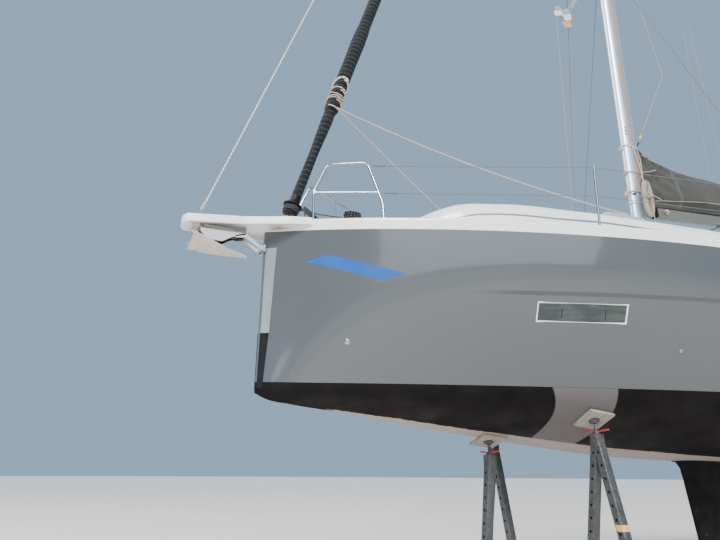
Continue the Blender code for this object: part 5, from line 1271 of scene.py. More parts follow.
def make_anchor():
    """A plough anchor hung in the roller: a curved share, its web, the shank and a shackle."""
    shape = Shape()
    over, under = [], []
    for s in (-0.745, -0.70, -0.64, -0.56, -0.47, -0.38, -0.30, -0.22, -0.168):
        wing, ridge, edge = (float(np.interp(s, SHARE_S, column)) for column in (SHARE_HALF, SHARE_RIDGE,
            SHARE_EDGE))
        high, low = [], []
        for k in range(-8, 9):
            t = abs(k) / 8
            h = ridge + (edge - ridge) * (0.35 * t + 0.65 * t * t)
            high.append(at(s + 0.03 * t * t * (s < -0.6), wing * k / 8, h + 0.009))
            low.append(at(s + 0.03 * t * t * (s < -0.6), wing * k / 8, h))
        over.append(high)
        under.append(low)
    shape.grid(over).grid(under)
    shape.grid([[row[0] for row in over], [row[0] for row in under]])
    shape.grid([[row[-1] for row in over], [row[-1] for row in under]])
    shape.grid([over[0], under[0]]).grid([over[-1], under[-1]])
    for y in (0.150, -0.150):
        shape.tube([at(-0.742, y * 1.06, 1.357), at(-0.66, y * 0.99, 1.340), at(-0.58, y * 0.92, 1.330)],
            0.006, 6)
    shape.done("anchor_share", "anchor", "galvanised", replaces=("anchor",), angle=50)
    shank = Shape()
    low = 1.385 + 0.030 + 0.001
    plate(shank, [Vector(p) for p in ((0.640, 1.215), (0.660, 1.300), (0.560, 1.440), (0.300, 1.446),
        (0.300, low), (0.490, low), (0.555, 1.350), (0.500, 1.218))], 0.020, side_frame(0), radius=0.03,
        soft=0.003)
    plate(shank, [Vector(p) for p in ((0.70, 1.222), (0.42, 1.215), (0.44, 1.250), (0.60, 1.290),
        (0.69, 1.300))], 0.030, side_frame(0), radius=0.02, soft=0.003)
    shank.tube([at(-0.315 + 0.018 * math.cos(a), 0.024 * math.sin(a), 1.431) for a in circle(16)], 0.005,
        8, closed=True)
    bolts(shank, [at(-0.60, 0.016, 1.262)], (0, 1, 0), 0.010)
    shank.done("anchor_shank", "zinc", "galvanised")


PADEYE_S = -0.65


def make_sprit_gear():
    """Padeye and shackle for the halyard that is set up on the bowsprit's tip, and deck plates."""
    eye = Shape()
    top = sprit_row(PADEYE_S)[1]
    eye.box(at(-0.61, -0.030, top - 0.001), at(-0.69, 0.030, top + 0.007), soft=0.002)
    eye.tube([at(-0.65 - 0.020 * math.cos(a), 0, top + 0.004 + 0.034 * math.sin(a))
        for a in np.linspace(0, math.pi, 13)], 0.005)
    eye.tube([at(-0.648, 0.013 * math.cos(a), top + 0.058 + 0.028 * math.sin(a)) for a in circle(18)],
        0.005, closed=True)
    eye.turned(at(-0.648, 0, top + 0.083), (0.02, 0, 0.05), ((0.008, 0), (0.012, 0.008), (0.012, 0.028),
        (0.007, 0.04)), 14)
    for s in (-0.30, -0.12):
        spot = at(s, 0, sprit_row(s)[1] + 0.001)
        eye.turned(spot, UP, ((0.030, 0), (0.030, 0.003), (0.022, 0.005), (0.003, 0.005)), 20)
    eye.done("sprit_padeye", "steel", "stainless")


def make_bow_halyard():
    """A halyard set up taut from the masthead to the padeye on the bowsprit."""
    top = sprit_row(PADEYE_S)[1]
    rope = Shape()
    start = at(-0.644, 0, top + 0.115)
    end = at(mast_s(MAST_TOP_H - 0.06) - 0.145, 0.0, MAST_TOP_H - 0.06)
    line = hang(start, end, 0.0, 60)
    rope.tube(line, 0.0085, 8)
    for i in range(5):
        spot = start.lerp(end, 0.0007 * i + 0.0002)
        rope.tube([spot + Vector((0.013 * math.cos(a), 0.013 * math.sin(a), 0.0)) for a in circle(12)],
            0.005, 6, closed=True)
    rope.done("bow_halyard", "rope_white", "sail_black")


# Headsail and its furler

def stay(d):
    return STAY_FOOT + STAY_WAY * d


def about_stay(d, a, reach):
    """A point at reach from the stay, d metres up it; angle 0 is to port."""
    return stay(d) + (TO_PORT * math.cos(a) + STAY_OVER * math.sin(a)) * reach


# The furled sail's radius at distances up the stay
GIRTH_AT = (0.25, 0.30, 0.42, 0.98, 1.20, 1.45, 1.56, 1.63, 2.40, 2.72, 2.90, 3.05, 5.3, 10.2, 16.5, 16.9)
GIRTH = (0.050, 0.054, 0.055, 0.052, 0.060, 0.068, 0.066, 0.084, 0.084, 0.090, 0.086, 0.076, 0.078, 0.069,
    0.038, 0.024)
WRAP_PITCH = 0.066
SAIL_FOOT, SAIL_SHORT_OF_HEAD = 0.2505, 1.31


def sail_radius(d):
    return float(np.interp(d, GIRTH_AT, GIRTH))


def make_furled_sail():
    """Cloth wound about the stay: a skin whose wraps overlap in a screw, and a thread along each wrap."""
    length = (STAY_TOP - STAY_FOOT).length - SAIL_SHORT_OF_HEAD
    pitch, top = WRAP_PITCH, SAIL_FOOT
    turns = (length - top) / pitch
    around = 28
    rows, ridge = [], []
    for i in range(int(turns * 10) + 1):
        d = top + (length - top) * i / int(turns * 10)
        row = []
        for k in range(around):
            a = 2 * math.pi * k / around
            wrap = ((d / pitch - a / (2 * math.pi)) % 1.0)
            lift = 0.955 + 0.045 * (1 - wrap) ** 0.5 if d > 0.5 else 0.97
            pucker = 1 + 0.022 * noise.noise(Vector((3 * math.cos(a), 3 * math.sin(a), d * 9)))
            spot = about_stay(d, a, sail_radius(d) * lift * pucker)
            row.append(spot)
        rows.append(row)
    skin = Shape().grid(rows, ring=True, caps=True)
    skin.done("furled_sail_cloth", "sail", "sail_black", "furler", ("furled_headsail",), angle=50)
    for i in range(int(turns * 16)):
        d = top + 0.12 + pitch * i / 16
        if d > length - 0.3:
            break
        a = 2 * math.pi * i / 16
        ridge.append(about_stay(d, a, sail_radius(d) + 0.0002))
    Shape().tube(ridge, 0.0019, 4).done("furled_sail_seam", "seam", "sail_black", "furler")


def turns_about(shape, d0, d1, count, radius, grow=0.003, lean=0.0, mark=0, steps=20):
    """A line wound about the furled sail."""
    path = []
    for i in range(int(count * steps) + 1):
        a = 2 * math.pi * i / steps
        d = d0 + (d1 - d0) * i / (count * steps) + lean * math.cos(a)
        path.append(about_stay(d, a, sail_radius(d) + grow))
    return shape.tube(path, radius, 6, mark)


def knot(shape, spot, size, radius, seed, mark=0):
    """A small rope knot: a few turned loops about a spot."""
    rng = random.Random(seed)
    spot = Vector(spot)
    for _ in range(4):
        tilt = Matrix.Rotation(rng.uniform(0, 3.14), 3, "X")
        tilt = tilt @ Matrix.Rotation(rng.uniform(0, 3.14), 3, "Y")
        loop = [Vector((size * math.cos(a), size * 0.7 * math.sin(a), 0.2 * size * math.sin(3 * a)))
            for a in circle(16)]
        shape.tube([spot + tilt @ p for p in loop], radius, 6, mark, closed=True)
    return shape


def make_lashings():
    white, cream = Shape(), Shape()
    for rope, d0, d1, count, radius, grow, lean in (
            (cream, 1.70, 1.76, 2.1, 0.007, 0.007, 0.02), (cream, 1.80, 1.84, 1.2, 0.007, 0.007, -0.03),
            (white, 1.86, 1.90, 1.3, 0.007, 0.007, 0.02), (white, 1.97, 2.00, 1.1, 0.012, 0.005, 0.075)):
        turns_about(rope, d0, d1, count, radius, grow, lean)
    side = (TO_PORT * 0.75 - STAY_OVER * 0.66).normalized()
    for rope, d, off, size, radius, seed in (
            (cream, 1.84, 0.016, 0.026, 0.007, 3), (cream, 1.72, 0.014, 0.020, 0.006, 8),
            (white, 1.90, 0.012, 0.024, 0.006, 5)):
        knot(rope, stay(d) - side * (sail_radius(d) + off), size, radius, seed)
    cream.done("clew_lashing", "rope_cream", "sail_black", "furler")
    white.done("sail_ties", "rope_white", "sail_black", "furler")
    reach = sail_radius(1.61) + 0.018
    for word, side, sag, leave in (("port", 1, 0.11, -20), ("starboard", -1, 0.03, 20)):
        end = at(3.95, side * 1.12, roof_top(3.95, 1.12) + 0.012)
        wrap = [about_stay(1.61, a, reach) for a in np.radians(np.linspace(-41, leave, 9))]
        sheet = Shape().tube(wrap[:-1] + hang(wrap[-1], end, sag, 30), 0.0070, 8)
        sheet.done(f"headsail_sheet_{word}", "rope_cream", "sail_black")


def make_drum():
    """Furling drum, the screwed rim on it and the skirt above it."""
    drum = Shape()
    drum.turned(stay(DRUM_UP), STAY_WAY, ((0.006, 0), (0.050, 0.0), (0.074, 0.003), (0.080, 0.006),
        (0.081, 0.011), (0.080, 0.016), (0.074, 0.019), (0.050, 0.025), (0.048, 0.034), (0.048, 0.084),
        (0.050, 0.092), (0.098, 0.099), (0.1045, 0.103), (0.105, 0.108), (0.1045, 0.112), (0.096, 0.115),
        (0.070, 0.118), (0.050, 0.1195), (0.006, 0.1195)), 40)
    drum.done("furler_spool", "black", "black_plastic", "furler", ("furler_drum",))
    rim = Shape()
    rim.turned(stay(DRUM_UP + 0.1160), STAY_WAY, ((0.060, 0.0), (0.083, 0.0), (0.083, 0.0035),
        (0.060, 0.0035)), 40, closed=True)
    for k in range(6):
        a = math.pi * k / 3 + 0.3
        spot = about_stay(DRUM_UP + 0.1185, a, 0.077)
        rim.turned(spot, STAY_WAY, ((0.006, 0), (0.006, 0.004), (0.003, 0.005)), 6)
    rim.done("furler_rims", "steel", "stainless", "furler")
    skirt = Shape().turned(stay(DRUM_UP + 0.1196), STAY_WAY, ((0.070, 0), (0.068, 0.006), (0.061, 0.03),
        (0.0575, 0.07), (0.0565, 0.11), (0.050, 0.112)), 28)
    skirt.done("furler_skirt", "black", "black_plastic", "furler")


def make_drum_turns():
    """Four layers of the furling line on the drum."""
    coil = Shape()
    path = []
    for i in range(24 * 20 + 1):
        a = 2 * math.pi * i / 24
        layer = i // (24 * 5)
        share = (i % (24 * 5)) / (24 * 5)
        share = share if layer % 2 == 0 else 1 - share
        path.append(about_stay(DRUM_UP + 0.033 + 0.053 * share, a, 0.055 + 0.0095 * layer))
    coil.tube(path, 0.0058, 6)
    coil.done("furling_line_turns", "rope_black", "sail_black", "furler")


def make_forestay_fork():
    """The stay with its foot plate, fork, pin, lower cup and head fitting."""
    fork = Shape()
    for side in (0.030, -0.030):
        base = STAY_FOOT + TO_PORT * side
        fork.box(base + Vector((-0.012, -0.004, -0.025)), base + Vector((0.012, 0.004, 0.075)),
            soft=0.003)
    fork.rod(STAY_FOOT - Vector((0, 0.042, 0)), STAY_FOOT + Vector((0, 0.042, 0)), 0.009, 12)
    fork.turned(stay(0.06), STAY_WAY, ((0.034, 0), (0.040, 0.004), (0.040, 0.024), (0.020, 0.038),
        (0.013, 0.058), (0.006, 0.060)), 20)
    fork.tube([STAY_FOOT, stay(DRUM_UP - 0.03)], 0.013, 12)
    low = sprit_row(FORESTAY[0])[1]
    fork.box((STAY_FOOT.x - 0.055, -0.045, WATER_Z + low - 0.002),
        (STAY_FOOT.x + 0.055, 0.045, WATER_Z + low + 0.008), soft=0.003)
    fork.box((STAY_FOOT.x - 0.030, -0.010, WATER_Z + low),
        (STAY_FOOT.x + 0.030, 0.010, STAY_FOOT.z + 0.018), soft=0.004)
    bolts(fork, [Vector((STAY_FOOT.x + dx, dy, WATER_Z + low + 0.008)) for dx in (-0.042, 0.042)
        for dy in (-0.032, 0.032)], (0, 0, 1))
    fork.tube([stay(0.25), STAY_TOP], 0.0055, 10)
    fork.turned(STAY_TOP - STAY_WAY * 0.30, STAY_WAY, ((0.006, 0), (0.022, 0.01), (0.024, 0.05),
        (0.012, 0.09), (0.010, 0.20), (0.014, 0.22), (0.014, 0.27), (0.006, 0.29)), 16)
    fork.done("forestay_fork", "steel", "stainless", replaces=("forestay",))


def make_furling_lead():
    """The furling line's lead from the drum to its coil."""
    lines = Shape()
    start = stay(DRUM_UP + 0.06) + Vector((-0.09, 0.03, 0))
    end = at(0.66, 0.46, deck_floor(0.66, 0.46) + 0.05)
    lines.tube([start, start.lerp(end, 0.5) - Vector((0, 0, 0.01)), end], 0.006, 8)
    lines.done("furling_line_lead", "rope_black", "sail_black")


# Rails

RAIL_RADIUS = 0.0125
POST_TALL, POST_LEAN = 0.715, 0.03
POST_SPOTS = (3.045, 4.85, 6.85, 8.80, 10.70)
WIRE_SHARES = (0.53, 0.975)  # how far up a post the two wires are
PUSHPIT_S = (12.15, 13.28)
RAIL_FLANGE = ((0.030, 0), (0.030, 0.004), (0.018, 0.006), (0.017, 0.025), (0.0125, 0.027))


def rail_foot(s, inset=0.042):
    y = deck_half(s) - min(TOE_RAIL_WIDTH, 0.4 * deck_half(s)) - inset
    return y, deck_floor(s, y) - 0.001


def on_side(side):
    """Takes a point of the port side to a side."""
    return lambda p: Vector((p[0], side * p[1], p[2]))


def pulpit_heights():
    aft_y, aft_foot = rail_foot(1.05)
    return aft_y, aft_foot, aft_foot + 0.025


def make_pulpit(side, word):
    turn = on_side(side)
    front_y, front_h = rail_foot(0.430, 0.030)
    aft_y, aft_foot, aft_h = pulpit_heights()
    top = aft_h + POST_TALL
    kink = (0.414, front_y + 0.025, front_h + 0.34)
    knee = (1.055, aft_y - 0.025, aft_h + 0.20)
    points = [(0.430, front_y, front_h), kink, (0.565, front_y, top - 0.02), (0.605, front_y + 0.03, top),
        (0.91, aft_y - 0.17, top), (0.95, aft_y - 0.16, top - 0.03), knee, (1.05, aft_y, aft_foot)]
    share = (kink[2] - knee[2]) / (top - 0.03 - knee[2])
    rail = Shape().tube([turn(p) for p in rounded_path([at(*p) for p in points], 0.06)], RAIL_RADIUS, 14)
    rail.tube([turn(at(*kink)), turn(at(*knee).lerp(at(*points[5]), share))], RAIL_RADIUS * 0.8, 12)
    for s, y, h in (points[0], points[-1]):
        rail.turned(turn(at(s, y, h - 0.001)), UP, RAIL_FLANGE, 20)
    for spot in (at(0.955, aft_y - 0.155, top - 0.03), at(1.035, aft_y - 0.055, aft_h + 0.335)):
        rail.turned(turn(spot) + Vector((0.012, 0, 0)), AFT, ((0.008, 0), (0.011, 0.004), (0.011, 0.02),
            (0.006, 0.035), (0.006, 0.055)), 12)
    rail.done(f"pulpit_tube_{word}", "steel", "stainless", replaces=(f"pulpit_{word}",))


def make_guardrail(side, word):
    """Posts with two wires from the pulpit to the pushpit."""
    turn = on_side(side)
    posts, wires = Shape(), Shape()
    rows = ([], [])
    for s in POST_SPOTS:
        y, h = rail_foot(s)
        foot, head = turn(at(s, y, h)), turn(at(s, y + POST_LEAN, h + POST_TALL))
        posts.tube([foot, foot.lerp(head, 0.5), head], [0.0128, 0.0125, 0.0115], 14)
        posts.turned(head, head - foot, ((0.0115, -0.002), (0.0125, 0.0), (0.0115, 0.004),
            (0.005, 0.006)), 14)
        posts.turned(foot, UP, ((0.036, 0.0), (0.036, 0.005), (0.024, 0.009), (0.0185, 0.014),
            (0.0175, 0.055), (0.0128, 0.058)), 20)
        for row, share in zip(rows, WIRE_SHARES):
            posts.turned(foot.lerp(head, share) - Vector((0.016, 0, 0)), FORWARD,
                ((0.006, 0), (0.008, 0.002), (0.008, 0.030), (0.006, 0.032)), 10)
            row.append(foot.lerp(head, share))
    aft_y, _, aft_h = pulpit_heights()
    y, h = rail_foot(PUSHPIT_S[0])
    aft = PUSHPIT_S[0] - RAIL_RADIUS - 0.004
    mids, tops = rows
    for start, row, end in ((at(0.985, aft_y - 0.155, aft_h + 0.685), tops,
            at(aft, y + POST_LEAN, h + POST_TALL - 0.05)), (at(1.065, aft_y - 0.055, aft_h + 0.335), mids,
            at(aft, y + POST_LEAN / 2, h + POST_TALL / 2))):
        wires.tube([turn(start), *row, turn(end)], 0.0031, 8)
        for spot, way in ((turn(start), row[0] - turn(start)), (turn(end), row[-1] - turn(end))):
            wires.turned(spot, way.normalized(), ((0.003, 0.0), (0.007, 0.004), (0.007, 0.03),
                (0.0055, 0.035), (0.0055, 0.10), (0.008, 0.105), (0.008, 0.14), (0.004, 0.15)), 10)
    posts.done(f"stanchions_{word}", "steel", "stainless", replaces=(f"guardrail_{word}",))
    wires.done(f"lifelines_{word}", "wire", "stainless")


def make_pushpit(side, word):
    turn = on_side(side)
    (s0, s1), post_s, end_s, end_y = PUSHPIT_S, 13.24, 13.30, 0.80
    (y0, h0), (y1, h1) = rail_foot(s0), rail_foot(s1)
    top, mid = h0 + POST_TALL, h0 + POST_TALL / 2
    inner_h = deck_floor(end_s, end_y) - 0.001
    push = Shape().tube(
        [turn(p) for p in rounded_path([at(*p) for p in ((s0, y0, h0), (s0, y0 + POST_LEAN, top - 0.04),
        (s0 + 0.06, y0 + POST_LEAN, top), (s1 - 0.08, y1 + 0.02, top), (s1, y1 - 0.05, top),
        (end_s, end_y + 0.08, top), (end_s, end_y, top - 0.06), (end_s, end_y, inner_h))], 0.07)],
        RAIL_RADIUS, 14)
    push.tube([turn(at(post_s, y1, h1)), turn(at(post_s, y1, top))], RAIL_RADIUS, 14)
    middle = [at(s0, y0 + POST_LEAN / 2, mid), at(post_s, y1, mid), at(end_s, end_y, mid)]
    push.tube([turn(p) for p in rounded_path(middle, 0.07)], RAIL_RADIUS * 0.8, 12)
    for s, y, h in ((s0, y0, h0), (post_s, y1, h1), (end_s, end_y, inner_h)):
        push.turned(turn(at(s, y, h)), UP, RAIL_FLANGE, 20)
    push.done(f"pushpit_tube_{word}", "steel", "stainless", replaces=(f"pushpit_{word}",))


def make_rails():
    for side, word in SIDES:
        make_pulpit(side, word)
        make_guardrail(side, word)
        make_pushpit(side, word)


# Mast and standing rigging

MAST_LONG, MAST_WIDE = 0.125, 0.082
SPREADERS = ((5.60, 1.30), (11.10, 0.98))  # height over the mast's foot, half span
SPREADER_SWEEP = math.tan(math.radians(20))
SPREADER_RISE = 0.035
SHROUD_RADIUS, UPPER_RADIUS, BACKSTAY_RADIUS = 0.0058, 0.0045, 0.005


def spreader_tip(level, side=1):
    rise, half = SPREADERS[level]
    h = MAST_FOOT_H + rise
    return mast_s(h) + SPREADER_SWEEP * half, side * half, h + SPREADER_RISE * half


def mast_point(h, a, off=0.0):
    """A point on the mast's wall; angle 0 is aft and 90 degrees to port."""
    size = float(np.interp(h, (MAST_FOOT_H + 0.45 * MAST_LENGTH, MAST_TOP_H), (1.0, 0.86)))
    return at(mast_s(h) + (size * MAST_LONG + off) * math.cos(a), (size * MAST_WIDE + off) * math.sin(a),
        h)


def make_mast():
    tube = Shape()
    angles = [math.radians(v) for v in (0, 1.6, 2.6, 3.4, 5.5, *range(10, 180, 10), 180)]
    angles = angles + [-a for a in angles[-2:0:-1]]
    rows = []
    for h in (MAST_FOOT_H, *np.linspace(MAST_FOOT_H + 0.02, MAST_TOP_H - 0.02, 46), MAST_TOP_H):
        row = []
        for a in angles:
            deep = -0.016 if abs(a) < math.radians(1.8) else (-0.014 if abs(a) < math.radians(2.8)
                else 0.0)
            row.append(mast_point(h, a, deep - (0.004 if h in (MAST_FOOT_H, MAST_TOP_H) else 0)))
        rows.append(row)
    tube.grid(rows, ring=True, caps=True)
    for level in (0, 1):
        for side in (1, -1):
            s, y, h = spreader_tip(level, side)
            foot_h = MAST_FOOT_H + SPREADERS[level][0]
            root, tip = at(mast_s(foot_h) + 0.02, side * 0.03, foot_h), at(s, y - side * 0.008, h)
            rings = []
            for t in np.linspace(0, 1, 7):
                middle, chord, thick = root.lerp(tip, t), 0.080 - 0.030 * t, 0.016 - 0.005 * t
                rings.append(
                    [middle + Vector((chord * math.cos(a), 0,
                    thick * math.sin(a) * (1 + 0.3 * math.cos(a)))) for a in circle(16)])
            tube.grid(rings, ring=True, caps=True)
            bracket = mast_point(foot_h, math.radians(90) * side, -0.004)
            tube.box(bracket - Vector((0.10, 0.012, 0.045)), bracket + Vector((0.10, 0.012, 0.045)),
                soft=0.008)
    tube.box(at(mast_s(MAST_TOP_H) - 0.16, -0.035, MAST_TOP_H - 0.09),
        at(mast_s(MAST_TOP_H) + 0.20, 0.035, MAST_TOP_H + 0.015), soft=0.006)
    for h, half in ((MAST_FOOT_H + 0.77, 0.036), (MAST_FOOT_H + 0.14, 0.036)):
        middle = at(mast_s(h) + MAST_LONG + 0.055, 0, h)
        for way in (1, -1):
            z = way * (half + 0.015)
            tube.box(middle + Vector((-0.020, -0.020, z - 0.009)),
                middle + Vector((0.085, 0.020, z + 0.009)), soft=0.003)
        tube.box(middle + Vector((0.045, -0.035, -0.085)), middle + Vector((0.062, 0.035, 0.085)),
            soft=0.004)
    tube.done("mast_tube", "alloy", "alloy", replaces=("mast",), angle=30)


def make_mast_fittings():
    """The mast's slots, cleats, light and collar, with rings for blocks round its foot."""
    fittings = Shape()
    for h, a, length in ((4.55, 62, 0.20), (4.95, -62, 0.20), (5.45, 58, 0.20), (3.75, -90, 0.16)):
        a = math.radians(a)
        rows = []
        for dh in (-length / 2, length / 2):
            rows.append([mast_point(h + dh, a + w, 0.0008) for w in (-0.09, 0.09)])
        fittings.grid(rows, 1)
        for dh in (-length / 2 - 0.02, length / 2 + 0.02):
            spot = mast_point(h + dh, a, 0.0)
            fittings.turned(spot, spot - at(mast_s(h + dh), 0, h + dh),
                ((0.009, 0), (0.009, 0.002), (0.004, 0.004)), 12)
    for h in (2.45, 3.35):
        for side in (1, -1):
            spot = mast_point(h, side * math.radians(75), 0.004)
            fittings.box(spot - Vector((0.010, 0.006, 0.025)), spot + Vector((0.010, 0.006, 0.025)),
                soft=0.004)
            fittings.tube([spot + Vector((0.004, 0.012 * side, dz)) for dz in (-0.085, -0.03, 0.03,
                0.085)], 0.008, 10)
    fittings.box(at(mast_s(MAST_TOP_H) - 0.13, -0.012, MAST_TOP_H - 0.075),
        at(mast_s(MAST_TOP_H) - 0.168, 0.012, MAST_TOP_H - 0.02), soft=0.003)
    light = mast_point(MAST_FOOT_H + 6.2, math.pi, 0.0)
    fittings.turned(light, FORWARD, ((0.030, -0.01), (0.030, 0.03), (0.022, 0.045), (0.004, 0.05)), 16, 1)
    collar = []
    for up, grow in ((-0.012, 0.060), (0.004, 0.060), (0.010, 0.052), (0.012, 0.012), (0.050, 0.008),
            (0.052, 0.001)):
        collar.append([at(mast_s(MAST_FOOT_H + up) + (MAST_LONG + grow) * math.cos(a),
            (MAST_WIDE + grow) * math.sin(a), MAST_FOOT_H + up) for a in circle(32)])
    fittings.grid(collar, ring=True)
    for k in range(8):
        a = 0.39 + math.pi * k / 4
        spot = at(MAST_S + (MAST_LONG + 0.045) * math.cos(a), (MAST_WIDE + 0.045) * math.sin(a),
            MAST_FOOT_H + 0.006)
        fittings.tube([spot + Vector((0, 0.010 * math.cos(b), 0.010 + 0.012 * math.sin(b)))
            for b in circle(12)], 0.0035, 6, closed=True)
    fittings.done("mast_fittings", "steel black", "stainless")


def turnbuckle(shape, base, way, length=0.34):
    shape.turned(base, way, ((0.004, -0.02), (0.012, -0.018), (0.012, 0.02), (0.0075, 0.03),
        (0.0075, 0.07), (0.0115, 0.075), (0.0115, length - 0.10), (0.0075, length - 0.095),
        (0.0075, length - 0.05), (0.010, length - 0.045), (0.007, length)), 14)


def make_shroud_set(side, word):
    """Shrouds of one side, with their turnbuckles, tangs and the chainplate."""
    turn = on_side(side)
    wires, screws = Shape(), Shape()
    base_h = deck_floor(CHAINPLATE_S, CHAINPLATE_HALF) - 0.002
    first, second = (turn(at(*spreader_tip(level))) for level in (0, 1))
    foot, low_foot = (turn(at(CHAINPLATE_S + ds, CHAINPLATE_HALF, base_h + 0.03)) for ds in (0.03, -0.03))
    head_h, low_h, high_h = MAST_TOP_H - 0.2, MAST_FOOT_H + 5.35, MAST_FOOT_H + 10.85
    head = turn(mast_point(head_h, math.radians(80), 0.002))
    low_head, high_head = (turn(mast_point(h, math.radians(90), 0.004)) for h in (low_h, high_h))
    wires.tube([foot, first, second, head], SHROUD_RADIUS, 8)
    wires.tube([low_foot, low_head], SHROUD_RADIUS, 8)
    wires.tube([first.lerp(second, 0.008), high_head], UPPER_RADIUS, 8)
    for base, aim in ((foot, first), (low_foot, low_head)):
        turnbuckle(screws, base, (aim - base).normalized())
    for aim, base in ((head, second), (low_head, low_foot), (high_head, first)):
        way = (base - aim).normalized()
        screws.turned(aim, way, ((0.004, -0.005), (0.010, 0), (0.010, 0.03), (0.006, 0.04), (0.006, 0.10),
            (0.0045, 0.11)), 12)
    for tip in (first, second):
        screws.turned(tip - Vector((0, 0, 0.03)), UP, ((0.007, 0), (0.012, 0.01), (0.014, 0.03),
            (0.012, 0.05), (0.007, 0.06)), 14)
    screws.box(turn(at(CHAINPLATE_S - 0.06, CHAINPLATE_HALF - 0.012, base_h)),
        turn(at(CHAINPLATE_S + 0.06, CHAINPLATE_HALF + 0.012, base_h + 0.05)), soft=0.006)
    screws.box(turn(at(CHAINPLATE_S - 0.09, CHAINPLATE_HALF - 0.04, base_h - 0.001)),
        turn(at(CHAINPLATE_S + 0.09, CHAINPLATE_HALF + 0.04, base_h + 0.006)), soft=0.004)
    wires.done(f"shroud_wires_{word}", "wire", "stainless", replaces=(f"shrouds_{word}",))
    screws.done(f"shroud_screws_{word}", "steel", "stainless")


def make_backstay(side, word):
    turn = on_side(side)
    base = turn(at(BACKSTAY_S, BACKSTAY_HALF, deck_floor(BACKSTAY_S, BACKSTAY_HALF) - 0.002))
    top = turn(at(mast_s(MAST_TOP_H) + 0.20, 0.022, MAST_TOP_H - 0.03))
    back = Shape().tube([base + Vector((0, 0, 0.03)), top], BACKSTAY_RADIUS, 8)
    back.done(f"backstay_wire_{word}", "wire", "stainless", replaces=(f"backstay_{word}",))
    gear = Shape()
    turnbuckle(gear, base + Vector((0, 0, 0.04)), (top - base).normalized(), 0.36)
    gear.box(base + Vector((-0.030, -0.012, 0)), base + Vector((0.030, 0.012, 0.05)), soft=0.005)
    gear.box(base + Vector((-0.050, -0.035, -0.001)), base + Vector((0.050, 0.035, 0.006)), soft=0.003)
    gear.done(f"backstay_gear_{word}", "steel", "stainless")


def make_standing_rigging():
    for side, word in SIDES:
        make_shroud_set(side, word)
        make_backstay(side, word)


# Props ashore

PROP_SPOTS = ("forward", "aft")
PROP_LEAN, PROP_SPREAD = 0.21, 0.24  # how far the legs and the feet go out, for each metre of height
LEG_HALF = 0.045
HOLE_PITCH, HOLE_RADIUS, FIRST_HOLE = 0.125, 0.0145, 0.10


def pad_frame(name):
    """Frame of a prop's pad, from its solid: the pad's face nearest the hull and its edges."""
    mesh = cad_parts[f"{name}_pad"].data
    corners = sorted({tuple(round(c, 4) for c in v.co) for v in mesh.vertices})
    corners = [Vector(c) for c in corners]
    middle = sum(corners, Vector()) / len(corners)
    faces = sorted(mesh.polygons, key=lambda p: -p.area)
    normal = Vector(faces[0].normal)
    normal = normal if normal.z < 0 else -normal
    across = FORWARD.cross(normal).normalized()
    along = normal.cross(across).normalized()
    turn = Matrix((across, along, normal)).transposed().to_4x4()
    turn.translation = middle
    return turn, normal


def perforated_leg(shape, top, foot, half):
    """A square tube whose ends are level, with a row of round holes in its fore and aft faces."""
    top, foot = Vector(top), Vector(foot)
    corner = 0.010

    def ring(t, inset=0.0):
        middle = top.lerp(foot, t)
        size = 2 * (half - inset)
        return [middle + Vector((x, y, 0)) for x, y in rounded(size, size, corner, 3)]

    def spot(t, side, w):
        return top.lerp(foot, t) + Vector((side * half, w, 0))

    flat = half - corner
    outline = ring(0.0)
    count = len(outline)
    length = (foot - top).length
    shape.grid([outline, ring(0.002, 0.006)], ring=True)
    for i in range(count):
        a, b = ring(0.0)[i] - top, ring(0.0)[(i + 1) % count] - top
        if abs(a.x - b.x) < 1e-6 and abs(a.y - b.y) > corner:
            continue
        shape.face([top + a, top + b, foot + b, foot + a])
    cells = int((length - FIRST_HOLE) / HOLE_PITCH)
    for side in (1, -1):
        t0 = 0.0
        for k in range(cells):
            middle = (FIRST_HOLE + (k + 0.5) * HOLE_PITCH) / length
            t1 = (FIRST_HOLE + (k + 1) * HOLE_PITCH) / length if k < cells - 1 else 1.0
            square, circle, deep = [], [], []
            for j in range(16):
                a = 2 * math.pi * (j + 0.5) / 16
                c, s = math.cos(a), math.sin(a)
                reach = 1 / max(abs(c), abs(s))
                w, v = c * reach * flat, s * reach
                t = t0 + (t1 - t0) * (0.5 + 0.5 * v)
                square.append(spot(t, side, w))
                hole_t = middle + s * HOLE_RADIUS / length
                circle.append(spot(hole_t, side, c * HOLE_RADIUS))
                deep.append(spot(hole_t, side, c * (HOLE_RADIUS - 0.0005)) - Vector((side * 0.005, 0, 0)))
            shape.grid([square, circle, deep], ring=True)
            corners = [spot(t0, side, -flat), spot(t0, side, flat), spot(t1, side, flat),
                spot(t1, side, -flat)]
            for corner_spot in corners:
                nearest = sorted(range(16), key=lambda j: (square[j] - corner_spot).length)[:2]
                shape.face([corner_spot, square[nearest[0]], square[nearest[1]]])
            t0 = t1
    return shape


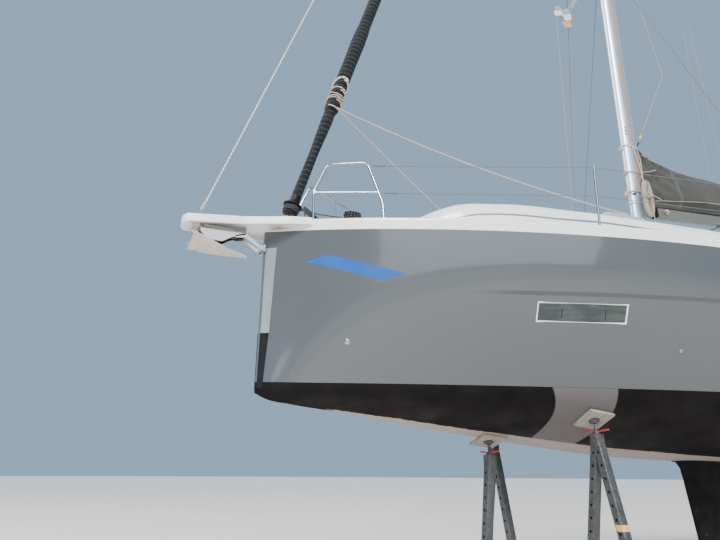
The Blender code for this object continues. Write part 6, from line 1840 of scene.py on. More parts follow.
def make_prop(name, feet, beams):
    turn, normal = pad_frame(name)
    ply = Shape()
    for low, high, size in ((-0.014, -0.002, 0.147), (-0.002, 0.0135, 0.1495)):
        ply.box((-size, -size, low), (size, size, high), turn=turn, soft=0.0015)
    for x, y in ((0.10, 0.11), (-0.11, 0.10), (-0.10, -0.12), (0.11, -0.10)):
        ply.turned(turn @ Vector((x, y, 0.0130)), normal, ((0.006, 0), (0.006, 0.0008), (0.003, 0.0006)),
            8)
    ply.done(f"{name}_plywood", "ply", "timber", replaces=(f"{name}_pad",))
    under = turn @ Vector((0, 0, 0.0143))
    gear = Shape()
    gear.turned(under, normal, ((0.055, 0), (0.055, 0.006), (0.050, 0.009), (0.040, 0.010),
        (0.034, 0.020), (0.024, 0.022), (0.022, 0.032), (0.006, 0.036)), 28)
    bolts(gear, [under + (turn.to_3x3() @ Vector((0.044 * math.cos(a), 0.044 * math.sin(a), 0.009)))
        for a in (0.5, 2.07, 3.64, 5.21)], normal)
    neck = under + normal * 0.035
    head = neck - Vector((0, 0, 0.10))
    thread = [(0.0175 + 0.0012 * (k % 2), -0.004 + 0.0035 * k) for k in range(55)]
    gear.turned(neck - Vector((0, 0, 0.195)), (0, 0, 1), thread, 14)
    gear.turned(head - Vector((0, 0, 0.004)), UP, ((0.020, 0), (0.042, 0.0), (0.042, 0.010),
        (0.034, 0.014), (0.032, 0.030), (0.020, 0.032)), 20)
    sleeve = [[head + Vector((x, y, z)) for x, y in rounded(2 * size, 2 * size, 0.012, 3)]
        for z, size in ((-0.120, 0.051), (-0.120, 0.053), (-0.003, 0.053), (0.0, 0.050), (0.0, 0.022))]
    gear.grid(sleeve, ring=True)
    for side in (1, -1):
        gear.turned(head + Vector((side * 0.053, 0, -0.07)), (side, 0, 0),
            ((0.011, 0), (0.011, 0.008), (0.006, 0.010)), 6)
    for i, (lean_x, lean_y) in enumerate(feet):
        top = head - Vector((0, 0, 0.02 + 0.004 * i))
        drop = top.z - 0.04
        foot = top + Vector((lean_x * drop, lean_y * drop, -drop))
        perforated_leg(gear, top, foot, LEG_HALF - 0.001 * i)
    for i, ((x0, y0), (x1, y1)) in enumerate(beams):
        low = Vector((head.x + head.z * x0 - 0.06, head.y + head.z * y0 - 0.06, 0))
        high = Vector((head.x + head.z * x1 + 0.06, head.y + head.z * y1 + 0.06, 0.08 + 0.001 * i))
        gear.box(low, high, soft=0.008)
        for end in (low, high):
            gear.box((end.x - 0.062, end.y - 0.062, 0.0), (end.x + 0.062, end.y + 0.062, 0.006),
                soft=0.002)
    gear.done(f"{name}_frame", "zinc", "galvanised", replaces=(name,), angle=30)
    wing = Shape()
    lift = head + Vector((0, 0, 0.018))
    for way in (1, -1):
        wing.tube(rounded_path([lift + Vector((0.004, way * 0.030, 0.0)),
            lift + Vector((0.0, way * 0.080, 0.012)), lift + Vector((0.0, way * 0.165, 0.016))], 0.03),
            [0.010] * 7 + [0.0085], 10)
    wing.done(f"{name}_handle", "red", "galvanised")
    return head


def make_props():
    lean, spread = PROP_LEAN, PROP_SPREAD
    side_beams = [((0, -lean), (0, lean)), ((-spread, lean), (spread, lean)),
        ((-spread, -lean), (spread, -lean))]
    for word in PROP_SPOTS:
        for side_word in ("port", "starboard"):
            head = make_prop(f"prop_{word}_{side_word}", ((0, lean), (0, -lean)), side_beams)
            if word == "forward" and side_word == "port":
                spot = head + Vector((0, lean * 0.86, -0.86))
                band = [[spot + Vector((x, y - lean * z, z))
                    for x, y in rounded(0.0915, 0.0915, 0.011, 3)] for z in (-0.028, 0.028)]
                Shape().grid(band, ring=True).done("prop_tape", "tape", "galvanised")
    make_prop("prop_bow", ((0.12, 0),), [((0.12, -spread), (0.12, spread)), ((-0.03, 0), (0.27, 0))])


def make_block():
    """The keel stands on stacked timbers."""
    low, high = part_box("keel_block")
    stack = Shape()
    for k in range(4):
        y0 = low.y + (high.y - low.y) * k / 4 + 0.003
        stack.box((low.x, y0, low.z), (high.x, y0 + (high.y - low.y) / 4 - 0.006, high.z), soft=0.008)
    stack.done("keel_timbers", "beam", "timber", replaces=("keel_block",))


# Boom, sail bag and running rigging

BOOM_LENGTH = 4.95
BOOM_WIDE, BOOM_HIGH = 0.060, 0.080
BOOM_RISE = math.radians(5.2)
PIN_BEHIND = 0.055  # the gooseneck's pin, abaft the mast's wall
GOOSE_H = MAST_FOOT_H + 0.70
VANG_H = MAST_FOOT_H + 0.14
VANG_LUG_OUT = 1.62
BAG_LOW = BOOM_HIGH + 0.0005
BAG = (  # distance out along the boom, height above the boom, half width
    (0.16, 0.925, 0.115), (0.30, 0.865, 0.135), (0.45, 0.82, 0.15), (0.9, 0.71, 0.17), (1.3, 0.66, 0.175),
    (1.75, 0.645, 0.18), (3.1, 0.53, 0.175), (4.2, 0.41, 0.155), (4.89, 0.29, 0.11))


def swing_axis(h):
    return at(mast_s(h) + MAST_LONG + PIN_BEHIND, 0, h)


def boom_at(out, y, up):
    """A point out along the boom, to port of it and above its middle."""
    rise = BOOM_RISE
    return swing_axis(GOOSE_H) + Vector((-out * math.cos(rise) + up * math.sin(rise), y,
        out * math.sin(rise) + up * math.cos(rise)))


def bag_size(out):
    places = [row[0] for row in BAG]
    return [float(np.interp(out, places, [row[k] for row in BAG])) for k in (1, 2)]


def bag_half(wide, t):
    """Half width of the bag's section at a share of the way up it."""
    return wide * (1 - t ** 2.6) ** 0.62 * (0.42 + 0.58 * ease(t / 0.22)) * (1 - 0.25 * t)


def bag_fold(out, share, side):
    """How far the cloth stands off at a share of the way up the bag's side: its folds."""
    tall, _ = bag_size(out)
    up = share * tall
    away = math.hypot(out - 0.02, 0.95 - up)
    angle = math.atan2(0.95 - up, out - 0.02)
    wander = noise.noise(Vector((out * 2, up * 2, side)))
    fan = 1 - 2 * abs(math.sin(angle * 11 + side + 1.6 * wander)) ** 0.7
    near = math.exp(-((away - 0.42) / 0.42) ** 2)
    long_folds = 1 - 2 * abs(math.sin(up * 13 - 2.2 * out + 3.0 * wander)) ** 0.8
    top = clamp((share - 0.45) / 0.2)
    sag = noise.noise(Vector((out * 2.2, up * 3.0, side * 3)))
    return 0.026 * fan * near + 0.010 * long_folds * clamp(out - 0.2) * top + 0.014 * sag


def make_bag():
    rows = []
    for out in np.linspace(0.165, 4.885, 150):
        tall, wide = bag_size(out)
        port = []
        for k in range(27):
            t = k / 26
            port.append((max(0.0, bag_half(wide, t)), t))
        row = []
        for side in (1, -1):
            path = port if side == 1 else port[-2::-1]
            for y, t in path:
                stand = bag_fold(out, t, side * 2) * clamp(y / 0.03) * clamp(t / 0.08)
                sag = 0.012 * noise.noise(Vector((out * 1.7, 0, 7))) * ease((t - 0.8) / 0.2)
                row.append(boom_at(out, side * clamp(y + stand, 0.0, wide + 0.002),
                    BAG_LOW + t * (tall - 0.013) + sag))
        rows.append(row)
    bag = Shape().grid(rows, ring=True, caps=True)
    bag.done("sail_bag_cloth", "olive", "cover_olive", "boom_body", ("sail_bag",), angle=60)


def make_bag_rope():
    """A cord along each side of the bag, with a knot at its fore end."""
    trim = Shape()
    for side in (1, -1):
        line = []
        for out in np.linspace(0.17, 4.86, 70):
            tall, wide = bag_size(out)
            t = float(np.interp(out, (0.15, 0.35, 1.0, 1.4, 3.0, 4.9),
                (0.095, 0.115, 0.175, 0.205, 0.27, 0.40)))
            y = bag_half(wide, t)
            line.append(boom_at(out, side * (y + bag_fold(out, t, side * 2) + 0.002),
                BAG_LOW + t * (tall - 0.013)))
        trim.tube(line, 0.0042, 6)
    knot(trim, boom_at(0.34, BOOM_WIDE + 0.020, 0.0), 0.042, 0.007, 9)
    trim.done("sail_bag_rope", "rope_cream", "cover_olive", "boom_body")


def make_bag_straps():
    """Webbing sewn up both sides of the bag."""
    straps = Shape()
    for out in (0.68, 1.95, 3.15, 4.25):
        tall, wide = bag_size(out)
        for side in (1, -1):
            band = []
            for k in range(20):
                t = 0.02 + 0.9 * k / 19
                y = bag_half(wide, t)
                rows_at = [boom_at(out + w, side * (y + bag_fold(out + w, t, side * 2) + 0.0022),
                    BAG_LOW + t * (tall - 0.013)) for w in (-0.034, 0.034)]
                band.append(rows_at)
            straps.grid(band)
    straps.done("sail_bag_webbing", "webbing", "cover_olive", "boom_body")


def make_bag_front():
    """Cloth of the bag drawn forward to the mast in folds."""
    front = Shape()
    for side in (1, -1):
        rows = []
        for i in range(15):
            t = i / 14
            row = []
            for k in range(33):
                w = k / 32
                end_tall, end_wide = bag_size(0.17)
                y = bag_half(end_wide, w)
                end = boom_at(0.175, side * max(0.012, y + bag_fold(0.17, w, side * 2)), BOOM_HIGH + 0.01
                    + w * (end_tall - 0.03))
                h = GOOSE_H + 0.12 + 0.95 * w
                mast_side = at(mast_s(h) + MAST_LONG * 0.55, side * (MAST_WIDE * 0.78 + 0.012), h)
                spot = mast_side.lerp(end, t)
                fold = math.sin(w * 38 + 2 * t + side) * 0.008 * math.sin(math.pi * t)
                spot.y += side * (0.020 * math.sin(math.pi * t) * (1 - w) + fold)
                row.append(spot)
            rows.append(row)
        front.grid(rows)
    front.done("sail_bag_front", "olive", "cover_olive", angle=60)


def ring_about_mast(shape, h, radius, grow, tilt=0.0, turns=1.0, mark=0):
    path = []
    for i in range(int(28 * turns) + 1):
        a = 2 * math.pi * i / 28
        level = h + tilt * math.cos(a) + 2.1 * radius * i / 28
        path.append(mast_point(level, a, grow))
    return shape.tube(path, radius, 6, mark)


def make_mast_lashings():
    white, cream = Shape(), Shape()
    for rope, h, radius, tilt, turns in (
            (white, 3.865, 0.0065, -0.015, 2.2), (cream, 3.445, 0.0065, 0.012, 1.3),
            (cream, 3.11, 0.0065, 0.010, 2.0), (white, 2.94, 0.006, 0.02, 1.1)):
        ring_about_mast(rope, h, radius, 0.009, tilt, turns)
    for rope, h, turn, off, size, radius, seed in (
            (white, 3.855, 185, 0.018, 0.030, 0.007, 1), (cream, 3.425, 172, 0.020, 0.032, 0.007, 2),
            (cream, 3.09, 188, 0.022, 0.040, 0.008, 4)):
        knot(rope, mast_point(h, math.radians(turn), off), size, radius, seed)
    hank_top = at(5.50, 0.19, 3.22)
    ridge = boom_at(0.14, 0.035, BOOM_HIGH + 0.93)
    for start in (mast_point(3.875, math.radians(100), 0.014),
            mast_point(3.885, math.radians(60), 0.016)):
        cream.tube([start, start.lerp(hank_top, 0.4) + Vector((0, 0.03, 0)), hank_top], 0.006, 6)
    white.tube([mast_point(3.875, math.radians(60), 0.014), ridge, mast_point(3.885, math.radians(-60),
        0.014)], 0.006, 6)
    bag_ties = Shape()
    bag_ties.tube([mast_point(3.445, math.radians(70), 0.014), boom_at(0.16, 0.11, 0.63),
        boom_at(0.26, 0.13, 0.66)], 0.006, 6)
    bag_ties.tube([mast_point(3.12, math.radians(100), 0.014), at(5.56, 0.235, 3.02),
        boom_at(0.20, 0.15, 0.16)], 0.006, 6)
    ties = bag_ties.done("bag_ties", "rope_cream", "sail_black", None)
    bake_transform(ties)
    white.done("mast_ties_white", "rope_white", "sail_black")
    cream.done("mast_ties_cream", "rope_cream", "sail_black")
    dark = Shape()
    for h, a in ((4.09, 126), (4.14, 127), (4.20, 128), (3.07, 140)):
        spot = mast_point(h, math.radians(a), 0.0015)
        angle = math.atan2(spot.y, spot.x - (STEM_X - mast_s(h)))
        place = Matrix.Translation(spot) @ Matrix.Rotation(angle, 4, "Z")
        long = 0.016 if h > 4 else 0.012
        dark.box((-0.004, -0.010 if h > 4 else -0.045, -long), (0.004, 0.010 if h > 4 else 0.045, long),
            0, place, 0.003)
    dark.done("mast_slots", "black", "black_plastic")


def hank_path(middle, across, depth, up, half_w, half_h, turns, layers, pinch=0.0, step=0.0132):
    """One line laid in nested loops, layer on layer."""
    path = []
    for layer in range(layers):
        for turn in range(turns):
            for i in range(24):
                a = 2 * math.pi * i / 24 + math.pi / 2
                grow = step * (turn + i / 24 if layer % 2 == 0 else turns - turn - i / 24)
                waist = pinch * math.exp(-((math.sin(a) - 0.05) / 0.35) ** 2)
                path.append(middle + across * ((half_w + grow - waist) * math.cos(a))
                    + up * ((half_h + grow) * math.sin(a)) + depth * ((layer - (layers - 1) / 2) * step))
    return path


def eased(path, rounds=3):
    """The same route with its sharp turns eased."""
    for _ in range(rounds):
        path = [path[0], *[(a + 2 * b + c) / 4 for a, b, c in zip(path, path[1:], path[2:])], path[-1]]
    return path


def coiled_rope(name, path, radius, paint):
    path = eased(path)
    rope = Shape().tube(path, radius, 6).done(name, paint, "sail_black")


def make_halyard_hank():
    """The halyard's hank on the mast's port side."""
    across, depth, up = AFT, TO_PORT, UP
    middle = at(5.505, 0.215, 2.945)
    lead = mast_point(3.42, math.radians(80), 0.012)
    loops = hank_path(middle, across, depth, up, 0.034, 0.235, 6, 3, 0.018)
    path = [lead.lerp(loops[0], k / 8) + Vector((0, 0.015 * math.sin(math.pi * k / 8), 0))
        for k in range(8)] + loops
    front = loops[-1] + depth * 0.019
    path += [front + up * (-0.01), front + up * (-0.10), middle + depth * 0.037 + up * 0.10]
    for i in range(20 * 4 + 1):
        a = 2 * math.pi * i / 20 + math.pi / 2
        path.append(middle + across * (0.116 * math.cos(a)) + depth * (0.0365 * math.sin(a))
            + up * (0.045 - 0.0136 * i / 20))
    low = path[-1]
    path += [low + Vector((-0.006, 0.010, -0.05)), low + Vector((-0.02, 0.012, -0.16)),
        low + Vector((-0.03, 0.0, -0.30)), low + Vector((-0.045, -0.015, -0.42)),
        low + Vector((-0.06, -0.03, -0.55))]
    coiled_rope("halyard_hank", path, 0.006, "rope_beige")


def make_furling_coil():
    """The furling line's tail, coiled and leant on the pulpit."""
    high, foot = at(0.375, 0.105, 1.835), at(0.520, 0.225, deck_floor(0.520, 0.2) + 0.045)
    way = (foot - high).normalized()
    side = way.cross(UP).normalized()
    loops = hank_path((high + foot) / 2, side, side.cross(way), -way, 0.022, 0.095, 4, 4)
    rise = at(0.50, 0.06, deck_floor(0.50, 0.06) + 0.010)
    lead = [rise.lerp(loops[0], k / 6) + Vector((0.03 * math.sin(math.pi * k / 6), 0, 0))
        for k in range(6)]
    coiled_rope("furling_line_coil", lead + loops, 0.006, "rope_black")


def make_mooring_coil():
    """A mooring rope, coiled on the foredeck."""
    spot = at(0.80, 0.44, deck_floor(0.80, 0.44) + 0.070)
    coiled_rope("mooring_rope_coil", hank_path(spot, Vector((0, 1, 0)), Vector((0.1, 0, 1)).normalized(),
        Vector((1, 0, -0.02)), 0.030, 0.060, 3, 9), 0.006, "rope_black")


def make_boom():
    rows = []
    for out, size in ((0.045, 0.70), (0.05, 0.74), (0.155, 0.99), (0.165, 1.0),
            *((v, 1.0) for v in np.linspace(0.5, 4.8, 12)), (BOOM_LENGTH - 0.05, 1.0),
            (BOOM_LENGTH - 0.045, 1.0)):
        row = []
        for y, up in rounded(2 * BOOM_WIDE * size, 2 * BOOM_HIGH * size, 0.035 * size, 6):
            groove = 0.008 * math.exp(-((up / BOOM_HIGH - 0.38) / 0.06) ** 2) * (abs(y) > 0.04)
            row.append(boom_at(out, y - math.copysign(groove, y), up))
        rows.append(row)
    boom = Shape().grid(rows, ring=True, caps=True)
    boom.box(boom_at(0.10, -0.016, -0.035), boom_at(-0.012, 0.016, 0.030), soft=0.005)
    lug = boom_at(VANG_LUG_OUT, 0, -BOOM_HIGH)
    boom.box(lug + Vector((-0.05, -0.012, -0.045)), lug + Vector((0.05, 0.012, 0.02)), soft=0.005)
    axis = swing_axis(GOOSE_H)
    boom.rod(axis - Vector((0.0016, 0, 0.066)), axis + Vector((-0.0016, 0, 0.066)), 0.008, 16)
    boom.done("boom_profile", "boom", "alloy", "boom_body", ("boom",), angle=35)


def make_boom_ends():
    """The boom's two end castings and the eyes under it."""
    ends = Shape()
    rows = []
    for out, size in ((BOOM_LENGTH - 0.05, 1.02), (BOOM_LENGTH - 0.006, 1.0),
            (BOOM_LENGTH - 0.002, 0.97)):
        rows.append([boom_at(out, y, up) for y, up in rounded(2 * BOOM_WIDE * size, 2 * BOOM_HIGH * size,
            0.035, 6)])
    ends.grid(rows, ring=True, caps=True)
    rows = []
    for out, size in ((0.040, 0.60), (0.044, 0.70), (0.10, 0.90), (0.17, 1.03), (0.19, 1.02)):
        rows.append([boom_at(out, y, up) for y, up in rounded(2 * BOOM_WIDE * size, 2 * BOOM_HIGH * size,
            0.035 * size, 6)])
    ends.grid(rows, ring=True)
    for out in (2.75, 3.05, 3.35):
        for side in (1, -1):
            ends.tube([boom_at(out, side * (BOOM_WIDE + 0.002), -0.02),
                boom_at(out, side * (BOOM_WIDE - 0.012), -BOOM_HIGH - 0.006),
                boom_at(out, 0, -BOOM_HIGH - 0.016)], 0.005, 6)
    ends.done("boom_ends", "black", "black_plastic", "boom_body")


def make_vang():
    """The rod kicker with its tackle."""
    foot = swing_axis(VANG_H)
    head = boom_at(1.50, 0, -BOOM_HIGH - 0.060)
    way = (head - foot).normalized()
    vang = Shape().turned(foot + way * 0.03, way, ((0.010, 0), (0.024, 0.004), (0.028, 0.02),
        (0.028, 0.86), (0.026, 0.885), (0.020, 0.89)), 20, 1)
    vang.rod(foot + way * 0.85, head, 0.018, 16)
    vang.box(foot + Vector((-0.08, -0.012, -0.018)), foot + Vector((0.012, 0.012, 0.035)), soft=0.004)
    vang.rod(foot - Vector((0.0015, 0, 0.066)), foot + Vector((-0.0015, 0, 0.066)), 0.008, 16)
    clevis = boom_at(VANG_LUG_OUT, 0, -BOOM_HIGH) + Vector((0.055, 0, -0.03))
    vang.rod(head - way * 0.02, clevis, 0.010, 10)
    for side in (0.030, -0.030):
        spot = foot + way * 0.55 + Vector((0, side, 0))
        vang.turned(spot - Vector((0, 0.008, 0)), TO_PORT, ((0.004, 0), (0.026, 0.0), (0.026, 0.016),
            (0.004, 0.016)), 16, 1)
    vang.done("rod_kicker", "steel black", "alloy", "boom_body", ("vang",))
    tackle = Shape()
    for dy in (0.034, -0.034):
        tackle.tube([foot + way * 0.10 + Vector((0, dy, -0.02)), foot + way * 0.55
            + Vector((0, dy, -0.004))], 0.005, 6)
    tackle.done("kicker_line", "rope_black", "sail_black", "boom_body")


SHEET_LEADS = ((0.62, 2.75), (-0.62, 3.35))  # block on the roof: y; block under the boom: distance out


def make_mainsheet():
    """Sheet blocks under the boom and the falls down to the coachroof."""
    falls = Shape()
    for y, out in SHEET_LEADS:
        top, low = boom_at(out, 0, -BOOM_HIGH - 0.055), at(SHEET_BLOCK_S, y, roof_top(SHEET_BLOCK_S, y)
            + 0.045)
        side = Vector((0.012, 0, 0))
        falls.tube([top + side, top.lerp(low, 0.5) + side, low + side], 0.0055, 6)
        falls.tube([top - side, top.lerp(low, 0.5) - side, low - side], 0.0055, 6)
    sheet = falls.done("mainsheet_falls", "rope_grey", "sail_black", None)
    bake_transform(sheet)
    low_blocks, high_blocks = Shape(), Shape()
    for y, out in SHEET_LEADS:
        top, low = boom_at(out, 0, -BOOM_HIGH - 0.050), at(SHEET_BLOCK_S, y, roof_top(SHEET_BLOCK_S, y)
            + 0.030)
        for shape, spot in ((high_blocks, top), (low_blocks, low)):
            for dy in (-0.012, 0.012):
                shape.turned(spot + Vector((0, dy - 0.0025, 0)), TO_PORT,
                    ((0.004, 0), (0.026, 0), (0.028, 0.0025), (0.026, 0.005), (0.004, 0.005)), 18)
            shape.turned(spot - Vector((0, 0.009, 0)), TO_PORT,
                ((0.024, 0), (0.019, 0.009), (0.024, 0.018)), 18)
            shape.rod(spot - Vector((0, 0.018, 0)), spot + Vector((0, 0.018, 0)), 0.006, 10)
        low_blocks.turned(at(SHEET_BLOCK_S, y, roof_top(SHEET_BLOCK_S, y) - 0.002), UP,
            ((0.030, 0), (0.030, 0.006), (0.008, 0.012)), 20)
    low_blocks.done("sheet_blocks_roof", "black", "black_plastic")
    high_blocks.done("sheet_blocks_boom", "black", "black_plastic", "boom_body")


def make_mast_halyards():
    """The halyards that lie along the mast."""
    light = Shape()
    for a, end_h in ((56, 2.55), (70, 3.45), (86, 2.50), (104, 3.96)):
        a = math.radians(a)
        light.tube([mast_point(MAST_TOP_H - 0.3, a, 0.010),
            *[mast_point(h, a, 0.011) for h in (12.0, 7.0)], mast_point(end_h, a, 0.011)], 0.0055, 6)
    light.done("mast_halyards", "rope_beige", "sail_black")


def make_main_halyard():
    """The main halyard, led aft off the mast to its shackle at the head of the bag."""
    rope = Shape()
    shackle = at(5.765, 0.0, 4.01)
    high = at(6.654, 0.0, 5.571)
    rope.tube([mast_point(9.9, 0, 0.012), high, high.lerp(shackle, 0.93)], 0.0052, 6)
    rope.done("main_halyard", "rope_beige", "sail_black")
    hook = Shape()
    way = (high - shackle).normalized()
    hook.turned(shackle + way * 0.13, way, ((0.007, 0), (0.014, 0.01), (0.017, 0.05), (0.015, 0.09),
        (0.007, 0.10)), 14, 1)
    hook.tube([shackle + way * (0.030 + 0.028 * math.cos(a)) + Vector((0, 0.012 * math.sin(a), 0))
        for a in circle(16)], 0.0045, 8, closed=True)
    hook.tube([shackle + way * (-0.012 + 0.020 * math.cos(a)) + Vector((0.010 * math.sin(a), 0, 0))
        for a in circle(16)], 0.0040, 8, closed=True)
    hook.done("halyard_shackle", "black yellow", "stainless")


def make_lazy_jack(side, word):
    """The lines that hold up the bag on one side, and that side's flag halyard."""
    jack = Shape()
    knee = at(7.55, side * 0.06, 6.85)
    low, mid = boom_at(1.9, side * 0.13, 0.62), boom_at(3.4, side * 0.13, 0.46)
    jack.tube([knee, low], 0.0028, 6)
    jack.tube([knee, knee.lerp(mid, 0.6), mid], 0.0028, 6)
    jack.tube([knee.lerp(mid, 0.6), boom_at(4.55, side * 0.10, 0.35)], 0.0028, 6)
    jack.turned(knee - Vector((0, 0, 0.02)), UP, ((0.004, 0), (0.012, 0.006), (0.012, 0.03),
        (0.004, 0.036)), 10)
    top = mast_point(9.2, side * math.radians(70), 0.006)
    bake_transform(jack.done(f"lazy_jack_{word}", "rope_grey", "sail_black", None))
    Shape().tube([top, knee], 0.0028, 6).done(f"lazy_jack_top_{word}", "rope_grey", "sail_black")
    lift = Shape()
    high_end = flag_block(side)
    lift.tube([high_end, at(5.96, side * 1.86, deck_floor(5.96, 1.86) + 0.02)], 0.0025, 6)
    lift.turned(high_end - Vector((0, 0, 0.03)), UP, ((0.003, 0), (0.010, 0.004), (0.010, 0.022),
        (0.003, 0.028)), 10)
    lift.done(f"flag_halyards_{word}", "rope_grey", "sail_black")


def make_lazy_jacks():
    for side, word in SIDES:
        make_lazy_jack(side, word)


def flag_block(side):
    """Where a flag halyard leaves its block under the lower spreader."""
    h = MAST_FOOT_H + SPREADERS[0][0]
    return at(mast_s(h), 0, h).lerp(at(*spreader_tip(0, side)), 0.92) - Vector((0, 0, 0.014))


def make_flags():
    """Two small plain flags on the starboard flag halyard, and the cord that holds them to the deck."""
    top = flag_block(-1)
    way = (at(5.96, -1.86, 1.5) - top).normalized()
    for name, drop, size, bands in (("courtesy_flag", 0.04, (0.40, 0.24), ("flag_teal", "flag_white")),
            ("small_pennant", 0.31, (0.21, 0.13), ("flag_orange", "flag_orange"))):
        start = top + way * drop
        rows = []
        for i in range(17):
            w = size[0] * i / 16
            rows.append([start + way * (size[1] * k / 10 * (1 - 0.3 * w / size[0]))
                + Vector((0.93 * w, 0.030 * math.sin(w * 24 + 0.2 * k), -0.10 * w)) for k in range(11)])
        obj = Shape().grid(rows, lambda r, c: 0 if c < 5 else 1).done(name, " ".join(bands), "sail_black")
    cord = Shape().tube([top + way * 0.25 + Vector((0.355, 0.0, -0.035)),
        at(5.43, -1.2, roof_top(5.43, 1.2) + 0.01)], 0.0045, 6)
    cord.done("flag_cord", "rope_beige", "sail_black")


# Coachroof and deck gear

def hatch_frame(s0):
    slope = math.atan2(roof_top(s0 + HATCH_LENGTH, 0) - roof_top(s0, 0), HATCH_LENGTH)
    return Matrix.Translation(at(s0, 0, roof_top(s0, 0))) @ Matrix.Rotation(slope, 4, "Y")


def make_hatches():
    for name, s0 in HATCHES:
        turn = hatch_frame(s0)
        length, half = HATCH_LENGTH, HATCH_HALF
        middle = turn @ Matrix.Translation((-length / 2, 0, 0))
        lid = Shape()
        rings = []
        for inset, z in ((0.006, -0.015), (0.006, 0.006), (0.010, 0.0105), (0.016, 0.012), (0.040, 0.012),
                (0.043, 0.0105)):
            rings.append(ring_on(middle, z, length - 2 * inset, 2 * (half - inset), 0.045 - 0.3 * inset,
                6))
        lid.grid(rings, 0, ring=True)
        pane = ring_on(middle, 0.0108, length - 0.086, 2 * half - 0.086, 0.03, 6)
        lid.face(pane, 1)
        under = ring_on(middle, -0.015, length - 0.012, 2 * half - 0.012, 0.043, 6)
        lid.face(under, 1)
        lid.box((-0.05, -0.118, 0.010), (0.016, 0.118, 0.033), 0, turn, 0.006)
        for y in (0.15, -0.15):
            lid.box((-length + 0.030, y - 0.035, 0.011), (-length + 0.055, y + 0.035, 0.016), 2, turn,
                0.004)
        lid.done(f"{name}_lid", "alloy glass black", "dark_glass", f"{name}_body", (name,))
        seat = Shape()
        rings = []
        for grow, z in ((0.000, -0.018), (0.000, 0.004), (0.004, 0.007), (0.026, 0.005), (0.030, -0.012)):
            rings.append(ring_on(middle, z, length + 2 * grow, 2 * (half + grow), 0.045 + grow, 6))
        seat.grid(rings, 0, ring=True)
        seat.face(ring_on(middle, -0.0215, length, 2 * half, 0.04, 6), 1)
        for y in (0.137, -0.137):
            seat.box((-0.012, y - 0.012, -0.01), (0.024, y + 0.012, 0.035), 0, turn, 0.003)
        seat.done(f"{name}_seat", "alloy black", "alloy")


def locker_lid_top():
    return min(deck_floor(s, 0) for s in LOCKER_S) - 0.004


def locker_axis():
    return LOCKER_S[0] - 0.014, deck_floor(LOCKER_S[0], 0) + 0.016


def make_locker_lid():
    (s0, s1), (half0, half1) = LOCKER_S, LOCKER_HALF
    top = locker_lid_top()
    rings = []
    for inset, z in ((0.006, -0.030), (0.006, -0.005), (0.010, 0.0)):
        fore, aft = (s0 + inset, half0 - inset), (s1 - inset, half1 - inset)
        corners = [Vector(p) for p in ((fore[0], -fore[1]), (aft[0], -aft[1]), aft, fore)]
        rings.append([at(p.x, p.y, top + z) for p in round_off(corners, 0.03, 5)])
    lid = Shape().grid(rings, ring=True, caps=True)
    lid.face([at(s, y, top + 0.0006) for s, y in ((s0 + 0.05, -0.235), (s1 - 0.05, -0.35),
        (s1 - 0.05, 0.35), (s0 + 0.05, 0.235))], 1)
    axis_s, axis_h = locker_axis()
    lid.box(at(axis_s - 0.005, -0.098, axis_h - 0.007), at(s0 + 0.05, 0.098, axis_h + 0.005), 2,
        soft=0.003)
    lid.rod(at(axis_s, -0.116, axis_h), at(axis_s, 0.116, axis_h), 0.006, 12, 2)
    lid.turned(at(s1 - 0.07, 0, top - 0.001), UP, ((0.030, 0), (0.030, 0.003), (0.024, 0.004),
        (0.022, 0.001), (0.003, 0.001)), 24, 2)
    lid.done("locker_lid_panel", "white skid steel", "moulding_white", "locker_lid_body",
        ("anchor_locker_lid",))


def make_locker_well():
    """The anchor locker's white liner and the lugs of its lid's hinge."""
    (s0, s1), (half0, half1) = LOCKER_S, LOCKER_HALF
    high = locker_lid_top() - 0.032
    well_skin = Shape()
    floor, (axis_s, axis_h) = 1.121, locker_axis()
    outline = [at(s, y, high) for s, y in ((s0 + 0.002, 0.002 - half0), (s1 - 0.002, 0.002 - half1),
        (s1 - 0.002, half1 - 0.002), (s0 + 0.002, half0 - 0.002))]
    deep = [Vector((p.x, p.y, WATER_Z + floor)) for p in outline]
    well_skin.grid([outline, deep], ring=True)
    well_skin.face(deep)
    for y in (0.112, -0.112):
        well_skin.box(at(axis_s - 0.012, y - 0.012, axis_h - 0.032),
            at(axis_s + 0.012, y + 0.012, axis_h + 0.011), 1, soft=0.003)
    well_skin.done("anchor_locker_liner", "white steel", "moulding_white")


SLIDE_H = roof_top(COMPANION_S, 0) + 0.012


def make_companionway():
    slide = Shape()
    rings = []
    for inset, z in ((0.0, 0.0), (0.0, 0.026), (0.004, 0.032), (0.010, 0.035)):
        rings.append([Vector((x, y, 0)) + at(8.34, 0, SLIDE_H + z)
            for x, y in rounded(0.82 - 2 * inset, 2 * (0.379 - inset), 0.02, 4)])
    slide.grid(rings, ring=True, caps=True)
    slide.box(at(7.95, -0.397, SLIDE_H + 0.012), at(8.70, 0.397, SLIDE_H + 0.022), 0, soft=0.002)
    slide.box(at(8.700, -0.16, SLIDE_H + 0.010), at(8.748, 0.16, SLIDE_H + 0.034), 1, soft=0.005)
    slide.face([at(s, y, SLIDE_H + 0.0356) for s, y in ((8.0, -0.30), (8.62, -0.30), (8.62, 0.30),
        (8.0, 0.30))], 2)
    slide.done("slide_panel", "white black skid", "moulding_white", "slide_body", ("companionway_slide",))
    guides = Shape()
    for side in (1, -1):
        guides.box(at(7.30, side * 0.385, SLIDE_H - 0.11), at(8.71, side * 0.42, SLIDE_H + 0.040),
            soft=0.006)
    guides.box(at(7.28, -0.42, SLIDE_H - 0.08), at(7.31, 0.42, SLIDE_H + 0.040), soft=0.006)
    guides.done("slide_guides", "white", "moulding_white")


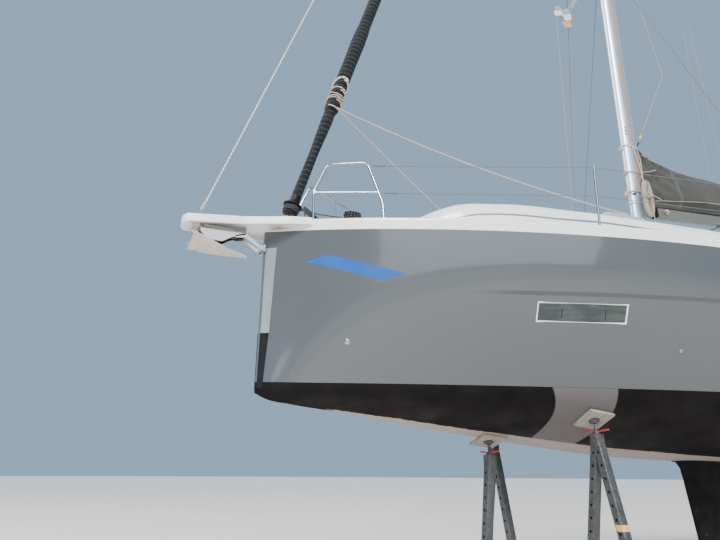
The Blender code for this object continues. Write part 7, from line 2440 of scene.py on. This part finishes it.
def make_door(side, word):
    """A glazed companionway door, with its hinge."""
    door = Shape()
    middle = at(8.695, side * 0.1685, (DOOR_FOOT_H + SLIDE_H - 0.092) / 2)
    tall = SLIDE_H - 0.092 - DOOR_FOOT_H
    turn = Matrix.Translation(middle) @ Matrix.Rotation(math.radians(90), 4, "Y")
    for mark, inset, thick in ((0, 0.0, 0.020), (1, 0.034, 0.0212)):
        rings = []
        for soft, z in ((0.002, -thick / 2), (0, 0.002 - thick / 2), (0, thick / 2 - 0.002),
                (0.002, thick / 2)):
            rings.append(ring_on(turn, z, tall - 2 * (inset + soft), 0.331 - 2 * (inset + soft), 0.02, 4))
        door.grid(rings, mark, ring=True, caps=True)
    for h in (1.36, 1.92):
        door.box(at(8.690, side * 0.280, h + 0.002), at(8.737, side * 0.334, h + 0.058), 2, soft=0.003)
        door.box(at(8.726, side * 0.31, h + 0.002), at(8.738, side * 0.356, h + 0.058), 2, soft=0.003)
        door.rod(at(8.734, side * 0.352, h - 0.018), at(8.734, side * 0.352, h + 0.078), 0.006, 12, 2)
    door.turned(at(8.705, side * 0.05, 1.62), AFT, ((0.016, 0), (0.016, 0.003), (0.009, 0.006),
        (0.009, 0.018), (0.004, 0.02)), 16, 2)
    door.done(f"door_{word}_panel", "white glass steel", "dark_glass", f"door_{word}_body",
        (f"companionway_door_{word}",))
    lugs = Shape()
    for h in (1.336, 1.42, 1.896, 1.98):
        lugs.box(at(8.719, side * 0.340, h), at(8.746, side * 0.364, h + 0.024), soft=0.003)
    lugs.done(f"door_hinges_{word}", "steel", "stainless")


def make_doors():
    for side, word in SIDES:
        make_door(side, word)


def roof_side(s, share, off):
    """A point on the coachroof's sloping side, at a share of its height and off metres outside."""
    _, foot, shoulder, side_h, _ = roof_at(s)
    low, high = Vector((foot, edge_height(s) + 0.02)), Vector((shoulder + 0.045, side_h - 0.05))
    face = high - low
    normal = Vector((face.y, -face.x)).normalized()
    return low + face * share + normal * off


ROOF_GLASS_S, ROOF_GROOVE_S = (2.07, 7.60), (1.84, 7.70)


def make_roof_windows():
    """The long dark panes in the coachroof's sides and, above them, a grey band standing for the moulded
    groove: its grey is painted shade under the groove's lip.
    """
    groove_shades = Shape()
    (first, last), (groove_start, groove_end) = ROOF_GLASS_S, ROOF_GROOVE_S
    for side, word in SIDES:
        rows = []
        for i in range(71):
            s = first + (last - first) * i / 70
            _, foot, shoulder, side_h, _ = roof_at(s)
            length = math.hypot(foot - shoulder - 0.045, side_h - 0.05 - edge_height(s) - 0.02)
            low = 0.08
            high = low + (0.53 * length - low) * min(1, 0.35 + (s - first) / 0.9)
            middle = (low + high) / 2
            half = (high - low) / 2 * min(1, math.sqrt(clamp((s - first) / 0.06 + 0.12)),
                math.sqrt(clamp((last - s) / 0.12) + 0.2))
            row = []
            for k, off in ((0, -0.004), (0.04, 0.0022), (0.5, 0.0026), (0.96, 0.0022), (1.0, -0.004)):
                spot = roof_side(s, (middle - half + 2 * half * k) / length, off)
                row.append(at(s, side * spot.x, spot.y))
            rows.append(row)
        Shape().grid(rows, caps=True).done(f"roof_glass_{word}", "glass", "dark_glass",
            replaces=(f"coachroof_window_{word}",))
        # The groove is a thin band just off the roof's side, with its shade painted on in grey.
        rows = []
        for i in range(61):
            s = groove_start + (groove_end - groove_start) * i / 60
            share = float(np.interp(s, (1.84, 1.90, 2.10, 2.34, 2.9, 3.5, 7.7),
                (0.52, 0.60, 0.665, 0.69, 0.66, 0.72, 0.72)))
            half = 0.030 * ease((s - groove_start) / 0.2)
            row = []
            for k, off in ((-1, -0.001), (-0.85, 0.0016), (0.85, 0.0016), (1, -0.001)):
                spot = roof_side(s, share + k * half, off)
                row.append(at(s, side * spot.x, spot.y))
            rows.append(row)
        groove_shades.grid(rows)
    groove_shades.done("roof_side_groove_shade", "groove", "black_plastic")


def winch(shape, base, big=1.0):
    ribs = [(0.050 + 0.0012 * (k % 2), 0.038 + 0.0045 * k) for k in range(9)]
    shape.turned(base, (0, 0, 1), [(r * big, d) for r, d in ((0.077, 0.0), (0.078, 0.003), (0.078, 0.018),
        (0.074, 0.022), (0.058, 0.030), (0.052, 0.034), *ribs, (0.053, 0.082), (0.060, 0.100),
        (0.065, 0.108), (0.067, 0.114), (0.060, 0.119), (0.060, 0.125), (0.068, 0.130), (0.068, 0.142),
        (0.062, 0.148), (0.040, 0.151), (0.030, 0.156), (0.020, 0.157), (0.018, 0.148), (0.002, 0.148))],
        36)


def make_winches():
    for side, word in SIDES:
        for name, s, y, h in (("roof", 8.22, 0.93, roof_top(8.22, 0.93) + 0.012),
                ("cockpit", 10.75, 1.395, COAMING_H + 0.0104)):
            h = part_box(f"{name}_winch_{word}")[0].z - WATER_Z
            spot = at(s, side * y, h)
            body = Shape()
            winch(body, spot)
            body.done(f"{name}_winch_drum_{word}", "steel", "stainless",
                replaces=(f"{name}_winch_{word}",))
            pad = Shape()
            rings = [[spot + Vector((x, y2, z)) for x, y2 in rounded(0.2 - 2 * i, 0.2 - 2 * i, 0.05, 5)]
                for i, z in ((-0.003, -0.05), (-0.003, -0.004), (0.002, -0.001))]
            pad.grid(rings, ring=True, caps=True)
            arm = spot + Vector((0, 0, 0.128))
            pad.box(arm + Vector((-0.006, 0.030, -0.004)), arm + Vector((0.006, 0.069, 0.004)), 1,
                soft=0.002)
            pad.done(f"{name}_winch_pad_{word}", "white black", "moulding_white")


def make_windlass():
    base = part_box("windlass")[0].z
    spot = Vector((STEM_X - WINDLASS_S, 0, base))
    body = Shape().turned(spot, UP, ((0.085, 0), (0.085, 0.012), (0.078, 0.017), (0.060, 0.024),
        (0.056, 0.032), (0.066, 0.040), (0.070, 0.048), (0.064, 0.058), (0.044, 0.066), (0.041, 0.075),
        (0.041, 0.098), (0.048, 0.112), (0.055, 0.122), (0.052, 0.130), (0.030, 0.133), (0.020, 0.135),
        (0.016, 0.128), (0.002, 0.128)), 32)
    for k in range(5):
        a = 2 * math.pi * k / 5
        way = Vector((math.cos(a), math.sin(a), 0))
        body.box(spot + way * 0.062 + Vector((-0.006, -0.006, 0.026)), spot + way * 0.062
            + Vector((0.006, 0.006, 0.060)), soft=0.003)
    body.done("windlass_drum", "steel", "stainless", replaces=("windlass",))
    gear = Shape()
    gear.box((spot.x - 0.10, -0.11, base - 0.03), (spot.x + 0.10, 0.11, base - 0.0004), 0, soft=0.010)
    gear.box((spot.x + 0.06, 0.02, base - 0.002), (spot.x + 0.16, 0.07, base + 0.016), 1, soft=0.006)
    gear.done("windlass_base", "white steel", "moulding_white")


def cleat(shape, s, y, along=Vector((1, 0, 0)), size=0.28):
    base = at(s, y, deck_floor(s, y) if abs(y) < deck_half(s) else edge_height(s))
    for way in (0.055, -0.055):
        foot = base + along * way
        shape.turned(foot, UP, ((0.024, 0), (0.024, 0.004), (0.012, 0.010), (0.011, 0.040)), 14)
    shape.tube([base + along * (size / 2 * v) + Vector((0, 0, 0.046 + 0.008 * v * v))
        for v in (-1, -0.8, -0.4, 0, 0.4, 0.8, 1)], [0.006, 0.010, 0.012, 0.013, 0.012, 0.010, 0.006], 12)


SHEET_TRACK = ((-0.016, 0), (-0.016, 0.008), (-0.008, 0.016), (0.008, 0.016), (0.016, 0.008), (0.016, 0))


def make_deck_gear():
    steel = Shape()
    for s, inset in ((1.55, 0.11), (7.4, 0.10), (12.55, 0.10)):
        cleat(steel, s, deck_half(s) - TOE_RAIL_WIDTH - inset + 0.02)
    rail = [at(s, roof_at(s)[2] * 0.93, roof_top(s, roof_at(s)[2] * 0.93) + 0.055)
        for s in span(6.5, 7.9, 0.1)]
    steel.tube(rail, 0.011, 12)
    for s in (6.5, 7.2, 7.9):
        y = roof_at(s)[2] * 0.93
        steel.rod(at(s, y, roof_top(s, y) - 0.01), at(s, y, roof_top(s, y) + 0.055), 0.010)
        steel.turned(at(s, y, roof_top(s, y) - 0.002), UP, ((0.026, 0), (0.026, 0.005), (0.010, 0.008)),
            16)
    track = []
    for s in np.linspace(5.6, 7.2, 20):
        y = deck_half(s) - 0.36
        track.append([at(s, y + w, deck_floor(s, y) + z) for w, z in SHEET_TRACK])
    steel.grid(track, caps=True)
    steel.mirror().done("deck_cleats_and_rails", "steel", "stainless")


def make_clutches():
    """Rope clutches, the sheet cars and the blocks at the foot of the mast."""
    black = Shape()
    for i in range(5):
        y = 0.56 + 0.07 * i
        base = at(8.02, y, roof_top(8.02, y) - 0.002)
        black.box(base + Vector((-0.075, -0.028, 0)), base + Vector((0.075, 0.028, 0.052)), soft=0.008)
        black.box(base + Vector((-0.085, -0.014, 0.048)), base + Vector((0.045, 0.014, 0.066)),
            soft=0.006)
    y = deck_half(6.5) - 0.36
    car = at(6.5, y, deck_floor(6.5, y) + 0.012)
    black.box(car + Vector((-0.07, -0.026, 0)), car + Vector((0.07, 0.026, 0.020)), soft=0.008)
    black.turned(car + Vector((0, -0.014, 0.050)), TO_PORT, ((0.004, 0), (0.034, 0), (0.036, 0.003),
        (0.028, 0.014), (0.036, 0.025), (0.034, 0.028), (0.004, 0.028)), 24)
    for i in range(4):
        y = 0.20 + 0.07 * i
        base = at(5.86, y, roof_top(5.86, y) - 0.002)
        black.turned(base, UP, ((0.026, 0), (0.026, 0.004), (0.022, 0.006), (0.018, 0.014),
            (0.022, 0.022), (0.020, 0.026), (0.004, 0.028)), 18)
    black.mirror().done("deck_clutches_and_cars", "black", "black_plastic")


def make_led_lines():
    """The lines led from the mast aft to the clutches."""
    lines = Shape()
    for i in range(4):
        y, far = 0.20 + 0.07 * i, 0.56 + 0.07 * i
        path = [at(s, y + (far - y) * ease((s - 5.9) / 2.0),
            roof_top(s, y + (far - y) * ease((s - 5.9) / 2.0)) + 0.016) for s in np.linspace(5.9, 7.94,
            18)]
        lines.tube(path, 0.0055, 6)
    lines.mirror().done("deck_led_lines", "rope_grey", "sail_black")


# Teak on the port side. Columns: s of both ends, y of both sides, height underneath
TEAK_PANELS = (
    (8.76, 11.16, 0.64, 1.22, SEAT_H),
    (8.76, 9.40, 0.02, 0.56, SOLE_H),
    (9.44, 10.41, 0.16, 0.56, SOLE_H),
    (10.45, 11.25, 0.02, 0.56, SOLE_H),
    (11.30, 11.56, 0.02, 1.38, SOLE_H),
    (11.92, 12.76, 0.02, 1.38, SOLE_H),
    (12.82, 13.47, 0.02, 0.59, SOLE_H + 0.06),
)


def make_deck_panels():
    """Non-skid on the side decks and the coachroof, teak on the seats and the sole."""
    skid = Shape()
    for side in (1, -1):
        for s0, s1 in ((1.60, 2.7), (2.8, 4.4), (4.5, 5.8), (5.9, 7.3), (7.4, 8.7)):
            rows = []
            for s in np.linspace(s0, s1, 12):
                foot = max(roof_at(max(s, 1.42))[1] + 0.07, 0.15)
                edge = deck_half(s) - TOE_RAIL_WIDTH - 0.13
                rows.append(
                    [at(s, side * (foot + (edge - foot) * k / 6),
                    deck_floor(s, foot + (edge - foot) * k / 6) + SKIN_OVER) for k in range(7)])
            skid.grid(rows)
        for s0, s1 in ((3.25, 4.15), (4.9, 5.25), (5.95, 7.2)):
            rows = []
            for s in np.linspace(s0, s1, 10):
                edge = roof_at(s)[2] * 0.80
                rows.append(
                    [at(s, side * (0.06 + (edge - 0.06) * k / 8),
                    roof_top(s, 0.06 + (edge - 0.06) * k / 8) + SKIN_OVER) for k in range(9)])
            skid.grid(rows)
    skid.done("deck_nonskid_panels", "skid", "moulding_white")
    teak = Shape()

    def panel(s0, s1, y0, y1, h):
        middle = at((s0 + s1) / 2, (y0 + y1) / 2, h)
        rings = [[middle + Vector((x, y, z))
            for x, y in rounded(abs(s1 - s0) - 2 * i, abs(y1 - y0) - 2 * i, 0.02, 3)]
            for i, z in ((0, -0.001), (0, 0.005), (0.003, 0.007))]
        teak.grid(rings, ring=True, caps=True)

    for side in (1, -1):
        for s0, s1, y0, y1, h in TEAK_PANELS:
            panel(s0, s1, side * y0, side * y1, h)
    teak.done("cockpit_teak", "teak", "timber")


def make_rolled_cover():
    """A grey-blue sprayhood cover, rolled and laid on the coachroof's port side before the mast."""
    rows = []
    for i in range(41):
        t = i / 40
        s = 3.86 + 0.86 * t
        r = 0.064 * (0.45 + 0.55 * ease(t / 0.10)) * (1 - 0.55 * ease((t - 0.72) / 0.28))
        y = 0.80 + 0.02 * math.sin(3 * t)
        base = roof_top(s, y) + 0.002
        row = []
        for k in range(24):
            a = 2 * math.pi * k / 24
            dent = 1 + 0.05 * noise.noise(Vector((4 * t, math.cos(a) * 2, math.sin(a) * 2)))
            row.append(at(s, y + 1.3 * r * dent * math.cos(a), base + 0.97 * r + 0.97 * r * dent
                * math.sin(a)))
        rows.append(row)
    cover = Shape().grid(rows, ring=True, caps=True)
    cover.done("rolled_cover", "cover", "cover_olive")


# Cockpit

def make_console(side, word):
    y = side * HELM_Y
    low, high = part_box(f"helm_console_{word}")
    middle = (low + high) / 2
    console = Shape()
    rings = []
    for share, wide, long in ((0.0, 0.98, 0.90), (0.03, 0.99, 0.94), (0.55, 0.92, 0.90), (0.86, 1.0, 1.0),
            (0.93, 1.0, 1.0)):
        rings.append([Vector((middle.x + x * long, y + v * wide, low.z + share * (high.z - low.z)))
            for x, v in rounded(high.x - low.x, high.y - low.y, 0.045, 5)])
    rings.append(
        [Vector((middle.x + x * 0.80 + 0.02, y + v * 0.86, high.z - 0.003 - 0.10 * (x < 0) * 0.35))
        for x, v in rounded(high.x - low.x, high.y - low.y, 0.045, 5)])
    console.grid(rings, 0, ring=True, caps=True)
    console.box((low.x + 0.02, y - 0.085, high.z - 0.012), (middle.x + 0.02, y + 0.085, high.z + 0.0), 1,
        soft=0.005)
    console.turned((middle.x + 0.07, y, high.z - 0.03), UP, ((0.055, 0), (0.055, 0.012), (0.045, 0.024),
        (0.02, 0.029), (0.002, 0.030)), 28, 1)
    console.turned(at(WHEEL_S - 0.09, y, WHEEL_H), AFT, ((0.05, -0.01), (0.05, 0.006), (0.03, 0.012),
        (0.014, 0.014)), 24, 2)
    console.done(f"console_{word}", "white black steel", "moulding_white",
        replaces=(f"helm_console_{word}",))


def make_wheel(side, word):
    y = side * HELM_Y
    hub = at(WHEEL_S, y, WHEEL_H)
    rim, metal = Shape(), Shape()
    rim.tube([hub + Vector((0, WHEEL_RADIUS * math.cos(a), WHEEL_RADIUS * math.sin(a)))
        for a in circle(96)], 0.0138, 12, closed=True)
    for a in circle(5):
        a += math.radians(90)
        end = hub + Vector((0, math.cos(a), math.sin(a))) * (WHEEL_RADIUS - 0.01)
        metal.tube([hub, hub.lerp(end, 0.5), end], [0.0095, 0.0085, 0.0080], 12)
    metal.turned(hub + Vector((0.045, 0, 0)), AFT, ((0.014, 0), (0.045, 0.006), (0.045, 0.030),
        (0.038, 0.044), (0.030, 0.066), (0.022, 0.074), (0.003, 0.0745)), 28)
    metal.rod(at(WHEEL_S - 0.165, y, WHEEL_H), hub, 0.0128, 20)
    rim.done(f"wheel_rim_{word}", "hide", "black_plastic", f"helm_{word}", (f"wheel_{word}",))
    metal.done(f"wheel_spokes_{word}", "steel", "stainless", f"helm_{word}")


def make_helms():
    for side, word in SIDES:
        make_console(side, word)
        make_wheel(side, word)


def make_table():
    low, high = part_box("cockpit_table")
    table = Shape()
    middle = (low + high) / 2
    for y0, y1 in ((low.y, -0.002), (0.002, high.y)):
        table.box((low.x, y0, high.z - 0.040), (high.x, y1, high.z), 0, soft=0.008)
    rings = []
    for share, wide in ((0.0, 1.0), (0.02, 1.0), (0.10, 0.90), (0.92, 0.90), (1.0, 1.0)):
        z = low.z + share * (high.z - 0.040 - low.z)
        rings.append([Vector((middle.x + x * wide, y * wide, z))
            for x, y in rounded(0.95, 0.24, 0.05, 5)])
    table.grid(rings, 1, ring=True, caps=True)
    for x in (low.x + 0.05, high.x - 0.05):
        table.tube(rounded_path([(x, -0.13, high.z - 0.01), (x, -0.13, high.z - 0.035),
            (x, 0.13, high.z - 0.035), (x, 0.13, high.z - 0.01)], 0.02), 0.009, 10, 2)
    table.done("table_top_and_leg", "teak white steel", "timber", replaces=("cockpit_table",))


def make_platform():
    hinge_s, hinge_h = PLATFORM_HINGE
    low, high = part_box("bathing_platform")
    middle = (low + high) / 2
    panel = Shape()
    width, bottom = high.y - low.y, WATER_Z + 0.38
    tall = high.z - bottom
    turn = Matrix.Translation((middle.x, 0, bottom + tall / 2)) @ Matrix.Rotation(math.radians(90), 4,
        "Y")
    rings = []
    for inset, z in ((0.006, -0.025), (0, -0.019), (0, 0.019), (0.006, 0.025)):
        rings.append(ring_on(turn, z, tall - 2 * inset, width - 2 * inset, 0.05, 6))
    panel.grid(rings, 0, ring=True, caps=True)
    for k in range(4):
        w = (width - 0.24) / 4
        y0 = -width / 2 + 0.12 + k * w
        panel.box((middle.x + 0.018, y0 + 0.01, bottom + 0.10),
            (middle.x + 0.0246, y0 + w - 0.01, high.z - 0.08), 1, soft=0.002)
    for y in (PLATFORM_HINGE_HALF, -PLATFORM_HINGE_HALF):
        panel.box((middle.x - 0.011, y - 0.049, WATER_Z + hinge_h - 0.004),
            (middle.x + 0.009, y + 0.049, WATER_Z + hinge_h + 0.05), 2, soft=0.003)
        panel.rod(at(hinge_s, y - 0.066, hinge_h), at(hinge_s, y + 0.066, hinge_h), 0.006, 12, 2)
    panel.box((middle.x - 0.0250, -0.16, high.z - 0.075), (middle.x - 0.018, 0.16, high.z - 0.050), 2,
        soft=0.003)
    panel.done("platform_panel", "white teak steel", "moulding_white", "platform_body",
        ("bathing_platform",))
    lugs = Shape()
    for y in (PLATFORM_HINGE_HALF, -PLATFORM_HINGE_HALF):
        for way in (1, -1):
            centre = y + way * (0.05 + 0.018)
            lugs.box(at(hinge_s - 0.04, centre - 0.012, hinge_h - 0.012),
                at(hinge_s + 0.012, centre + 0.012, hinge_h + 0.012), soft=0.003)
    lugs.done("platform_hinges", "steel", "stainless")


# Keel, rudder and drive

def foil_ring(s0, chord, thick, h, count=18):
    """A symmetric foil section: its outline at one height, from the trailing edge round."""
    port = []
    for k in range(count + 1):
        x = 0.5 * (1 - math.cos(math.pi * k / count))
        y = 5 * (0.2969 * math.sqrt(x) - 0.1260 * x - 0.3516 * x ** 2 + 0.2843 * x ** 3 - 0.1015 * x ** 4)
        port.append((s0 + chord * x, thick * max(y, 0.012)))
    return [at(s, y, h) for s, y in port] + [at(s, -y, h) for s, y in reversed(port)]


def make_keel():
    keel = Shape()
    rows = []
    for k in range(13):
        t = k / 12
        fair = 0.10 * (1 - ease(t / 0.10))
        s0 = 5.53 + 0.21 * t - fair
        rows.append(foil_ring(s0, 1.60 - 0.35 * t + 1.5 * fair, 0.20 - 0.03 * t + 0.1 * fair,
            KEEL_ROOT_H + (KEEL_FOOT_H - KEEL_ROOT_H) * t))
    keel.grid(rows, ring=True, caps=True)
    rings = []
    middle = 5.74 + 0.5 * 1.25 + 0.05
    girths = ((0, 0.10), (0.04, 0.42), (0.12, 0.72), (0.26, 0.95), (0.42, 1.0), (0.62, 0.86),
        (0.82, 0.52), (1, 0.10))
    for share in (0, 0.008, 0.02, 0.04, 0.07, *np.linspace(0.12, 0.96, 22), 1.0):
        girth = float(np.interp(share, [g[0] for g in girths], [g[1] for g in girths]))
        s = middle + (share - 0.45) * 2.15
        ring = []
        for k in range(36):
            a = 2 * math.pi * k / 36
            h = BULB_FOOT_H + 0.17 + 0.62 * 0.34 * girth * math.sin(a)
            ring.append(at(s, 0.21 * girth * math.cos(a), max(h, BULB_FOOT_H)))
        rings.append(ring)
    keel.grid(rings, ring=True, caps=True)
    keel.done("keel_and_bulb", "iron", "cast_iron", replaces=("keel",), angle=50)


def make_keel_joint():
    """The bead of sealant between the keel and the hull."""
    joint = Shape()
    ring = [Vector((p.x, p.y * 1.02, p.z)) for p in foil_ring(5.42, 1.76, 0.212, -0.648)]
    joint.tube(ring, 0.006, 6, closed=True)
    joint.done("keel_joint_seal", "black", "black_plastic")


def make_rudder():
    rudder = Shape()
    rows = []
    for t in (0, 0.01, *np.linspace(0.08, 0.9, 10), 0.95, 0.985, 1.0):
        chord = 0.62 - 0.20 * t
        tip = clamp((t - 0.9) / 0.1)
        chord *= 1 - 0.30 * tip ** 2
        rows.append(foil_ring(RUDDER_STOCK_S - 0.22 * chord, chord,
            (0.115 - 0.04 * t) * (1 - 0.5 * tip ** 2), -0.235 - 1.55 * 1.015 * t))
    rudder.grid(rows, ring=True, caps=True)
    rudder.done("rudder_blade_skin", "iron", "cast_iron", "rudder_blade", ("rudder",), angle=50)
    Shape().rod(at(RUDDER_STOCK_S, 0, -0.5), at(RUDDER_STOCK_S, 0, 0.10), 0.0448,
        28).done("rudder_stock_bar", "steel", "stainless", "rudder_blade")


def make_drive():
    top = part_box("saildrive")[1].z - WATER_Z
    leg = Shape()
    rows = []
    for s0, chord, thick, h in ((8.35, 0.42, 0.12, top), (8.36, 0.40, 0.105, top - 0.02),
            (8.38, 0.36, 0.09, top - 0.05), (8.40, 0.33, 0.086, top - 0.11), (8.42, 0.28, 0.080, -0.88),
            (8.425, 0.27, 0.070, -0.98), (8.43, 0.26, 0.05, -1.06), (8.44, 0.24, 0.030, -1.07)):
        rows.append(foil_ring(s0, chord, thick, h, 14))
    leg.grid(rows, ring=True, caps=True)
    leg.turned(at(8.33, 0, SHAFT_H), AFT, ((0.004, 0), (0.022, 0.008), (0.040, 0.03), (0.052, 0.07),
        (0.057, 0.12), (0.058, 0.30), (0.055, 0.38), (0.050, 0.41), (0.016, 0.41)), 28)
    for dh in (0.0, 0.014, 0.028, 0.042):
        leg.box(at(8.45, -0.041, -0.80 + dh), at(8.52, 0.041, -0.793 + dh), 1, soft=0.001)
    leg.turned(at(8.741, 0, SHAFT_H), FORWARD, ((0.016, -0.001), (0.052, 0.0), (0.052, 0.012),
        (0.045, 0.02)), 24, 2)
    leg.done("drive_leg", "drive black zinc", "drive_grey", replaces=("saildrive",))


def make_propeller():
    """Three blades on a tapered hub."""
    start = 8.55 + 0.19 + 0.006
    hub = Shape().turned(at(start, 0, SHAFT_H), AFT, ((0.016, 0), (0.052, 0.001), (0.055, 0.006),
        (0.054, 0.05), (0.047, 0.10), (0.034, 0.13), (0.024, 0.1495), (0.010, 0.150)), 28)
    hub.rod(at(8.66, 0, SHAFT_H), at(start + 0.05, 0, SHAFT_H), 0.0148, 16)
    middle = at(start + 0.06, 0, SHAFT_H)
    for k in range(3):
        turn = Matrix.Rotation(2 * math.pi * k / 3, 4, "X")
        rows = []
        for r in np.linspace(0.035, 0.239, 14):
            chord = float(np.interp(r, (0.035, 0.10, 0.17, 0.21, 0.232, 0.239),
                (0.055, 0.100, 0.118, 0.100, 0.060, 0.02)))
            pitch = float(np.interp(r, (0.035, 0.10, 0.18, 0.24), (48, 36, 25, 19)))
            a = math.radians(90 - pitch)
            way, off = Vector((math.cos(a), math.sin(a), 0)), Vector((-math.sin(a), math.cos(a), 0))
            ring = []
            for b in circle(16):
                spot = way * (0.5 * chord * math.cos(b)) + off * (0.0055 * (1 - 0.6 * (r - 0.035) / 0.204)
                    * math.sin(b))
                ring.append(middle + turn @ Vector((spot.x, spot.y, r)))
            rows.append(ring)
        hub.grid(rows, ring=True, caps=True)
    hub.done("propeller_hub_and_blades", "bronze", "bronze", "propeller_body", ("propeller",), angle=50)


# The scene

def paint_node(node, paint):
    node.data.materials.clear()
    node.data.materials.append(PAINTS[paint])


PAINTS = make_paints()
for make in (make_camera, make_light, make_floor, make_hull, make_hull_windows, make_stem_guard,
        make_bow_bar, make_hull_fittings, make_deck, make_sprit, make_bow_bracket, make_anchor,
        make_sprit_gear, make_bow_halyard, make_furled_sail, make_lashings, make_drum, make_drum_turns,
        make_forestay_fork, make_furling_lead, make_rails, make_mast, make_mast_fittings,
        make_standing_rigging, make_props, make_block, make_bag, make_bag_rope, make_bag_straps,
        make_bag_front, make_mast_lashings, make_halyard_hank, make_furling_coil, make_mooring_coil,
        make_boom, make_boom_ends, make_vang, make_mainsheet, make_mast_halyards, make_main_halyard,
        make_lazy_jacks, make_flags, make_hatches, make_locker_lid, make_locker_well, make_companionway,
        make_doors, make_roof_windows, make_winches, make_windlass, make_deck_gear, make_clutches,
        make_led_lines, make_deck_panels, make_rolled_cover, make_helms, make_table, make_platform,
        make_keel, make_keel_joint, make_rudder, make_drive, make_propeller):
    make()
# Paints on the solids themselves; SIDE stands for port and for starboard
SOLID_PAINTS = {
    "iron": "keel rudder", "beam": "keel_block", "drive": "saildrive", "bronze": "propeller",
    "anchor": "anchor", "alloy": "mast boom vang", "black": "furler_drum", "sail": "furled_headsail",
    "olive": "sail_bag", "teak": "cockpit_table", "hide": "wheel_SIDE", "glass": "hull_window_SIDE"
    " coachroof_window_SIDE companionway_door_SIDE fore_hatch saloon_hatch",
    "white": "anchor_locker_lid companionway_slide bathing_platform helm_console_SIDE",
    "steel": "bow_bracket windlass forestay roof_winch_SIDE cockpit_winch_SIDE shrouds_SIDE"
    " backstay_SIDE pulpit_SIDE guardrail_SIDE pushpit_SIDE"}
for paint, nodes in SOLID_PAINTS.items():
    for name in sorted({node.replace("SIDE", word) for node in nodes.split() for _, word in SIDES}):
        paint_node(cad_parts[name], paint)
for name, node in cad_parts.items():
    if name.startswith("prop_"):
        paint_node(node, "ply" if name.endswith("pad") else "zinc")
